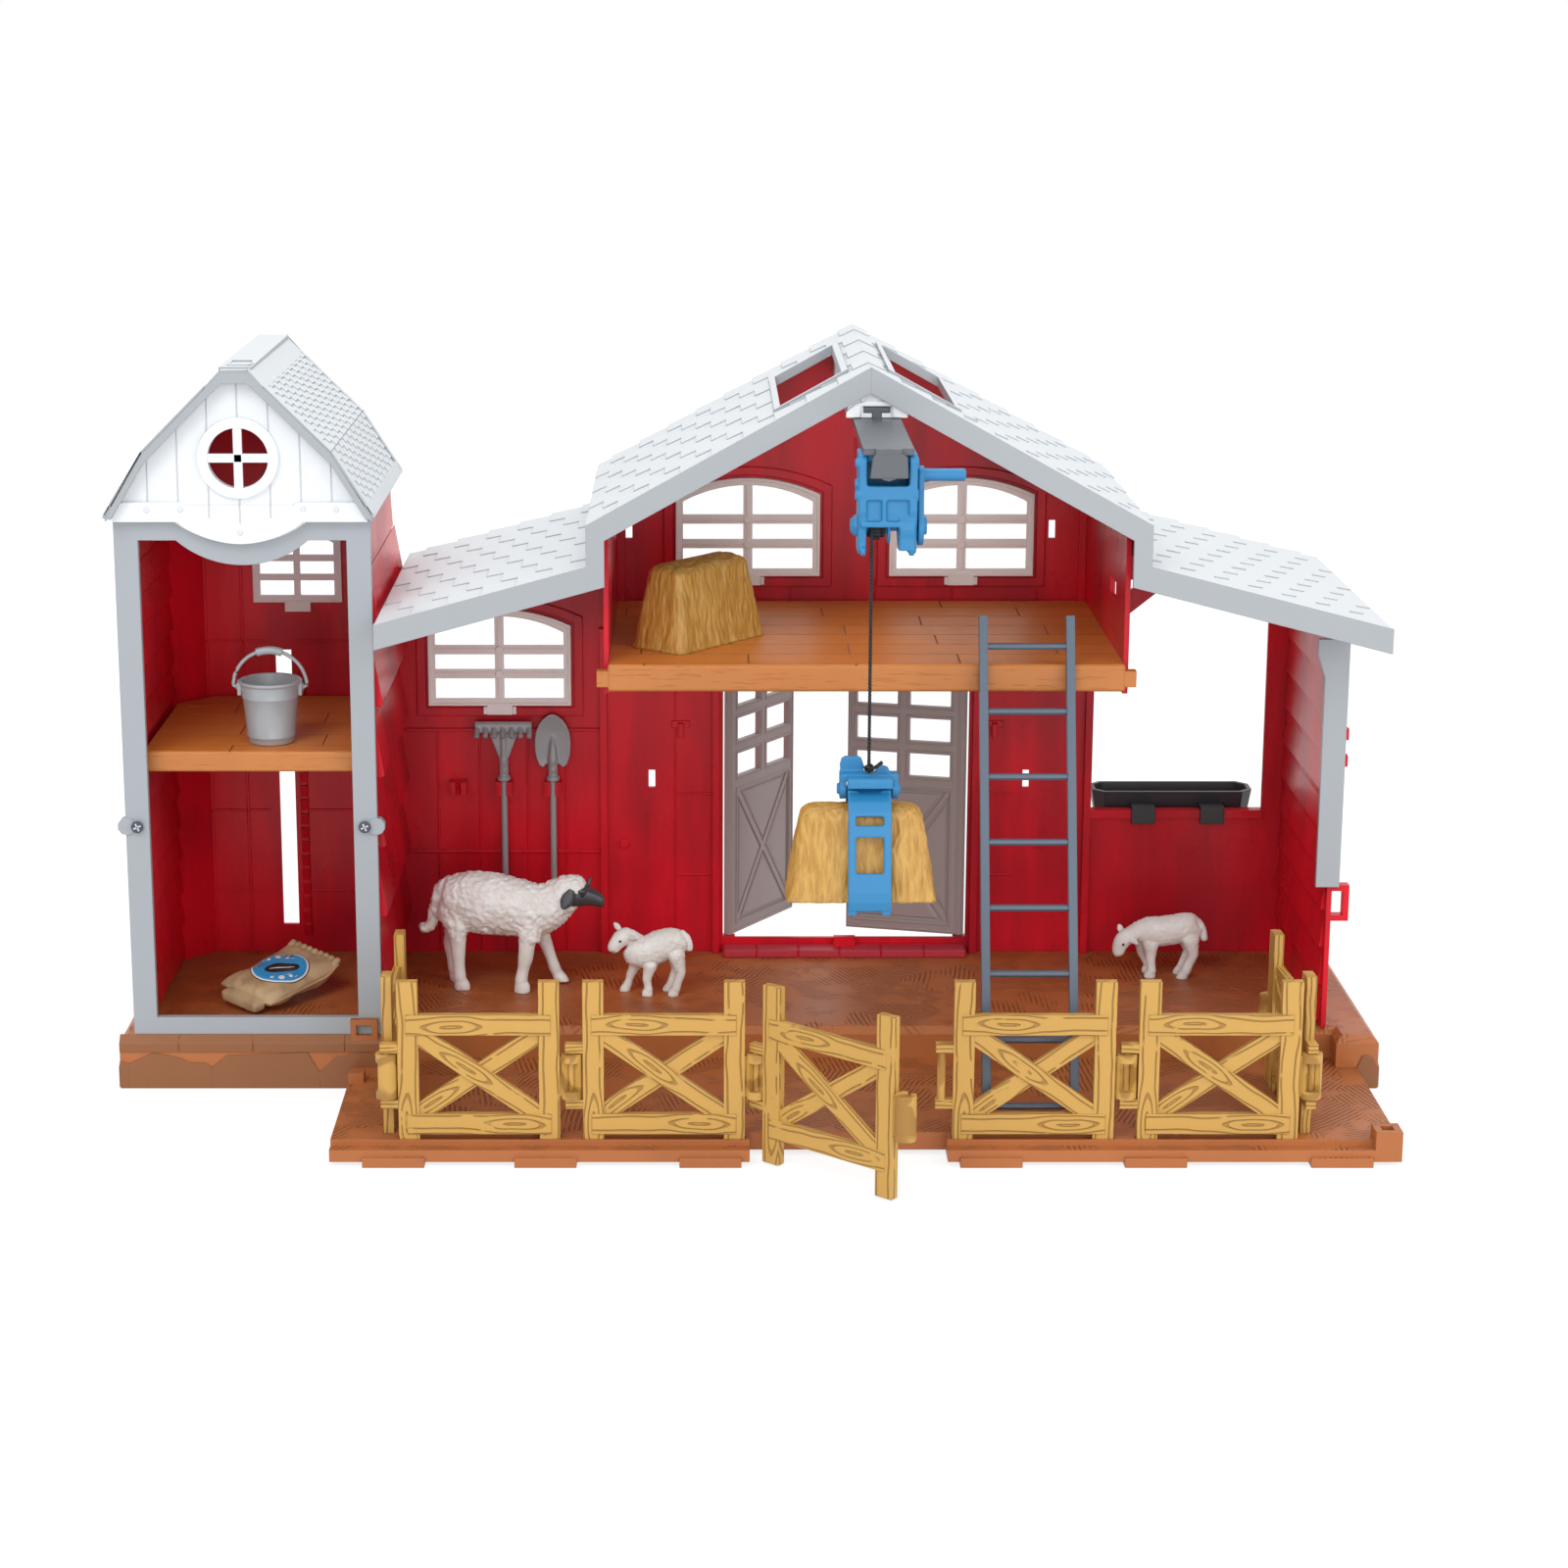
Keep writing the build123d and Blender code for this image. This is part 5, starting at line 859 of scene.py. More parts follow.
def hoofed_leg(shape, top, knee, fetlock, foot, radii):
    """Leg through four points with a flat-soled hoof."""
    thigh, joint, shank, hoof = radii
    add_limb(shape, [(*top, thigh), (*((a * 0.45 + b * 0.55) for a, b in zip(top, knee)),
                                     thigh * 0.55 + joint * 0.35),
                     (*knee, joint), (*((a + b) / 2 for a, b in zip(knee, fetlock)), shank),
                     (*fetlock, shank * 1.08)])
    fx, fy, fz = foot
    rings = []
    for lift, grow, forward in ((0.0, 1.0, 0.35), (hoof * 0.9, 0.96, 0.3), (hoof * 1.5, 0.8, 0.1),
                                (hoof * 2.1, 0.62, 0.0)):
        t = min(1.0, lift / max(0.1, fetlock[2] - fz))
        cx = fx + (fetlock[0] - fx) * t + forward * hoof
        cy = fy + (fetlock[1] - fy) * t
        rings.append([(cx + hoof * grow * 1.15 * cos(2 * pi * j / 14),
                       cy + hoof * grow * 0.92 * sin(2 * pi * j / 14), fz + lift) for j in range(14)])
    shape.loft(rings)


def add_ear(shape, root, tip, wide, thick):
    """Leaf-shaped ear from root to tip."""
    a, b = Vector(root), Vector(tip)
    rows = []
    for t, grow in ((0.0, 0.45), (0.3, 0.9), (0.6, 1.0), (0.85, 0.66), (1.0, 0.25)):
        p = a + (b - a) * t
        rows.append((*p, thick, wide * grow))
    add_flesh(shape, rows, 12, 3)


def make_ewe():
    """Ewe with carved fleece, a dark bare face and moulded eyes."""
    shape = Shape()
    add_flesh(shape, [(-37, 0, 50, 4, 4), (-35.4, 0, 49.4, 8.4, 9.5), (-31, 0, 49.2, 11.4, 13.0),
                      (-23, 0, 48, 12.8, 16.2), (-11, 0, 46.8, 13.6, 17.0), (1, 0, 45.4, 13.6, 16.0),
                      (11, 0, 44.2, 12.8, 14.8), (19, 0, 45.4, 11.2, 13.8), (25.5, 0, 49.4, 9.2, 11.4),
                      (31, 0, 53.4, 8.2, 9.9), (36, 0, 55.2, 7.6, 8.9), (39.6, 0, 55.4, 6.2, 7.2),
                      (41.4, 0, 55.4, 3.4, 4.2)], 22)
    add_flesh(shape, [(-30, -2, 44, 9, 11), (-28, -5.5, 38, 6.5, 8), (-27.5, -7, 30, 4.2, 5)], 16)
    add_flesh(shape, [(-30, 2, 44, 9, 11), (-30, 5.5, 38, 6.5, 8), (-30.5, 7, 30, 4.2, 5)], 16)
    add_flesh(shape, [(12, -2, 44, 8, 10), (12.5, -6.0, 36, 6, 7), (12.5, -8, 28, 4.4, 5)], 16)
    hoofed_leg(shape, (-27.6, -6, 36), (-27.0, -7, 20), (-26.4, -7, 6.5), (-26.4, -7, 0), (6.0, 3.9, 3.3, 3.9))
    hoofed_leg(shape, (-30.6, 6, 36), (-34.0, 7.5, 21), (-32.0, 7.5, 6.5), (-31.6, 7.5, 0),
               (6.0, 3.7, 3.2, 3.8))
    hoofed_leg(shape, (11.6, -7, 36), (9.8, -8, 19), (7.2, -8.4, 6.5), (6.4, -8.6, 0), (5.6, 4.1, 3.2, 3.9))
    hoofed_leg(shape, (14.0, 6, 36), (18.8, 7.6, 22), (23.4, 8.4, 8.0), (25.6, 8.6, 1.4), (5.4, 3.6, 3.0, 3.7))
    add_limb(shape, [(-33, 0, 58, 3.2), (-37.5, -0.4, 53.5, 3.6), (-40.2, -0.8, 45, 3.2),
                     (-41.4, -1.2, 37, 2.8), (-44.2, -1.6, 33, 2.8), (-47.4, -2.0, 32.4, 3.0)])
    wool = place_creature("ewe_fleece", melt(shape, 0.75, 5), FLEECE, EWE_SPOT, (0.9, 2.3, wool_above(24, 8)))
    face = Shape()
    add_flesh(face, [(28.6, 0, 52.4, 6.0, 2.6), (30.4, 0, 52.6, 8.9, 5.2), (33.2, 0, 52.8, 8.9, 6.1),
                     (36.6, 0, 53.0, 7.9, 6.6), (39.8, 0, 53.0, 6.7, 6.4), (43, 0, 52.3, 5.2, 5.3),
                     (46.6, 0, 51.2, 4.0, 4.3), (49.4, 0, 49.8, 3.2, 3.5), (51.0, 0, 49.1, 2.4, 2.7),
                     (51.6, 0, 49.0, 1.2, 1.4)])
    for side in (-1, 1):
        add_limb(face, [(38.4, side * 5.4, 56.6, 1.6), (41.6, side * 5.0, 56.2, 1.5)])
        add_ear(face, (35.4, side * 7.6, 57.8), (30.6, side * 10.2, 47.8), 3.6, 1.5)
        add_limb(face, [(50.2, side * 1.6, 50.4, 0.7), (50.9, side * 1.2, 50.0, 0.6)])
    add_limb(face, [(42.0, 4.6, 57.2, 1.2), (43.4, 6.4, 60.8, 0.8)])
    dark = place_creature("ewe_face", melt(face, 0.42, 3), EWE_FACE, EWE_SPOT)
    eyes = Shape()
    for side in (-1, 1):
        add_limb(eyes, [(40.2, side * 6.2, 54.7, 1.15), (40.9, side * 6.1, 54.7, 1.15)])
    sight = place_creature("ewe_eyes", melt(eyes, 0.2, 2), EYE, EWE_SPOT)
    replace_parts(wool, "ewe")
    for piece in (dark, sight):
        piece.parent = wool


def make_lamb_standing():
    """Lamb that stands with its head turned."""
    shape = Shape()
    add_flesh(shape, [(-20.4, 0, 31, 2.2, 2.4), (-19.4, 0, 30.4, 4.4, 5.0), (-16.5, 0, 29.4, 5.9, 6.9),
                      (-11.5, 0, 28.3, 6.7, 8.3), (-5.5, 0, 26.2, 6.9, 8.8), (0, 0, 23.6, 7.0, 8.6),
                      (5, 0, 23.4, 6.9, 8.8), (9, 0, 25.0, 5.8, 7.4), (11.4, 0, 26.4, 3.4, 4.2)])
    add_limb(shape, [(3.5, 0, 25, 6.0), (7.5, 0.2, 29.5, 5.0), (11.5, 0.6, 32.5, 4.4)])
    hoofed_leg(shape, (-1.0, 3.6, 17), (0.8, 4.4, 9.5), (0.0, 4.6, 3.4), (-0.2, 4.6, 0), (3.8, 2.5, 2.1, 2.6))
    hoofed_leg(shape, (6.0, -3.4, 17), (9.6, -4.2, 9.5), (11.4, -4.4, 3.4), (12.0, -4.4, 0),
               (3.8, 2.5, 2.1, 2.6))
    hoofed_leg(shape, (-15.0, 3.6, 23), (-17.4, 4.4, 13.0), (-14.6, 4.4, 3.6), (-14.0, 4.4, 0),
               (4.6, 2.6, 2.2, 2.6))
    hoofed_leg(shape, (-13.0, -3.6, 23), (-14.6, -4.4, 13.0), (-11.8, -4.4, 3.6), (-11.0, -4.4, 0),
               (4.6, 2.6, 2.2, 2.6))
    add_limb(shape, [(-17.5, 0, 34.2, 1.8), (-20.6, 0.4, 31.4, 1.9), (-22.0, 0.8, 27.6, 1.8),
                     (-22.0, 1.0, 24.8, 1.6)])
    add_flesh(shape, [(9.6, 0.6, 32.4, 3.0, 3.2), (11.4, 0.8, 32.6, 4.5, 4.5), (14.4, 1.6, 31.4, 4.7, 4.7),
                      (17.0, 2.6, 28.8, 3.8, 4.0), (19.2, 3.6, 25.8, 2.9, 3.1), (20.0, 4.2, 24.6, 1.4, 1.6)])
    add_ear(shape, (11.6, 4.6, 32.4), (4.6, 8.4, 33.4), 1.9, 0.7)
    add_ear(shape, (14.8, -2.6, 34.2), (18.6, -6.6, 37.6), 1.8, 0.7)
    wool = wool_above(15, 4, lambda p: p.x > 8.5 and p.z > 26)
    made = place_creature("lamb_standing_body", melt(shape, 0.42, 4), FLEECE, LAMB_SPOT, (0.3, 1.5, wool))
    eyes = Shape()
    add_limb(eyes, [(14.6, 6.0, 31.0, 0.62), (15.5, 6.2, 30.9, 0.62)])
    add_limb(eyes, [(16.6, -2.2, 31.0, 0.6), (17.3, -1.8, 30.8, 0.6)])
    sight = place_creature("lamb_standing_eyes", melt(eyes, 0.14, 2), EYE, LAMB_SPOT)
    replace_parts(made, "lamb_standing")
    sight.parent = made


def make_lamb_grazing():
    """Lamb with its head down."""
    shape = Shape()
    add_flesh(shape, [(-21.0, 0, 29, 2.4, 2.6), (-19.6, 0, 28.0, 4.6, 5.8), (-15.0, 0, 28.0, 6.4, 8.0),
                      (-8.0, 0, 26.6, 7.0, 8.3), (0, 0, 25.2, 7.2, 8.3), (5.0, 0, 25.0, 7.1, 8.4),
                      (9.5, 0, 25.2, 6.0, 7.2), (12.4, 0, 25.4, 3.6, 4.4)])
    add_limb(shape, [(5.5, 0, 27.5, 6.0), (11.5, 0.2, 25.4, 5.2), (17.0, 0.6, 22.6, 4.5)])
    add_flesh(shape, [(15.4, 0.6, 23.4, 3.0, 3.2), (17.4, 0.8, 22.6, 4.5, 4.6), (20.4, 1.2, 20.0, 4.4, 4.6),
                      (22.2, 1.4, 16.2, 3.6, 3.9), (22.6, 1.5, 12.6, 2.9, 3.1), (22.4, 1.5, 11.0, 1.4, 1.6)])
    hoofed_leg(shape, (5.4, 3.6, 19), (5.2, 4.4, 10.5), (4.6, 4.6, 3.6), (4.6, 4.6, 0), (4.2, 2.6, 2.4, 2.8))
    hoofed_leg(shape, (10.4, -3.6, 19), (9.6, -4.6, 11.5), (6.0, -4.6, 4.6), (5.4, -4.6, 0),
               (4.0, 2.5, 2.1, 2.6))
    hoofed_leg(shape, (-16.0, 3.6, 22), (-17.6, 4.4, 13.5), (-13.8, 4.4, 3.8), (-12.8, 4.4, 0),
               (4.8, 2.9, 2.5, 2.8))
    hoofed_leg(shape, (-14.0, -3.6, 22), (-15.6, -4.4, 13.5), (-12.2, -4.4, 3.8), (-11.4, -4.4, 0),
               (4.8, 2.9, 2.4, 2.7))
    add_limb(shape, [(-17.5, 0, 33.0, 1.9), (-21.2, 0.3, 30.0, 2.0), (-23.0, 0.6, 25.4, 2.0),
                     (-23.6, 0.8, 21.4, 1.9)])
    add_ear(shape, (17.2, 4.4, 22.0), (12.6, 8.2, 20.4), 1.9, 0.7)
    add_ear(shape, (20.6, -2.6, 22.8), (22.6, -5.2, 27.2), 1.9, 0.7)
    wool = wool_above(15, 4, lambda p: p.x > 15.0)
    made = place_creature("lamb_grazing_body", melt(shape, 0.42, 4), FLEECE, GRAZING_SPOT, (0.3, 1.5, wool))
    eyes = Shape()
    add_limb(eyes, [(20.2, 5.2, 19.2, 0.62), (20.6, 5.3, 18.4, 0.62)])
    add_limb(eyes, [(21.6, -2.8, 19.4, 0.6), (21.9, -2.7, 18.7, 0.6)])
    sight = place_creature("lamb_grazing_eyes", melt(eyes, 0.14, 2), EYE, GRAZING_SPOT)
    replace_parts(made, "lamb_grazing")
    sight.parent = made


make_ewe()
make_lamb_standing()
make_lamb_grazing()


# ---------------------------------------------------------------- straw bales
BALE_LONG, BALE_WIDE, BALE_TALL = 70.0, 35.0, 43.0
BALE_LEAN = tan(radians(8.9))
BALE_EDGE = 6.0          # round edge under the top
BALE_SKIN = 1.8          # room for the strands on two faces
BALE_CORNER = 4.5


def strand_height(across, along, seed):
    """Ridges of one face of the bale: wavy strands that run with along."""
    drift = noise.noise(Vector((across / 9.0, along / 12.0, seed))) * 3.0
    ridge = 1.0 - 2.0 * abs(noise.noise(Vector(((across + drift) / 2.3, along / 19.0, seed + 3.0))))
    fine = noise.noise(Vector(((across + drift) / 1.1, along / 9.0, seed + 9.0)))
    clump = noise.noise(Vector(((across + drift) / 7.5, along / 34.0, seed + 5.0)))
    return 0.75 * ridge + 0.4 * fine + 1.5 * clump


def rounded_ring(length, width, corner, z, count=236):
    """Points evenly round a rectangle with round corners."""
    points = []
    hx, hy = length / 2 - corner, width / 2 - corner
    spans = [(2 * hy, (hx + corner, -hy), (0, 1)), (2 * hx, (hx, hy + corner), (-1, 0)),
             (2 * hy, (-hx - corner, hy), (0, -1)), (2 * hx, (-hx, -hy - corner), (1, 0))]
    middles = [(hx, hy), (-hx, hy), (-hx, -hy), (hx, -hy)]
    arc = pi * corner / 2
    total = sum(s[0] for s in spans) + 4 * arc
    for k in range(count):
        s = total * k / count
        for j, (span, start, way) in enumerate(spans):
            if s < span:
                points.append((start[0] + way[0] * s, start[1] + way[1] * s, z))
                break
            s -= span
            if s < arc:
                turn = pi / 2 * j + s / corner
                points.append((middles[j][0] + corner * cos(turn), middles[j][1] + corner * sin(turn), z))
                break
            s -= arc
    return points


def bale_rings():
    """Rings of the bale: leaning sides that flare at the foot, the round edge and the crowned top."""
    rings = [rounded_ring(BALE_LONG - 10, BALE_WIDE - 8, 3.0, 0.3)]
    rows = 44
    shoulder = BALE_TALL - BALE_EDGE
    length, width = BALE_LONG - BALE_SKIN, BALE_WIDE - BALE_SKIN
    for k in range(rows + 1):
        z = shoulder * k / rows
        grow = 1.2 * max(0.0, 1 - z / 5.0) ** 2 - 2 * z * BALE_LEAN
        rings.append(rounded_ring(length + grow, width + grow, BALE_CORNER, z))
    lean = 2 * shoulder * BALE_LEAN
    for k in range(1, 9):
        turn_in = pi / 2 * k / 8
        z = shoulder + (BALE_EDGE - 0.8) * sin(turn_in)
        shrink = lean + 2 * BALE_EDGE * (1 - cos(turn_in))
        rings.append(rounded_ring(length - shrink, width - shrink, BALE_CORNER, z))
    top_long, top_wide = (side - lean - 2 * BALE_EDGE for side in (length, width))
    for k in range(1, 8):
        t = k / 8
        rings.append(rounded_ring(top_long * (1 - t) + 6 * t, top_wide * (1 - t) + 0.6 * t,
                                  BALE_CORNER * (1 - t) + 0.2 * t, BALE_TALL - 0.8 + 0.8 * sin(t * 1.5)))
    return rings


def make_bale(name, node, body, place, turn, seed):
    """Bale whose faces are raised into strands of straw, ragged at the foot."""
    shape = Shape()
    shape.loft(bale_rings())
    shape.mesh.normal_update()
    bmesh.ops.recalc_face_normals(shape.mesh, faces=shape.mesh.faces)
    shape.mesh.normal_update()
    moved = []
    for vert in shape.mesh.verts:
        x, y, z = vert.co
        side = min(1.0, max(0.0, (abs(vert.normal.y) - 0.35) / 0.3))
        over = min(1.0, max(0.0, (abs(vert.normal.z) - 0.5) / 0.3))
        ends = strand_height(y * 1.1, z - abs(x), seed + 20)
        face = strand_height(x, z + y * 0.3, seed)
        height = ends * (1 - side) + face * side
        ragged = 0.9 * abs(noise.noise(Vector((x / 2.0, y / 2.0, seed)))) if 0.5 < z <= 1.0 else 0.0
        moved.append(vert.co + vert.normal * (height * (0.75 - 0.15 * over)) + Vector((0, 0, ragged)))
    for vert, spot in zip(shape.mesh.verts, moved):
        vert.co = spot
        vert.co.z = max(vert.co.z, 0.05)
    shape.move(Matrix.Translation(place) @ Matrix.Rotation(radians(turn), 4, "Z"))
    made = shape.finish(name, STRAW, body, smooth=180)
    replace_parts(made, node)


STRAW = straw("straw")
make_bale("straw_bale_lifted", "bale_lifted", "grab", (49.5, -155.0, 143.0), 0, 1.0)
make_bale("straw_bale_on_loft", "bale_on_loft", "barn", (-26.0, 9.0, 229.0), 50, 7.0)


def sweep(shape, points, radius, sides=10, closed=False):
    """Round strand through the given points."""
    rings = []
    count = len(points)
    for k, p in enumerate(points):
        p = Vector(p)
        if closed:
            run = Vector(points[(k + 1) % count]) - Vector(points[k - 1])
        else:
            run = Vector(points[min(k + 1, count - 1)]) - Vector(points[max(k - 1, 0)])
        run.normalize()
        side = run.cross(Vector((0.31, 0.17, 0.93)))
        if side.length < 0.2:
            side = run.cross(Vector((1, 0, 0)))
        side.normalize()
        rise = run.cross(side)
        rings.append([p + side * radius * cos(2 * pi * j / sides) + rise * radius * sin(2 * pi * j / sides)
                      for j in range(sides)])
    if closed:
        shape.loft([*rings, rings[0]], caps=False)
    else:
        shape.loft(rings)


# ---------------------------------------------------------------- feed sack
SACK_LONG, SACK_WIDE, SACK_TALL = 50.0, 39.0, 12.6
LABEL_BLUE = plastic("label_blue", colour(44, 158, 222), 0.45, 0.05)
LABEL_WHITE = plastic("label_white", colour(238, 240, 240), 0.45, 0.04)
LABEL_BLACK = plastic("label_black", colour(26, 26, 30), 0.45, 0.1)


def sack_cloth():
    """Tan moulded sacking: fine weave, soiled in random blotches."""
    material, net, shader, place = new_material("sackcloth")
    turned = net.node("ShaderNodeMapping", {"Vector": place, "Rotation": (0.0, 0.0, radians(-50))}).outputs[0]
    x, y, _ = net.axes(turned)
    warp = net.math("SINE", net.times(x, 6200.0))
    weft = net.math("SINE", net.times(y, 6200.0))
    weave = net.times(warp, weft)
    soil = net.noise(place, 60.0, 4.0)
    body = net.mix(net.ramp(soil, 0.3, 0.6), colour(168, 142, 102), colour(202, 178, 138))
    specks = net.ramp(net.noise(place, 900.0, 2.0), 0.70, 0.76)
    body = net.mix(net.times(specks, 0.5), body, colour(96, 72, 44))
    clothe(net, shader, place, body, 0.5, 0.08, 0.00003, weave, 0.00006)
    return material


def sack_height(x, y):
    """Half thickness of the stuffed sack at a point of its plan."""
    u = min(1.0, abs(x) / (SACK_LONG / 2))
    v = min(1.0, abs(y) / (SACK_WIDE / 2))
    crown = (1 - u ** 4) ** 0.5 * (1 - v ** 4) ** 0.5
    fold = noise.noise(Vector((x / 11.0, y / 11.0, 4.2))) * 1.5
    pucker = sin(y * 0.75 + 1.2 * noise.noise(Vector((y / 8.0, 0.0, 1.0)))) * 0.55 * u ** 3
    tuck = -1.6 * max(0.0, 1 - hypot(x + 6.0, abs(y) - 18.0) / 8.0)
    return max(0.3, SACK_TALL / 2 * crown + (fold + pucker + tuck) * crown ** 0.5)


def sack_bend(x):
    """The far end curls up a little."""
    return SACK_TALL * 0.42 + 4.5 * max(0.0, (x - 8.0) / 17.0) ** 2


def sack_waist(x):
    """Share of the full width: the long sides pull in a little between the corners."""
    return 1 - 0.05 * cos(pi * x / SACK_LONG) ** 2


def sack_top(x, y):
    """Height of the sack's upper side."""
    return sack_bend(x) + sack_height(x, y)


SACK_SPOT = (Matrix.Translation((-250.0, 38.0, 33.2)) @ Matrix.Rotation(radians(9), 4, "X")
             @ Matrix.Rotation(radians(50), 4, "Z"))


def label_patch(name, outline, lift, material, parent):
    """Thin print that follows the sack's top."""
    print_shape = Shape()
    middle = (sum(p[0] for p in outline) / len(outline), sum(p[1] for p in outline) / len(outline))
    rows = []
    for t in (1.0, 0.97, 0.8, 0.6, 0.4, 0.2, 0.02):
        ring = []
        for x, y in outline:
            px = middle[0] + (x - middle[0]) * t
            py = middle[1] + (y - middle[1]) * t
            ring.append((px, py, sack_top(px, py) + (lift if t < 1.0 else -0.3)))
        rows.append(ring)
    print_shape.loft(rows)
    print_shape.move(SACK_SPOT)
    piece = print_shape.finish(name, material, "barn", smooth=60)
    piece.parent = parent


def oval(radius, cx=0.0, cy=0.0, squeeze=1.0, turn=0.0):
    """Outline of a round or oval print."""
    points = []
    for k in range(56):
        t = 2 * pi * k / 56
        x, y = radius * cos(t), radius * squeeze * sin(t)
        points.append((cx + x * cos(turn) - y * sin(turn), cy + x * sin(turn) + y * cos(turn)))
    return points


def add_sack_body(shape):
    """The stuffed body, its two sides meeting at the seam."""
    rings = []
    cells = 72
    for k in range(cells + 1):
        x = -SACK_LONG / 2 * cos(pi * k / cells)
        reach = SACK_WIDE / 2 * sack_waist(x)
        upper, lower = [], []
        for j in range(49):
            y = reach * sin(-pi / 2 + pi * j / 48)
            upper.append((x, y, sack_top(x, y)))
            lower.append((x, y, max(0.1, sack_bend(x) - sack_height(x, y))))
        rings.append(upper + lower[::-1][1:-1])
    shape.loft(rings)


def add_sack_seam(shape):
    """Piping along the seam, the scalloped far end and the folded flap at the near end."""
    seam = []
    power = 0.22
    for k in range(120):
        t = 2 * pi * k / 120
        cx, cy = cos(t), sin(t)
        x = SACK_LONG / 2 * abs(cx) ** power * (1 if cx > 0 else -1)
        y = SACK_WIDE / 2 * abs(cy) ** power * (1 if cy > 0 else -1) * sack_waist(x)
        seam.append((x, y, sack_bend(x)))
    sweep(shape, seam, 0.7, 8, True)
    for k in range(9):
        y = -SACK_WIDE / 2 + 2.4 + (SACK_WIDE - 4.8) * k / 8
        end, z = SACK_LONG / 2, sack_bend(SACK_LONG / 2)
        add_limb(shape, [(end - 1.5, y, z, 1.9), (end + 1.6, y, z + 1.4, 1.9)])
    flap = rounded_ring(7.6, 27.0, 1.6, 0.0, 60)
    lifts = ((0.93, 1.6), (1.0, 2.4), (1.0, 5.6), (0.93, 6.4))
    left = -SACK_LONG / 2 - 3.2
    shape.loft([[(left + x * s, -1.5 + y * s, z + 0.25 * sin(y)) for x, y, _ in flap] for s, z in lifts])


def make_sack():
    """Plump feed sack with a plain printed label."""
    shape = Shape()
    add_sack_body(shape)
    add_sack_seam(shape)
    shape.move(SACK_SPOT)
    made = shape.finish("stuffed_sack", sack_cloth(), "barn", smooth=60)
    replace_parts(made, "feed_sack")
    label_patch("label_edge", oval(16.2), 0.14, LABEL_BLACK, made)
    label_patch("label_rim", oval(15.8), 0.20, LABEL_WHITE, made)
    label_patch("label_field", oval(14.7), 0.26, LABEL_BLUE, made)
    label_patch("label_leaf", oval(9.6, 0.4, -1.2, 0.52, radians(-38)), 0.34, LABEL_BLACK, made)
    label_patch("label_vein", oval(7.0, 0.4, -1.2, 0.06, radians(-38)), 0.42, LABEL_WHITE, made)
    for group, middle in ((2, 52), (0, 232)):
        for k in range(3):
            turn = radians(middle + 26 * (k - 1))
            spot = (11.4 * cos(turn), 11.4 * sin(turn))
            label_patch(f"label_dot_{group}_{k}", oval(1.7 if k == 1 else 1.1, *spot), 0.34, LABEL_WHITE, made)


make_sack()


# ---------------------------------------------------------------- hoist: winch, crank, grab and cord
WINCH_X, AXLE_Y, AXLE_Z = 60.0, -148.55, 316.0
CRANK_REACH = 23.5       # from the axle to the handle
BLUE = FINISH["winch_blue"]
CORD = FINISH["cord_black"]
CORD_ROUTE = [(0.053, -0.155, z) for z in (0.316, 0.279, 0.243, 0.206)]
CORD_LAY = 0.0046        # length of one full twist
CORD_STEPS = 320


def moulded(name, shape, voxel, rounds, material, body, node):
    """Skins a shape with soft edges and puts it in place of a node."""
    data = melt(shape, voxel, rounds)
    data.transform(Matrix.Scale(MM, 4))
    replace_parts(show_skin(name, data, material, body), node)


def ribbon(shape, path, x0, x1, thick):
    """Flat strip of even thickness along (y, z) points, from x0 to x1."""
    rings = []
    for k, (y, z) in enumerate(path):
        ay, az = path[max(k - 1, 0)]
        by, bz = path[min(k + 1, len(path) - 1)]
        run = Vector((by - ay, bz - az)).normalized()
        ny, nz = -run.y * thick / 2, run.x * thick / 2
        rings.append([(x0, y + ny, z + nz), (x1, y + ny, z + nz), (x1, y - ny, z - nz), (x0, y - ny, z - nz)])
    shape.loft(rings)


def part_of(path, first, last):
    """Piece of a (y, z) path between two shares of its length."""
    lengths = [0.0]
    for a, b in zip(path, path[1:]):
        lengths.append(lengths[-1] + hypot(b[0] - a[0], b[1] - a[1]))
    start, end = first * lengths[-1], last * lengths[-1]

    def spot_at(s):
        for k in range(len(path) - 1):
            if s <= lengths[k + 1]:
                t = (s - lengths[k]) / (lengths[k + 1] - lengths[k])
                return tuple(p + (q - p) * t for p, q in zip(path[k], path[k + 1]))
        return path[-1]

    inner = [p for p, s in zip(path, lengths) if start < s < end]
    return [spot_at(start), *inner, spot_at(end)]


def grab_box(shape, x, y, z):
    """Block given from the grab's hinge line."""
    shape.box(GRAB_X + x[0], GRAB_X + x[1], GRAB_Y + y[0], GRAB_Y + y[1], GRAB_Z + z[0], GRAB_Z + z[1])


def grab_bar(shape, x0, x1, lift, radius, sides):
    """Round bar along the grab's hinge line."""
    shape.tube((GRAB_X + x0, GRAB_Y, GRAB_Z + lift), (GRAB_X + x1, GRAB_Y, GRAB_Z + lift), radius, sides)


JAW_LINE = [(3.0, 0.6), (6.6, -1.4), (10.4, -4.4), (12.9, -7.8), (14.0, -11.0), (15.6, -19.0), (17.2, -28.0),
            (18.8, -37.0), (19.9, -44.0), (20.2, -48.6), (19.0, -51.9), (16.4, -53.2), (13.4, -53.2)]


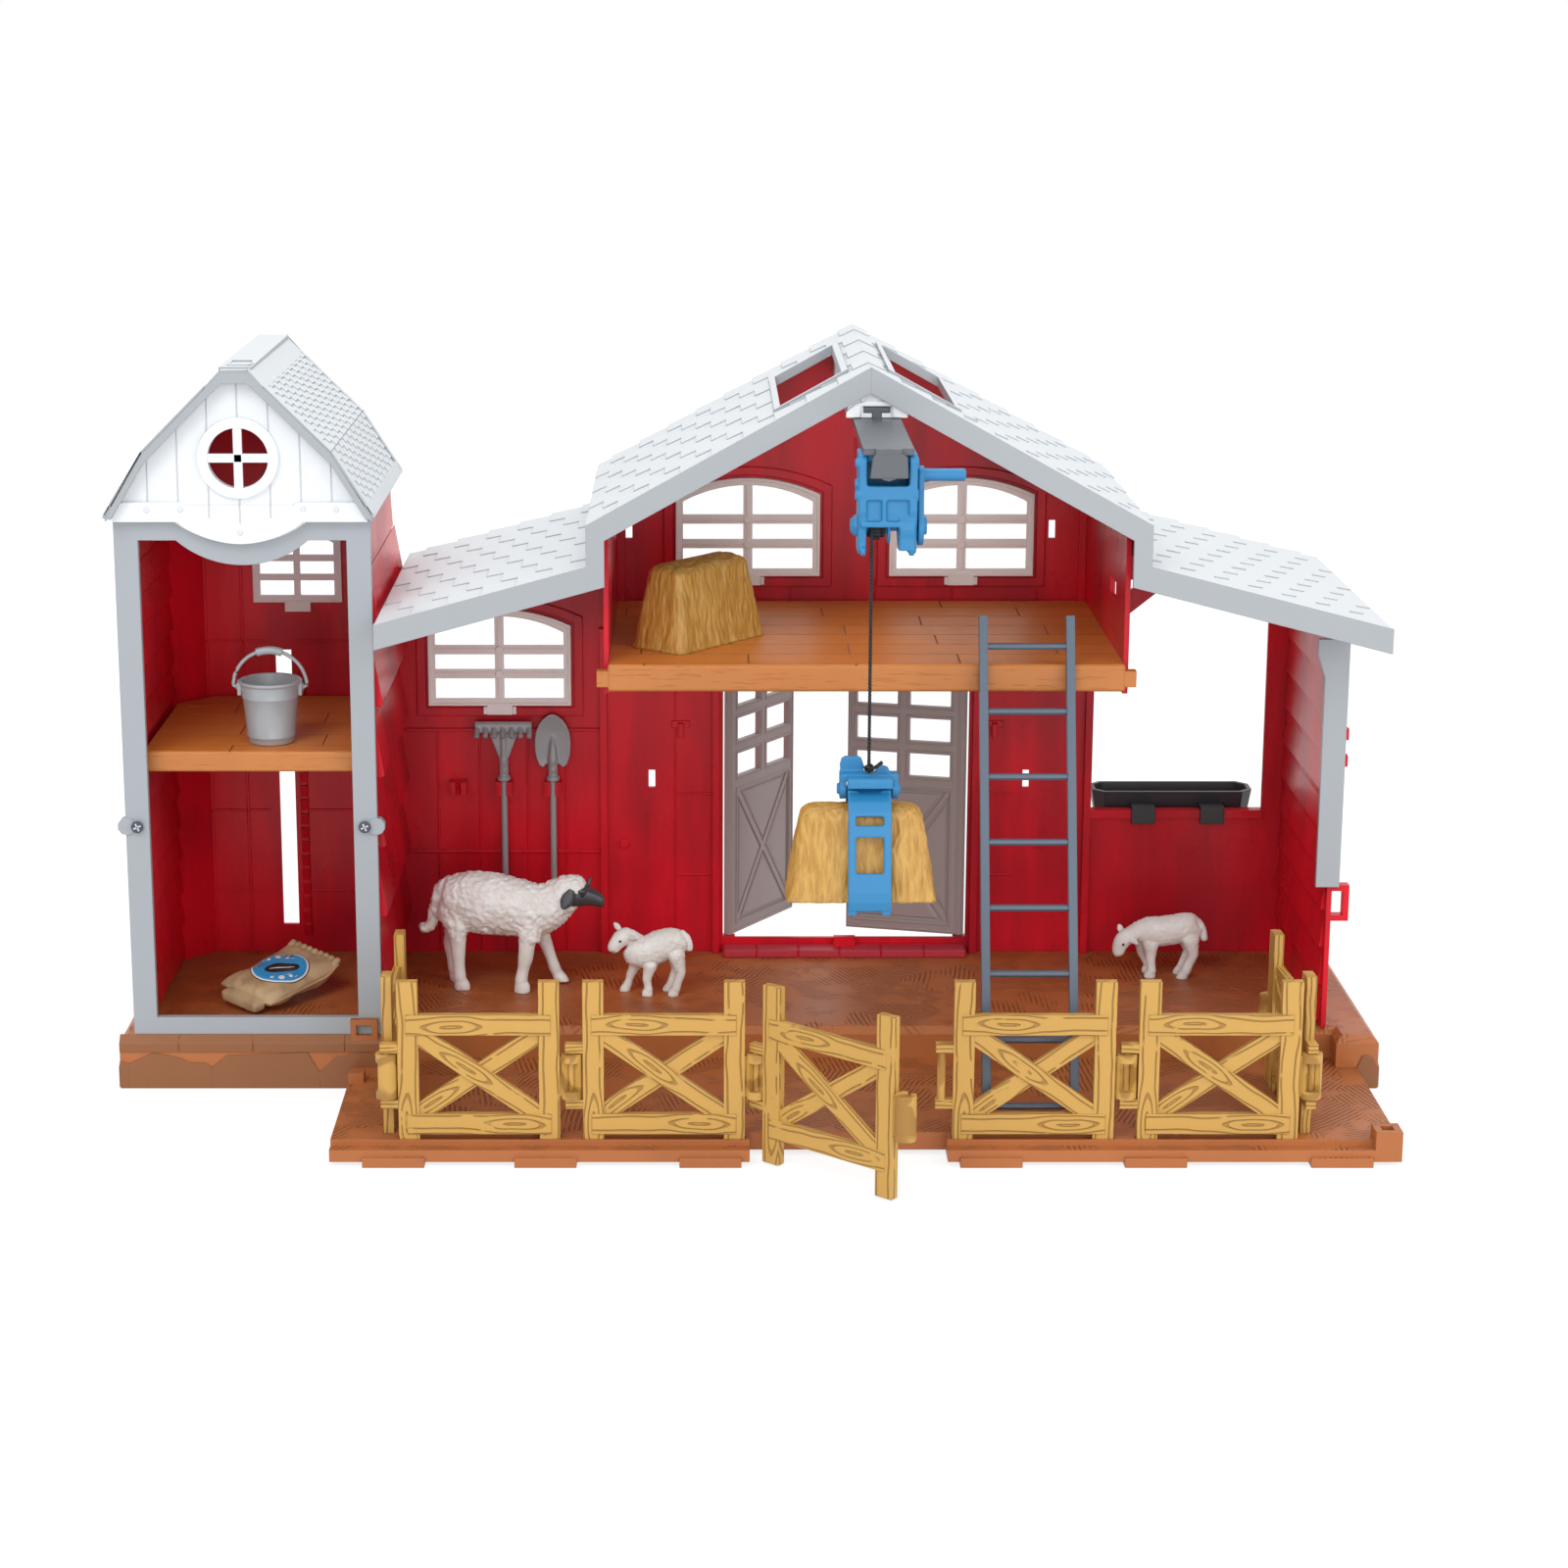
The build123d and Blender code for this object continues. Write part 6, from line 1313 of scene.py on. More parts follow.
def make_jaw(side, name, node, body):
    """Clamp plate with two windows; side -1 is the front one."""
    shape = Shape()
    line = [(GRAB_Y + side * y, GRAB_Z + z) for y, z in JAW_LINE]
    x0, x1 = GRAB_X - 10.0, GRAB_X + 10.0
    for a, b in ((x0, x0 + 3.6), (x1 - 3.6, x1)):
        ribbon(shape, line, a, b, 3.0)
    for first, last in ((0.0, 0.235), (0.30, 0.385), (0.645, 1.0)):
        ribbon(shape, part_of(line, first, last), x0 + 0.5, x1 - 0.5, 3.0)
    spans = ((-10.0, -5.4), (5.4, 10.0)) if side < 0 else ((-5.0, 5.0),)
    for span in spans:
        grab_bar(shape, *span, 0.0, 3.5, 20)
        grab_box(shape, span, sorted((side * 2.0, side * 7.0)), (-3.0, 1.2))
    for span in ((-9.8, -6.0), (6.0, 9.8)):
        grab_box(shape, span, sorted((side * 13.0, side * 19.4)), (-55.4, -52.4))
    moulded(name, shape, 0.42, 3, BLUE, body, node)


def make_yoke():
    """Cheeks on the pin, a bridge that the cord hangs from, a thumb plate behind and a lever in front."""
    shape = Shape()
    for a, b in ((-13.6, -10.5), (10.5, 13.6)):
        grab_bar(shape, a, b, 0.6, 5.0, 28)
        grab_box(shape, (a, b), (-4.0, 4.0), (0.0, 7.6))
    grab_box(shape, (-13.6, 13.6), (-4.2, 4.2), (4.9, 8.0))
    grab_box(shape, (-10.4, 10.6), (-11.6, -8.0), (3.0, 6.8))
    grab_box(shape, (-10.4, 10.6), (-11.0, -2.0), (5.2, 7.6))
    plate = [(-12.8, 6.0), (-3.2, 6.0), (-2.0, 10.2), (-3.4, 14.2), (-5.0, 15.0), (-11.0, 15.0), (-12.6, 14.0),
             (-13.4, 11.0)]
    shape.loft([[(GRAB_X + x, GRAB_Y + y, GRAB_Z + z) for x, z in plate] for y in (2.0, 4.8)])
    knuckle = [(3.0, 6.5), (10.0, 6.5), (9.2, 9.8), (6.4, 11.0), (3.8, 9.8)]
    shape.loft([[(GRAB_X + x, GRAB_Y + y, GRAB_Z + z) for x, z in knuckle] for y in (0.6, 4.0)])
    for a, b in ((-14.8, -13.0), (13.0, 14.8)):
        grab_bar(shape, a, b, 0.4, 2.5, 20)
    moulded("grab_bridge", shape, 0.42, 3, BLUE, "grab", "grab_yoke")


def make_winch():
    """Two cheeks, a square mouth in front, cross bars, a mid rib, feet round the axle and bolt heads."""
    shape = Shape()
    y, front = AXLE_Y, AXLE_Y - 11.0
    cheek = [(y - 8, 305.6), (y - 5, 303.8), (y + 8, 303.8), (y + 12, 309), (y + 9, 327), (y + 11, 337),
             (y + 11, 350), (y - 9, 350), (y - 11, 348), (y - 11, 324), (y - 9, 316)]
    for a, b in ((-13.4, -9.6), (9.6, 13.4)):
        shape.loft([[(WINCH_X + x, py, pz) for py, pz in cheek] for x in (a, b)])
    shape.tube((WINCH_X + 5.4, y, AXLE_Z), (WINCH_X + 12.6, y, AXLE_Z), 11.4, 36, 8.6)
    shape.box(WINCH_X + 5.4, WINCH_X + 12.6, front + 0.4, front + 3.2, 306.0, 318.0)
    x0, x1 = WINCH_X - 12.6, WINCH_X + 12.6
    shape.box(x0, x1, front, front + 4.0, 329.4, 335.8)
    shape.box(x0, x1, front + 1.6, front + 3.4, 318.0, 330.4)
    shape.box(x0 + 0.4, x1 - 2.0, front - 0.2, front + 3.6, 316.9, 319.6)
    shape.box(WINCH_X - 2.8, WINCH_X - 0.6, front - 0.2, front + 3.0, 317.6, 330.6)
    shape.box(x0, x1, y + 7.6, y + 10.6, 330.0, 346.0)
    shape.box(x0, x1, y - 8.0, y + 10.0, 346.6, 349.9)
    for start, end, depth, z, radius in ((-12.0, -15.0, 2.0, 346.2, 2.2), (-12.0, -15.0, 3.2, 336.6, 2.2),
                                         (-12.0, -15.0, 2.0, 331.6, 2.4), (12.0, 13.9, 2.0, 346.2, 2.2),
                                         (12.0, 13.9, 2.0, 331.6, 2.4)):
        shape.tube((WINCH_X + start, front + depth, z), (WINCH_X + end, front + depth, z), radius, 18)
    for px in (-12.4, 10.0):
        shape.tube((WINCH_X + px, front + 3.0, 305.6), (WINCH_X + px + 2.4, front + 3.0, 305.6), 2.2, 18)
    shape.tube((WINCH_X - 13.4, y, AXLE_Z), (WINCH_X - 15.2, y, AXLE_Z), 5.0, 8)
    shape.tube((WINCH_X - 15.0, y, AXLE_Z), (WINCH_X - 16.6, y, AXLE_Z), 3.5, 16)
    moulded("winch_body", shape, 0.5, 3, BLUE, "hoist", "winch_frame")


def make_crank():
    """Drum with its flanges, ratchet wheel, arm with a round disc, and the handle."""
    shape = Shape()
    y = AXLE_Y
    shape.tube((WINCH_X - 9.2, y, AXLE_Z), (WINCH_X + 15.0, y, AXLE_Z), 2.5, 24)
    shape.tube((50.0, y, AXLE_Z), (60.4, y, AXLE_Z), 3.8, 24)
    for x in (48.8, 60.2):
        shape.tube((x, y, AXLE_Z), (x + 1.3, y, AXLE_Z), 8.0, 30)
    teeth = []
    for k in range(12):
        a, b = 2 * pi * k / 12, 2 * pi * (k + 0.75) / 12
        teeth += [(y + 8.6 * cos(a), AXLE_Z + 8.6 * sin(a)), (y + 6.8 * cos(b), AXLE_Z + 6.8 * sin(b))]
    shape.loft([[(x, py, pz) for py, pz in teeth] for x in (65.0, 68.0)])
    arm = []
    top = AXLE_Z + CRANK_REACH
    for k in range(13):
        t = pi * k / 12
        arm.append((y + 4.4 * cos(t), top + 4.2 * sin(t)))
    arm += [(y - 4.6, AXLE_Z + 12.0), (y - 6.0, AXLE_Z + 6.0)]
    for k in range(19):
        t = pi + pi * k / 18
        arm.append((y + 8.4 * cos(t), AXLE_Z - 0.5 + 8.6 * sin(t)))
    arm += [(y + 6.0, AXLE_Z + 6.0), (y + 4.6, AXLE_Z + 12.0)]
    shape.loft([[(x, py, pz) for py, pz in arm] for x in (74.1, 76.8)])
    shape.tube((76.4, y, AXLE_Z), (78.4, y, AXLE_Z), 4.2, 20)
    shape.tube((76.0, y, top), (95.4, y, top), 2.9, 24)
    shape.tube((95.2, y, top), (96.0, y, top), 2.2, 24)
    moulded("crank_with_drum", shape, 0.42, 2, BLUE, "crank", "winch_crank")


def make_wound_cord():
    """Cord wound on the drum in two layers."""
    shape = Shape()
    steps = 26
    for start, run, turns, reach, thick in ((50.9, 8.4, 5.6, 4.7, 0.86), (57.4, -4.0, 3.2, 5.9, 0.8)):
        points = []
        for k in range(int(turns * steps)):
            t = 2 * pi * k / steps
            x = start + run * k / (turns * steps)
            points.append((x, AXLE_Y - reach * cos(t), AXLE_Z + reach * sin(t)))
        sweep(shape, points, thick)
    made = shape.finish("cord_on_drum", CORD, "crank", smooth=80)
    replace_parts(made, "wound_cord")


def cord_line(name, route):
    """Smooth line through the route's control points, read back as points."""
    curve = bpy.data.curves.new(name, "CURVE")
    curve.dimensions = "3D"
    curve.resolution_u = 24
    spline = curve.splines.new("NURBS")
    spline.points.add(len(route) - 1)
    for point, spot in zip(spline.points, route):
        point.co = (*spot, 1.0)
    spline.order_u = 3
    spline.use_endpoint_u = True
    holder = bpy.data.objects.new(name, curve)
    bpy.context.scene.collection.objects.link(holder)
    bpy.context.view_layer.update()
    mesh = bpy.data.meshes.new_from_object(holder)
    points = [vert.co.copy() for vert in mesh.vertices]
    bpy.data.objects.remove(holder)
    return points


def make_cord():
    """Three twisted strands that hang straight from the drum to the grab."""
    line = cord_line("hoist_line", CORD_ROUTE)
    shape = Shape()
    total = (line[0] - line[-1]).length
    for strand in range(3):
        points = []
        for k in range(CORD_STEPS + 1):
            s = k / CORD_STEPS
            spot = line[0].lerp(line[-1], s) / MM
            turn = 2 * pi * (s * total / CORD_LAY + strand / 3)
            points.append(spot + Vector((0.40 * cos(turn), 0.40 * sin(turn), 0)))
        sweep(shape, points, 0.45, 8)
    made = shape.finish("hoist_line", CORD, None, smooth=80)
    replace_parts(made, "hoist_cord")
    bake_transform(made)
    make_knot()


def make_knot():
    """Knot on top of the bridge with a short free end."""
    shape = Shape()
    loop = []
    for k in range(40):
        t = 2 * pi * k / 40
        loop.append((GRAB_X + 1.5 * cos(t), GRAB_Y + 1.5 * sin(t), 203.2 + 0.9 * sin(2 * t)))
    sweep(shape, loop, 0.85, 10, True)
    sweep(shape, [(GRAB_X, GRAB_Y, 206.4), (GRAB_X, GRAB_Y, 203.6), (GRAB_X, GRAB_Y, 200.6)], 0.86)
    sweep(shape, [(GRAB_X + 0.4, GRAB_Y - 1.2, 202.6), (GRAB_X + 2.2, GRAB_Y - 2.2, 203.6),
                  (GRAB_X + 4.4, GRAB_Y - 2.8, 205.4), (GRAB_X + 6.0, GRAB_Y - 3.0, 206.8)], 0.85)
    made = shape.finish("cord_knot", CORD, "grab", smooth=80)
    return made


make_jaw(-1, "clamp_front", "grab_jaw_front", "jaw_front")
make_jaw(1, "clamp_rear", "grab_jaw_rear", "jaw_rear")
make_yoke()
make_winch()
make_crank()
make_wound_cord()
make_cord()


# ---------------------------------------------------------------- mouldings of the building
RED = FINISH["red_plastic"]


def slab(shape, outline, y0, y1):
    """Plate with the given (x, z) outline between two depths."""
    shape.loft([[(x, y, z) for x, z in outline] for y in (y1, y0)])


def disc(cx, cz, radius, count):
    """Round outline."""
    turns = [2 * pi * k / count for k in range(count)]
    return [(cx + radius * cos(t), cz + radius * sin(t)) for t in turns]


def arched(x0, x1, z0, z1, rise):
    """Outline with a bowed top, from the lower left corner round."""
    steps = 14
    half = (x1 - x0) / 2
    mid = (x0 + x1) / 2
    radius = (half * half + rise * rise) / (2 * rise)
    spread = asin(half / radius)
    points = [(x0, z0), (x1, z0)]
    for k in range(steps + 1):
        turn = spread - 2 * spread * k / steps
        points.append((mid + radius * sin(turn), z1 - radius + radius * cos(turn)))
    return points


def band(shape, outer, inner, y_back, y_front):
    """Raised band between two outlines with matching points."""
    rings = [[(a[0], y_back, a[1]), (a[0], y_front, a[1]), (b[0], y_front, b[1]), (b[0], y_back, b[1])]
             for a, b in zip(outer, inner)]
    shape.loft([*rings, rings[0]], caps=False)


def settle(shape, name, material, body, bevel):
    """Finishes a hard moulding."""
    made = shape.finish(name, material, body, bevel, 35.0, 2)
    return made


def make_gable_trim():
    """Round window ring with its cross, the dipped sill band and its pins."""
    cx, cz = SILO_X, 329.0
    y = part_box("silo_gable")[0][1] / MM
    shape = Shape()
    band(shape, disc(cx, cz, 20.2, 64), disc(cx, cz, 15.0, 64), y + 1.6, y - 1.1)
    shape.box(cx - 15.6, cx + 15.6, y - 0.7, y + 1.4, cz - 2.2, cz + 2.2)
    shape.box(cx - 2.2, cx + 2.2, y - 0.7, y + 1.4, cz - 15.6, cz + 15.6)
    upper, lower = [(cx - 61.5, 307.0), (cx - 29.5, 307.0)], [(cx - 63.5, 297.0), (cx - 31.5, 297.0)]
    for k in range(17):
        turn = -1 + 2 * k / 16
        upper.append((cx + 28.0 * turn, 306.4 - 10.6 * cos(turn * pi / 2) ** 0.8))
        lower.append((cx + 31.0 * turn, 296.6 - 10.7 * cos(turn * pi / 2) ** 0.8))
    upper += [(cx + 29.5, 307.0), (cx + 61.5, 307.0)]
    lower += [(cx + 31.5, 297.0), (cx + 63.5, 297.0)]
    slab(shape, [*lower, *upper[::-1]], y - 0.8, y + 1.2)
    trim = plastic("gable_trim", colour(232, 236, 240), 0.4, 0.03)
    settle(shape, "gable_trim", trim, "barn", 0.4)
    pins = Shape()
    for dx, z in ((-46.0, 303.2), (-29.4, 303.4), (0.0, 292.0), (31.6, 303.8), (48.0, 303.6)):
        pins.tube((cx + dx, y - 0.4, z), (cx + dx, y - 1.5, z), 1.5, 20)
    pin_white = plastic("gable_pins", colour(214, 218, 222), 0.4, 0.03)
    settle(pins, "gable_pins", pin_white, "barn", 0.3)


SILO_ROWS = 16
SILO_COURSE = 6.6
SILO_BRIM = 7.0          # smooth border in front of the silo's tiles


def silo_slope(shape, start, end, y0, y1):
    """Half-bond tiles over one slope of the silo roof."""
    run = Vector((end[0] - start[0], 0, end[1] - start[1]))
    normal = outward(start, end)
    count = round(run.length / SILO_COURSE)
    width = (y1 - y0) / SILO_ROWS
    for row in range(SILO_ROWS):
        ya, yb = y0 + row * width + TILE_GAP, y0 + (row + 1) * width - TILE_GAP
        shift = 0.5 * (row % 2)
        for k in range(count + 1):
            head = k - shift
            t0, t1 = max(0.0, head / count), min(1.0, (head + 1) / count)
            if t1 - t0 < 0.04:
                continue
            rings = []
            for t in (t0 + 0.002, t1 - 0.002):
                lift = 0.35 + 0.75 * (t * count - head)
                spot = Vector((start[0], 0, start[1])) + run * t
                top, low = spot + normal * lift, spot - normal
                rings.append([(low.x, ya, low.z), (low.x, yb, low.z), (top.x, yb, top.z), (top.x, ya, top.z)])
            shape.loft(rings)


def make_silo_tiles():
    """Tiled slopes inside smooth borders, with the smooth cap along the ridge."""
    cx = SILO_X
    shape = Shape()
    y_front, y_back = -34.5, 117.0
    for side in (-1, 1):
        ridge, knee, eave = (cx + side * 6.5, 372.0), (cx + side * 46.2, 332.4), (cx + side * 66.0, 300.0)
        tiled = (y_front + SILO_BRIM, y_back - 5.0)
        silo_slope(shape, (ridge[0] + side * 7.5, ridge[1] - 7.5), knee, *tiled)
        silo_slope(shape, knee, (eave[0] - side * 3.2, eave[1] + 5.2), *tiled)
        cap = [(ridge[0] - side * 0.4, 372.0), (ridge[0] + side * 7.6, 363.8), (ridge[0] + side * 9.2, 363.8),
               (ridge[0] + side * 0.4, 373.2)]
        slab(shape, cap, y_front + 0.2, y_back)
        brim = [(eave[0] - side * 3.4, eave[1] + 5.4), (eave[0] + side * 0.3, eave[1] - 0.6),
                (eave[0] + side * 1.5, eave[1] + 0.2), (eave[0] - side * 2.0, eave[1] + 6.2)]
        slab(shape, brim, y_front + 0.2, y_back)
        for a, b in (((ridge[0] + side * 7.2, 364.8), knee), (knee, (eave[0], eave[1] + 1.0))):
            rise = outward(a, b) * 1.2
            edge = [a, b, (b[0] + rise.x, b[1] + rise.z), (a[0] + rise.x, a[1] + rise.z)]
            slab(shape, edge, y_front + 0.2, tiled[0])
            slab(shape, edge, tiled[1], y_back)
    cap = [(cx - 6.9, 371.8), (cx + 6.9, 371.8), (cx + 6.9, 373.2), (cx - 6.9, 373.2)]
    slab(shape, cap, y_front + 0.2, y_back)
    settle(shape, "silo_tiles", FINISH["roof_white"], "barn", 0.3)
    clasp = Shape()
    for y0, y1 in ((-22.0, -20.4), (-15.0, -13.4)):
        clasp.box(cx - 5.0, cx + 7.0, y0, y1, 373.0, 374.2)
    for x0, x1 in ((-5.0, -3.4), (5.4, 7.0)):
        clasp.box(cx + x0, cx + x1, -22.0, -13.4, 373.0, 374.2)
    settle(clasp, "ridge_clasp", FINISH["roof_white"], "barn", 0.25)


WINDOWS = (("window_lower_left", -174.6, -96.2, 170.0), ("window_upper_left", -38.6, 39.8, 242.5),
           ("window_upper_right", 77.5, 155.9, 242.5))


def make_window_bands():
    """Rounded bands and pins on each window and the stepped red surround behind it."""
    for name, x0, x1, z0 in WINDOWS:
        shape = Shape()
        z1, y = z0 + 54.0, WALL_FACE - 2.2
        inner = arched(x0 + 1.7, x1 - 1.7, z0 + 1.7, z1 - 1.7, 9)
        band(shape, arched(x0, x1, z0, z1, 9), inner, y + 0.4, y - 0.7)
        mid = (x0 + x1) / 2
        for share in (0.33, 0.58):
            z = z0 + 54.0 * share
            shape.box(x0 + 3.6, x1 - 3.6, y - 0.45, y + 0.2, z - 1.1, z + 1.1)
            shape.tube((mid, y + 0.2, z), (mid, y - 1.1, z), 2.3, 20)
        shape.box(mid - 1.1, mid + 1.1, y - 0.45, y + 0.2, z0 + 3.4, z1 - 3.6)
        for side in (-1, 1):
            shape.box(mid + side * 8.0 - 1.0, mid + side * 8.0 + 1.0, y - 1.6, y + 0.4, z0 - 4.6, z0 - 0.4)
        settle(shape, name + "_bands", FINISH["window_pale"], "barn", 0.4)
        around = Shape()
        band(around, arched(x0 - 6.6, x1 + 6.6, z0 - 6.2, z1 + 6.0, 10.5),
             arched(x0 - 1.4, x1 + 1.4, z0 - 1.2, z1 + 1.2, 9.2), WALL_FACE + 0.4, WALL_FACE - 1.5)
        settle(around, name + "_surround", RED, "barn", 0.6)


def add_barn_ribs(shape):
    """Ribs, panel joints, hooks and pegs on the barn's rear wall."""
    y = WALL_FACE
    for z in (156.0, 86.5):
        shape.box(-188.0, -80.6, y - 1.6, y + 0.3, z - 0.9, z + 0.9)
    for x in (-170.2, -147.1, -133.2, -120.6, -99.5):
        shape.box(x - 0.7, x + 0.7, y - 0.6, y + 0.3, 29.0, 155.0)
    for x0, x1 in ((-39.0, -18.6), (129.0, 148.0)):
        for z in (119.4, 73.0):
            shape.box(x0, x1, y - 0.7, y + 0.3, z - 0.7, z + 0.7)
        shape.box(x0 - 0.6, x0 + 0.6, y - 0.7, y + 0.3, 29.0, 212.0)
    for x in (-34.0, 24.0, 70.0, 112.0, 158.0):
        shape.box(x - 0.6, x + 0.6, y - 0.7, y + 0.3, 229.5, 241.0)
    for x in (-30.0, 58.6, 148.0):
        shape.box(x - 0.7, x + 0.7, y - 0.7, y + 0.3, 306.5, 318.0)
    for x in (-36.0, 137.0):
        shape.box(x - 1.5, x + 1.5, y - 4.0, y + 0.3, 152.0, 160.0)
        shape.box(x - 5.0, x + 5.0, y - 1.2, y + 0.3, 157.0, 161.0)
    for x, z in ((-67.6, 90.8), (164.0, 90.8), (-160.3, 124.0)):
        shape.tube((x, y + 0.3, z), (x, y - 1.3, z), 2.8, 20)


def add_silo_ribs(shape):
    """Lapped boards on the silo's side walls and ribs on its rear wall."""
    y = WALL_FACE
    for k in range(6):
        z = 52.0 + 37.0 * k
        slab(shape, [(-191.9, z), (-186.6, z), (-186.0, z + 1.8), (-191.5, z + 34.0)], -17.0, y)
    for k in range(14):
        z = 30.0 + 18.5 * k
        slab(shape, [(-313.2, z + 0.4), (-311.2, z + 0.4), (-311.0, z + 1.6), (-313.0, z + 18.0)], -17.0, y)
        slab(shape, [(-194.0, z + 0.4), (-195.7, z + 0.4), (-195.9, z + 1.6), (-194.2, z + 18.0)], -17.0, y)
    for x in (-296.0, -276.0, -214.0):
        shape.box(x - 0.8, x + 0.8, y - 0.8, y + 0.3, 30.0, 290.0)
    for z in (64.0, 110.0, 206.0):
        shape.box(-312.0, -264.0, y - 0.8, y + 0.3, z - 0.7, z + 0.7)
        shape.box(-246.0, -195.0, y - 0.8, y + 0.3, z - 0.7, z + 0.7)


def make_wall_ribs():
    """Mouldings of the red walls and the tiles of the threshold."""
    shape = Shape()
    add_barn_ribs(shape)
    add_silo_ribs(shape)
    settle(shape, "wall_ribs", RED, "barn", 0.4)
    tiles = Shape()
    joints = (-12.2, 6.0, 29.2, 52.2, 75.4, 99.4, 122.6)
    for a, b in zip(joints, joints[1:]):
        tiles.box(a + 0.3, b - 0.3, 104.7, 116.4, 28.3, 32.6)
    tile_red = plastic("threshold_red", colour(186, 50, 66), 0.4, 0.1)
    settle(tiles, "threshold_tiles", tile_red, "barn", 0.5)


LEAVES = (("door_left", -9.4, 1, 56.0), ("door_right", 119.8, -1, 14.0))      # node, hinge x, side, rest angle
DOOR_HINGE_Y = 121.5
LEAF_W, LEAF_HALF = 64.1, 1.75
LEAF_Z0, LEAF_Z1 = 37.0, 207.0
LEAF_X0, LEAF_X1 = 6.5, LEAF_W - 5.0


def leaf_spot(side, face, x, z, depth):
    """Point on one face of a leaf, depth above its plate."""
    return (side * x, face * (LEAF_HALF + depth), z)


def leaf_rim(shape, side, face, edges, wide, high):
    """Raised rim inside a rectangle (x0, x1, z0, z1) of one face."""
    x0, x1, z0, z1 = edges
    outer = [(x0, z0), (x1, z0), (x1, z1), (x0, z1)]
    inner = [(x0 + wide, z0 + wide), (x1 - wide, z0 + wide), (x1 - wide, z1 - wide), (x0 + wide, z1 - wide)]
    rings = []
    for a, b in zip(outer, inner):
        corners = ((a, -0.2), (a, high), (b, high), (b, -0.2))
        rings.append([leaf_spot(side, face, *spot, depth) for spot, depth in corners])
    shape.loft([*rings, rings[0]], caps=False)


def leaf_pillows(shape, side, face, panel):
    """Four pillowed triangles between the arms of the panel's cross."""
    x0, x1, z0, z1 = panel
    cx, cz = (x0 + x1) / 2, (z0 + z1) / 2
    half_w, half_h = (x1 - x0) / 2, (z1 - z0) / 2
    slope = half_h / half_w
    arm, edge = 2.6 * hypot(1, slope), 1.6
    upper = [(0, arm), (half_w - edge - arm / slope, half_h - edge),
             (-half_w + edge + arm / slope, half_h - edge)]
    outer = [(arm / slope, 0), (half_w - edge, half_h - edge * slope - arm),
             (half_w - edge, -half_h + edge * slope + arm)]
    for corners in (upper, outer):
        for flip in (1, -1):
            spots = [(cx + flip * px, cz + flip * pz) for px, pz in corners]
            mx, mz = sum(p[0] for p in spots) / 3, sum(p[1] for p in spots) / 3
            rings = []
            for share, depth in ((1.0, -1.3), (1.0, -0.75), (0.93, -0.35), (0.8, -0.2)):
                rings.append([leaf_spot(side, face, mx + (px - mx) * share, mz + (pz - mz) * share, depth)
                              for px, pz in spots])
            shape.loft(rings)


def make_door_mouldings():
    """Stepped pane rims, panel frames and pillowed triangles on both faces of each leaf."""
    mid = (LEAF_Z0 + LEAF_Z1) / 2
    pane_w, pane_h = (LEAF_X1 - LEAF_X0 + 7) / 2, (LEAF_Z1 - mid - 4.5) / 4
    panel = (LEAF_X0, LEAF_X1, LEAF_Z0 + 6.5, mid - 3)
    for name, hinge_x, side, angle in LEAVES:
        shape = Shape()
        for face in (-1, 1):
            leaf_rim(shape, side, face, (0.8, LEAF_W - 0.6, LEAF_Z0 + 0.8, LEAF_Z1 - 0.8), 1.1, 0.45)
            for i in range(2):
                for j in range(4):
                    px, pz = LEAF_X0 + i * pane_w, mid + 5 + j * pane_h
                    pane = (px - 1.9, px + pane_w - 5.1, pz - 1.9, pz + pane_h - 5.1)
                    leaf_rim(shape, side, face, pane, 0.9, 0.4)
            frame_edges = (panel[0] - 1.8, panel[1] + 1.8, panel[2] - 1.8, panel[3] + 1.8)
            leaf_rim(shape, side, face, frame_edges, 1.2, 0.5)
            leaf_pillows(shape, side, face, panel)
        turn = Matrix.Rotation(radians(side * angle), 4, "Z")
        shape.move(Matrix.Translation((hinge_x, DOOR_HINGE_Y, 0)) @ turn)
        settle(shape, name + "_mouldings", FINISH["taupe"], name, 0.3)


SLABS = ((-325.0, -320.5, ((0.0, 15.0), (4.5, 13.6))),
         (-320.5, -277.6, ((0.0, 13.6), (12.8, 19.4), (26.7, 16.6), (31.0, 14.4), (40.0, 13.8), (42.9, 11.7))),
         (-277.6, -221.9, ((0.0, 11.7), (7.8, 18.0), (49.6, 19.6), (55.7, 9.0))),
         (-221.9, -189.0, ((0.0, 9.0), (8.4, 17.2), (23.4, 19.6), (32.9, 16.4))))


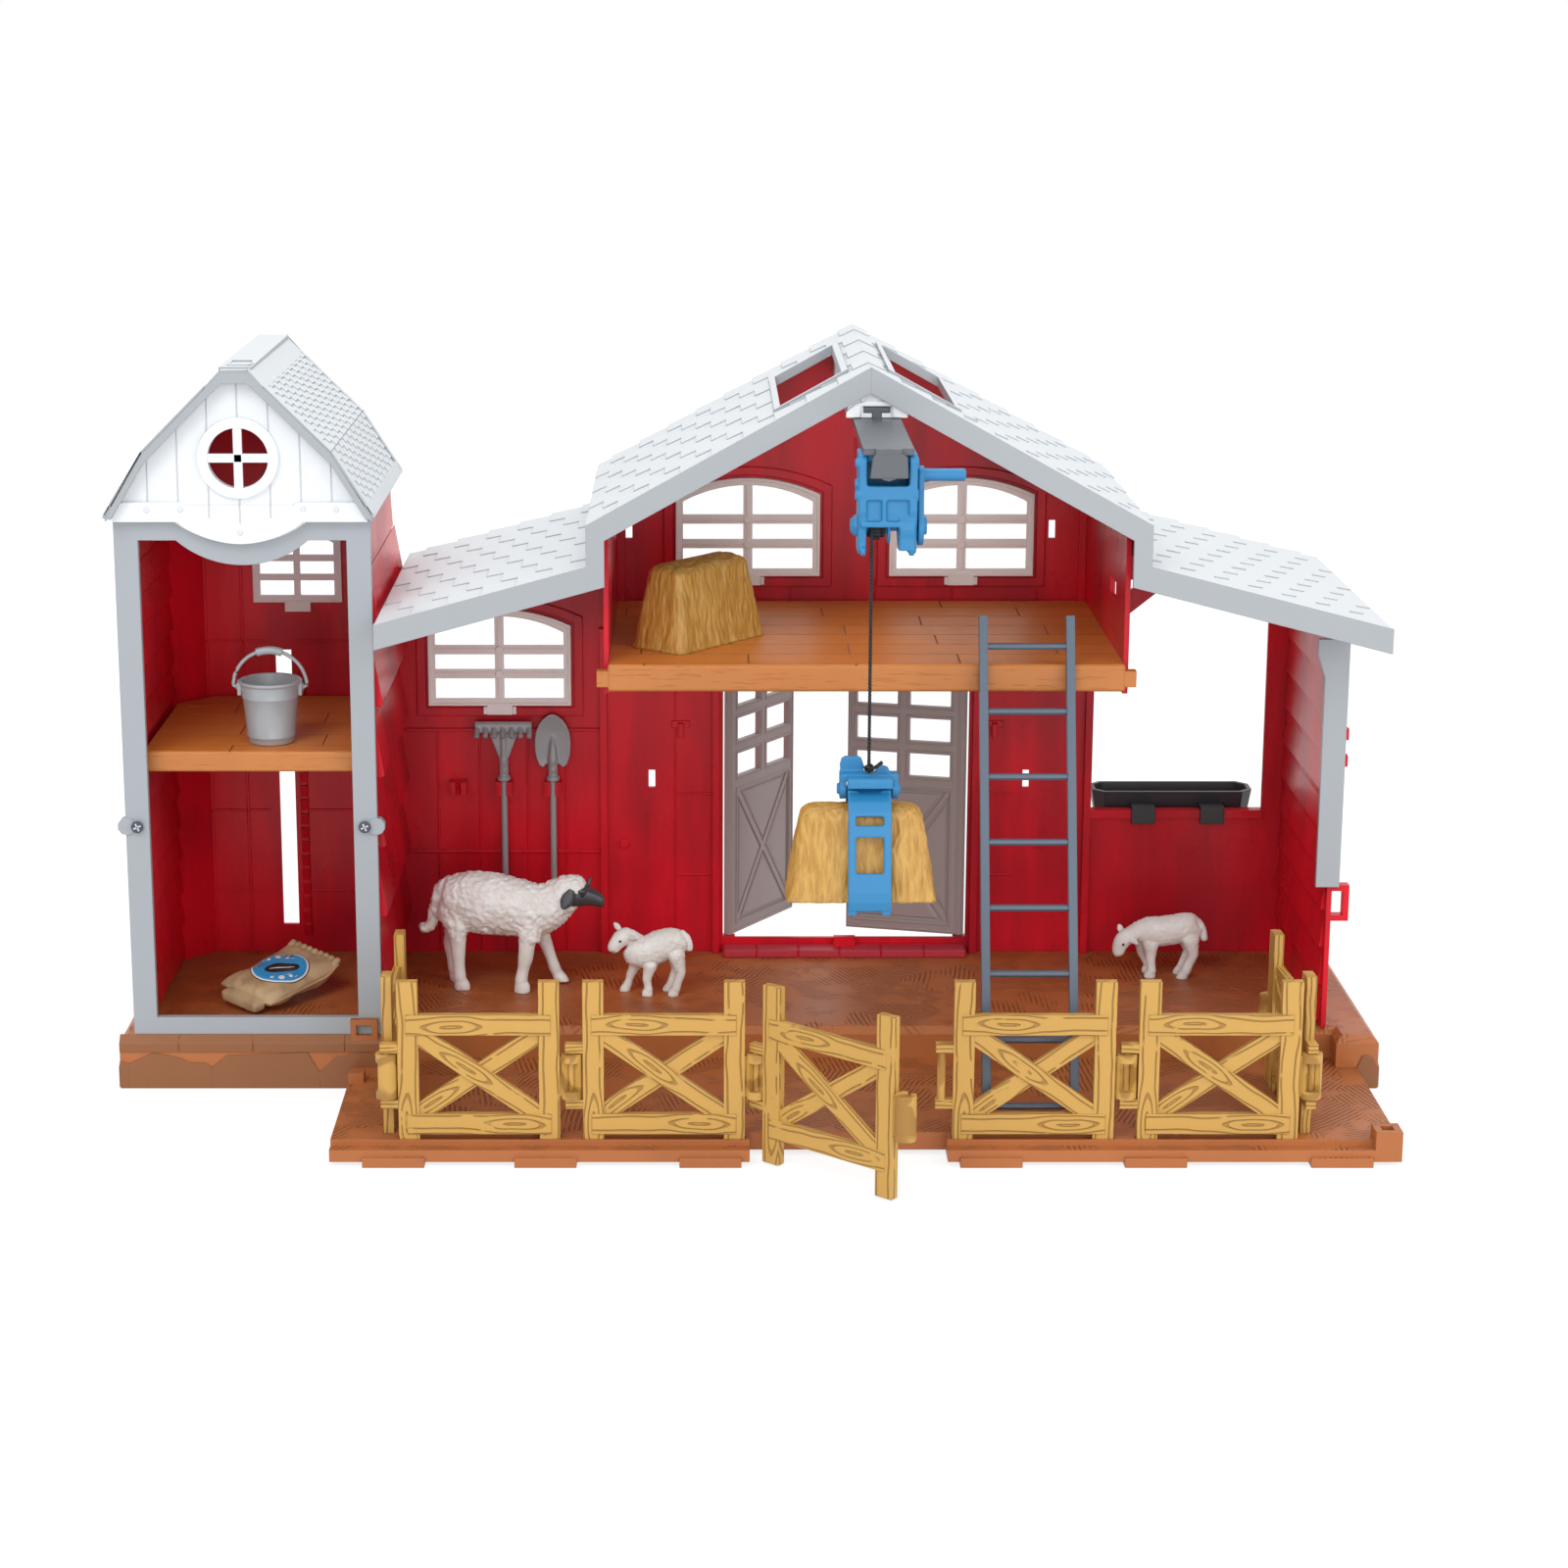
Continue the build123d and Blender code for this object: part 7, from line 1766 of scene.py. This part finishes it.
def make_base_stones():
    """Flat dressed stones with jagged tops round the foot and coping stones above them."""
    shape = Shape()
    front = -28.5
    for x0, x1, tops in SLABS:
        outline = [(x1, 0.4), (x0, 0.4)] + [(x0 + dx, z) for dx, z in tops]
        slab(shape, outline, front - 0.8, front + 0.6)

    def run_of_slabs(length, place, seed):
        """Slabs along one face; place turns (along, out, z) into model coordinates."""
        s, k = 0.0, 0
        while s < length - 8:
            span = 34 + 26 * abs(noise.noise(Vector((k * 1.7, seed, 0.5)))) * 2
            end = min(length, s + span)
            tops = []
            for j in range(5):
                t = j / 4
                lift = 17.5 + 4.0 * noise.noise(Vector((k * 2.3 + j * 1.9, seed, 2.0)))
                lift -= 6.0 if j in (0, 4) else 0.0
                tops.append((s + (end - s) * t, lift))
            ring = [(end, 0.4), (s, 0.4), *tops]
            shape.loft([[place(a, out, z) for a, z in ring] for out in (-0.6, 0.8)])
            s, k = end, k + 1

    run_of_slabs(158.0, lambda a, out, z: (-325.0 - out, front + a, z), 3.0)
    run_of_slabs(158.0, lambda a, out, z: (325.0 + out, front + a, z), 5.0)
    run_of_slabs(650.0, lambda a, out, z: (325.0 - a, 130.0 + out, z), 9.0)
    run_of_slabs(11.0, lambda a, out, z: (314.0 + a, front - out, z), 13.0)
    stone = plastic("stone_brown", colour(140, 88, 50), 0.48, 0.12)
    settle(shape, "foot_stones", stone, "barn", 0.3)
    cope = Shape()
    joints = (-325.3, -294.3, -255.9, -208.5, -189.6)
    for a, b in zip(joints, joints[1:]):
        ring = [(front - 0.7, 19.8), (front - 0.7, 24.6), (front + 3.4, 28.3), (front + 3.9, 28.3),
                (front + 3.9, 19.8)]
        cope.loft([[(x, y, z) for y, z in ring] for x in (a + 0.25, b - 0.25)])
    settle(cope, "coping_stones", stone, "barn", 0.6)


def make_beam_details():
    """Bracket round the beam's slot and the stop on the beam's end."""
    low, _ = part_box("ridge_channel")
    y, z = low[1] / MM, low[2] / MM
    half = ((15.0, 0.0), (14.8, 3.0), (10.6, 6.8), (5.0, 8.2))
    outline = [(60 + dx, z + dz) for dx, dz in half] + [(60 - dx, z + dz) for dx, dz in half[::-1]]
    outline += [(51.8, z), (52.6, z + 5.6), (67.4, z + 5.6), (68.2, z)]
    shape = Shape()
    slab(shape, outline, y - 1.0, y + 1.0)
    bracket = plastic("slot_bracket", colour(230, 233, 236), 0.4, 0.04)
    settle(shape, "slot_bracket", bracket, "barn", 0.5)
    stop = Shape()
    tab = [(51.4, 339.6), (68.8, 339.6), (69.0, 341.0), (68.6, 349.0), (66.6, 351.0), (54.2, 351.0),
           (52.6, 349.4)]
    slab(stop, tab, -162.3, -158.6)
    stop.box(58.6, 61.6, -162.1, -157.0, 350.0, 353.2)
    settle(stop, "beam_stop", FINISH["beam_grey"], "hoist", 0.6)


make_gable_trim()
make_silo_tiles()
make_window_bands()
make_wall_ribs()
make_door_mouldings()
make_base_stones()
make_beam_details()


# ---------------------------------------------------------------- bucket, tools and fittings
STEEL = FINISH["tool_grey"]


def turned(shape, cx, cy, cz, profile):
    """Solid of revolution about an upright line from (radius, height) points."""
    sides = 56
    rings = []
    for radius, rise in profile:
        rings.append([(cx + radius * cos(2 * pi * k / sides), cy + radius * sin(2 * pi * k / sides), cz + rise)
                      for k in range(sides)])
    shape.loft(rings)


BUCKET_X, BUCKET_Y = -246.4, 8.3
PIVOT_Z, BAIL_REACH = 205.0, 19.0
BUCKET_PROFILE = ((11.0, 0.0), (11.8, 0.5), (12.2, 3.2), (12.7, 3.7), (12.7, 4.6), (12.4, 5.2), (14.3, 23.6),
                  (14.8, 24.1), (14.8, 25.1), (14.6, 25.7), (15.2, 30.8), (16.0, 31.2), (16.4, 32.0),
                  (16.1, 32.8), (15.4, 33.0), (14.6, 32.6), (14.1, 31.0), (11.6, 5.0), (11.2, 2.6), (10.6, 2.2))


def bail_spot(turn):
    """Point on the arc of the bucket's handle."""
    return (BUCKET_X + BAIL_REACH * cos(turn), BUCKET_Y, PIVOT_Z + BAIL_REACH * sin(turn))


def make_pail():
    """Tapered bucket with a foot, two bands, a rolled lip and the ears of its handle."""
    shape = Shape()
    turned(shape, BUCKET_X, BUCKET_Y, 176.0, BUCKET_PROFILE)
    for side in (-1, 1):
        ear = [(-3.6, 201.0), (3.6, 201.0), (3.2, 206.4), (1.8, 208.8), (-1.8, 208.8), (-3.2, 206.4)]
        shape.loft([[(BUCKET_X + side * x, BUCKET_Y + y, z) for y, z in ear] for x in (14.6, 16.6)])
        shape.tube(*((BUCKET_X + side * x, BUCKET_Y, PIVOT_Z) for x in (16.2, 17.4)), 1.9, 20)
    made = shape.finish("pail", STEEL, "lift", 0.3, 40.0, 2)
    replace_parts(made, "bucket")


def make_pail_handle():
    """Arched wire handle with a thicker grip and ends turned into the ears."""
    shape = Shape()
    ends = ((15.8, PIVOT_Z), (17.6, PIVOT_Z), (18.8, 205.8))
    points = [(BUCKET_X + x, BUCKET_Y, z) for x, z in ends]
    points += [bail_spot(pi * k / 32) for k in range(1, 32)]
    points += [(BUCKET_X - x, BUCKET_Y, z) for x, z in ends[::-1]]
    sweep(shape, points, 1.0, 12)
    sweep(shape, [bail_spot(pi / 2 + radians(20.0) * (k - 6) / 6) for k in range(13)], 2.1, 20)
    made = shape.finish("pail_handle", STEEL, "bail", 0.0, 50.0, 2)
    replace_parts(made, "bucket_bail")


TOOL_Y = 111.4
RAKE_X, SHOVEL_X = -133.5, -106.5
SCREWS_X, SCREW_Z = (-311.4, -195.8), 139.5


def tool_shaft(shape, x):
    """Round shaft with its collar, socket and rivets."""
    shape.tube((x, TOOL_Y, 62.0), (x, TOOL_Y, 130.0), 1.8, 20)
    shape.tube((x, TOOL_Y, 128.6), (x, TOOL_Y, 131.0), 3.6, 24)
    shape.tube((x, TOOL_Y, 130.6), (x, TOOL_Y, 142.0), 2.6, 24)
    for z in (134.0, 138.4):
        shape.tube((x + 0.6, TOOL_Y - 2.2, z), (x + 0.6, TOOL_Y - 3.2, z), 0.8, 12)


def make_rake():
    """Rake with seven short teeth on a rounded bar."""
    x = RAKE_X
    shape = Shape()
    tool_shaft(shape, x)
    plate = [(x - 1.8, 139.0), (x + 1.8, 139.0), (x + 8.6, 157.0), (x - 8.6, 157.0)]
    shape.loft([[(px, y, pz) for px, pz in plate] for y in (TOOL_Y + 1.0, TOOL_Y - 0.8)])
    shape.tube((x, TOOL_Y - 0.4, 139.0), (x, TOOL_Y - 0.4, 157.0), 1.7, 16)
    shape.box(x - 15.4, x + 15.4, TOOL_Y - 2.4, TOOL_Y + 1.6, 156.0, 160.0)
    shape.tube((x - 15.6, TOOL_Y - 0.4, 160.0), (x + 15.6, TOOL_Y - 0.4, 160.0), 2.0, 16)
    for k in range(7):
        tx = x - 14.4 + 4.8 * k
        shape.tube((tx, TOOL_Y - 1.6, 158.2), (tx, TOOL_Y - 5.8, 154.2), 1.5, 14)
    moulded("hay_rake", shape, 0.5, 2, STEEL, "barn", "rake")


def make_shovel():
    """Shovel with a dished blade that narrows to a rounded point."""
    x = SHOVEL_X
    shape = Shape()
    tool_shaft(shape, x)
    add_limb(shape, [(x, TOOL_Y - 0.2, 139.0, 2.5), (x, TOOL_Y + 0.2, 146.0, 2.0),
                     (x, TOOL_Y + 1.4, 153.0, 0.9)])
    rows = ((138.4, 5.4), (140.0, 7.6), (141.4, 9.0), (145.0, 9.7), (151.0, 9.9), (156.0, 9.2), (160.0, 7.6),
            (163.0, 5.4), (165.2, 2.6), (165.9, 0.8))
    rings = []
    for z, half in rows:
        front, back = [], []
        for k in range(17):
            share = -1 + k / 8
            dish = 2.6 * (1 - share * share) * min(1.0, (166.5 - z) / 9.0)
            drop = 2.6 * abs(share) ** 3 if z < 141 else 0.0
            px, pz = x + half * share, z - drop
            front.append((px, TOOL_Y - 0.6 + dish * 0.6, pz))
            back.append((px, TOOL_Y + 1.0 + dish * 0.6, pz))
        rings.append(front + back[::-1])
    shape.loft(rings)
    moulded("hay_shovel", shape, 0.45, 2, STEEL, "barn", "shovel")


def make_fittings():
    """Crossed screw heads in the frame, tool clips on the wall and the lip of the loft."""
    low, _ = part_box("silo_frame_screws")
    y = low[1] / MM
    head = Shape()
    for x in SCREWS_X:
        head.tube((x, y + 0.5, SCREW_Z), (x, y - 0.5, SCREW_Z), 3.1, 28)
    settle(head, "screw_heads", plastic("screw_head", colour(66, 72, 82), 0.3, 0.1), "barn", 0.3)
    cross = Shape()
    for x in SCREWS_X:
        for turn in (25.0, 115.0):
            dx, dz = 2.1 * cos(radians(turn)), 2.1 * sin(radians(turn))
            nx, nz = -dz * 0.2, dx * 0.2
            corners = ((-dx - nx, -dz - nz), (dx - nx, dz - nz), (dx + nx, dz + nz), (-dx + nx, -dz + nz))
            slab(cross, [(x + px, SCREW_Z + pz) for px, pz in corners], y - 0.75, y - 0.3)
    bright = plastic("screw_cross", colour(206, 210, 214), 0.3, 0.1)
    settle(cross, "screw_crosses", bright, "barn", 0.1)
    clips = Shape()
    for x in (RAKE_X, SHOVEL_X):
        for side in (-1, 1):
            clips.box(x + side * 3.4 - 1.0, x + side * 3.4 + 1.0, TOOL_Y - 2.4, WALL_FACE, 120.4, 127.6)
        clips.box(x - 4.4, x + 4.4, WALL_FACE - 1.6, WALL_FACE + 0.3, 118.8, 129.0)
    settle(clips, "tool_clips", RED, "barn", 0.4)
    lip = Shape()
    lip.box(-71.2, 185.3, -51.7, -46.0, 215.6, 229.5)
    settle(lip, "loft_lip", FINISH["loft_orange"], "barn", 1.8)
    shelf = Shape()
    shelf.box(-310.2, -196.9, -15.7, -11.0, 165.6, 176.5)
    settle(shelf, "lift_lip", FINISH["loft_orange"], "lift", 1.6)


make_pail()
make_pail_handle()
make_rake()
make_shovel()
make_fittings()


# ---------------------------------------------------------------- stage, light and camera
def mesh_object(name, verts, faces):
    """Object made straight from vertices and faces in metres."""
    mesh = bpy.data.meshes.new(name)
    mesh.from_pydata(verts, [], faces)
    mesh.update()
    made = bpy.data.objects.new(name, mesh)
    bpy.context.scene.collection.objects.link(made)
    return made


def seen_rays(net, rays):
    """1 for rays the camera sees straight, in a reflection or through a clear piece."""
    seen = net.math("MAXIMUM", rays.outputs["Is Camera Ray"], rays.outputs["Is Glossy Ray"])
    return net.math("MAXIMUM", seen, rays.outputs["Is Transmission Ray"])


def pale_floor():
    """White floor that reads as plain white to the camera and as soft pale grey to the rest."""
    material = bpy.data.materials.new("pale_floor")
    material.use_nodes = True
    material.node_tree.nodes.clear()
    net = Net(material.node_tree)
    place = net.node("ShaderNodeTexCoord").outputs["Object"]
    soft = net.node("ShaderNodeBsdfDiffuse")
    net.feed(soft.inputs["Color"], net.mix(net.noise(place, 3.0), (0.80, 0.80, 0.80, 1.0),
                                           (0.83, 0.83, 0.83, 1.0)))
    glow = net.node("ShaderNodeEmission", {"Color": (1.0, 1.0, 1.0, 1.0), "Strength": 1.28})
    rays = net.node("ShaderNodeLightPath")
    seen = seen_rays(net, rays)
    mixed = net.node("ShaderNodeMixShader")
    net.feed(mixed.inputs[0], net.times(seen, 0.62))
    net.feed(mixed.inputs[1], soft.outputs[0])
    net.feed(mixed.inputs[2], glow.outputs[0])
    net.node("ShaderNodeOutputMaterial", {"Surface": mixed.outputs[0]})
    reach = 6.0
    corners = [(-reach, -reach, 0), (reach, -reach, 0), (reach, reach, 0), (-reach, reach, 0)]
    floor_plane = mesh_object("floor", corners, [(0, 1, 2, 3)])
    floor_plane.data.materials.append(material)


def area_light(name, place, target, size, power):
    """Square lamp turned towards a point."""
    data = bpy.data.lights.new(name, "AREA")
    data.shape = "SQUARE"
    data.size = size
    data.energy = power
    lamp = bpy.data.objects.new(name, data)
    lamp.location = place
    lamp.rotation_euler = (Vector(target) - Vector(place)).to_track_quat("-Z", "Y").to_euler()
    bpy.context.scene.collection.objects.link(lamp)


def white_world(strength):
    """White surroundings, dimmer for the light they cast than for the camera."""
    world = bpy.data.worlds.new("studio")
    world.use_nodes = True
    world.node_tree.nodes.clear()
    net = Net(world.node_tree)
    dim = net.node("ShaderNodeBackground", {"Color": (1.0, 1.0, 1.0, 1.0), "Strength": strength})
    plain = net.node("ShaderNodeBackground", {"Color": (1.0, 1.0, 1.0, 1.0), "Strength": 1.0})
    rays = net.node("ShaderNodeLightPath")
    mixed = net.node("ShaderNodeMixShader")
    net.feed(mixed.inputs[0], seen_rays(net, rays))
    net.feed(mixed.inputs[1], dim.outputs[0])
    net.feed(mixed.inputs[2], plain.outputs[0])
    net.node("ShaderNodeOutputWorld", {"Surface": mixed.outputs[0]})
    bpy.context.scene.world = world


def front_camera():
    """Long lens in front, a little above, looking slightly down."""
    data = bpy.data.cameras.new("front_camera")
    data.sensor_width = 36.0
    data.lens = 72.0
    data.shift_x = 85 / 1600
    data.shift_y = -80 / 1600
    view = bpy.data.objects.new("front_camera", data)
    view.location = (-0.025, -1.565, 0.561)
    view.rotation_euler = (radians(90 - 13.1), 0, 0)
    bpy.context.scene.collection.objects.link(view)
    bpy.context.scene.camera = view


pale_floor()
white_world(0.75)
area_light("key", (-0.9, -1.5, 1.7), (0, 0, 0.15), 1.1, 16.5)
area_light("front", (0.2, -2.0, 0.5), (0, 0, 0.25), 1.0, 6.5)
area_light("fill", (1.4, -1.2, 1.0), (0, 0, 0.15), 1.2, 9)
area_light("top", (0.1, 0.3, 1.9), (0, 0, 0.2), 1.2, 9)
front_camera()
bpy.context.scene.view_settings.view_transform = "Standard"
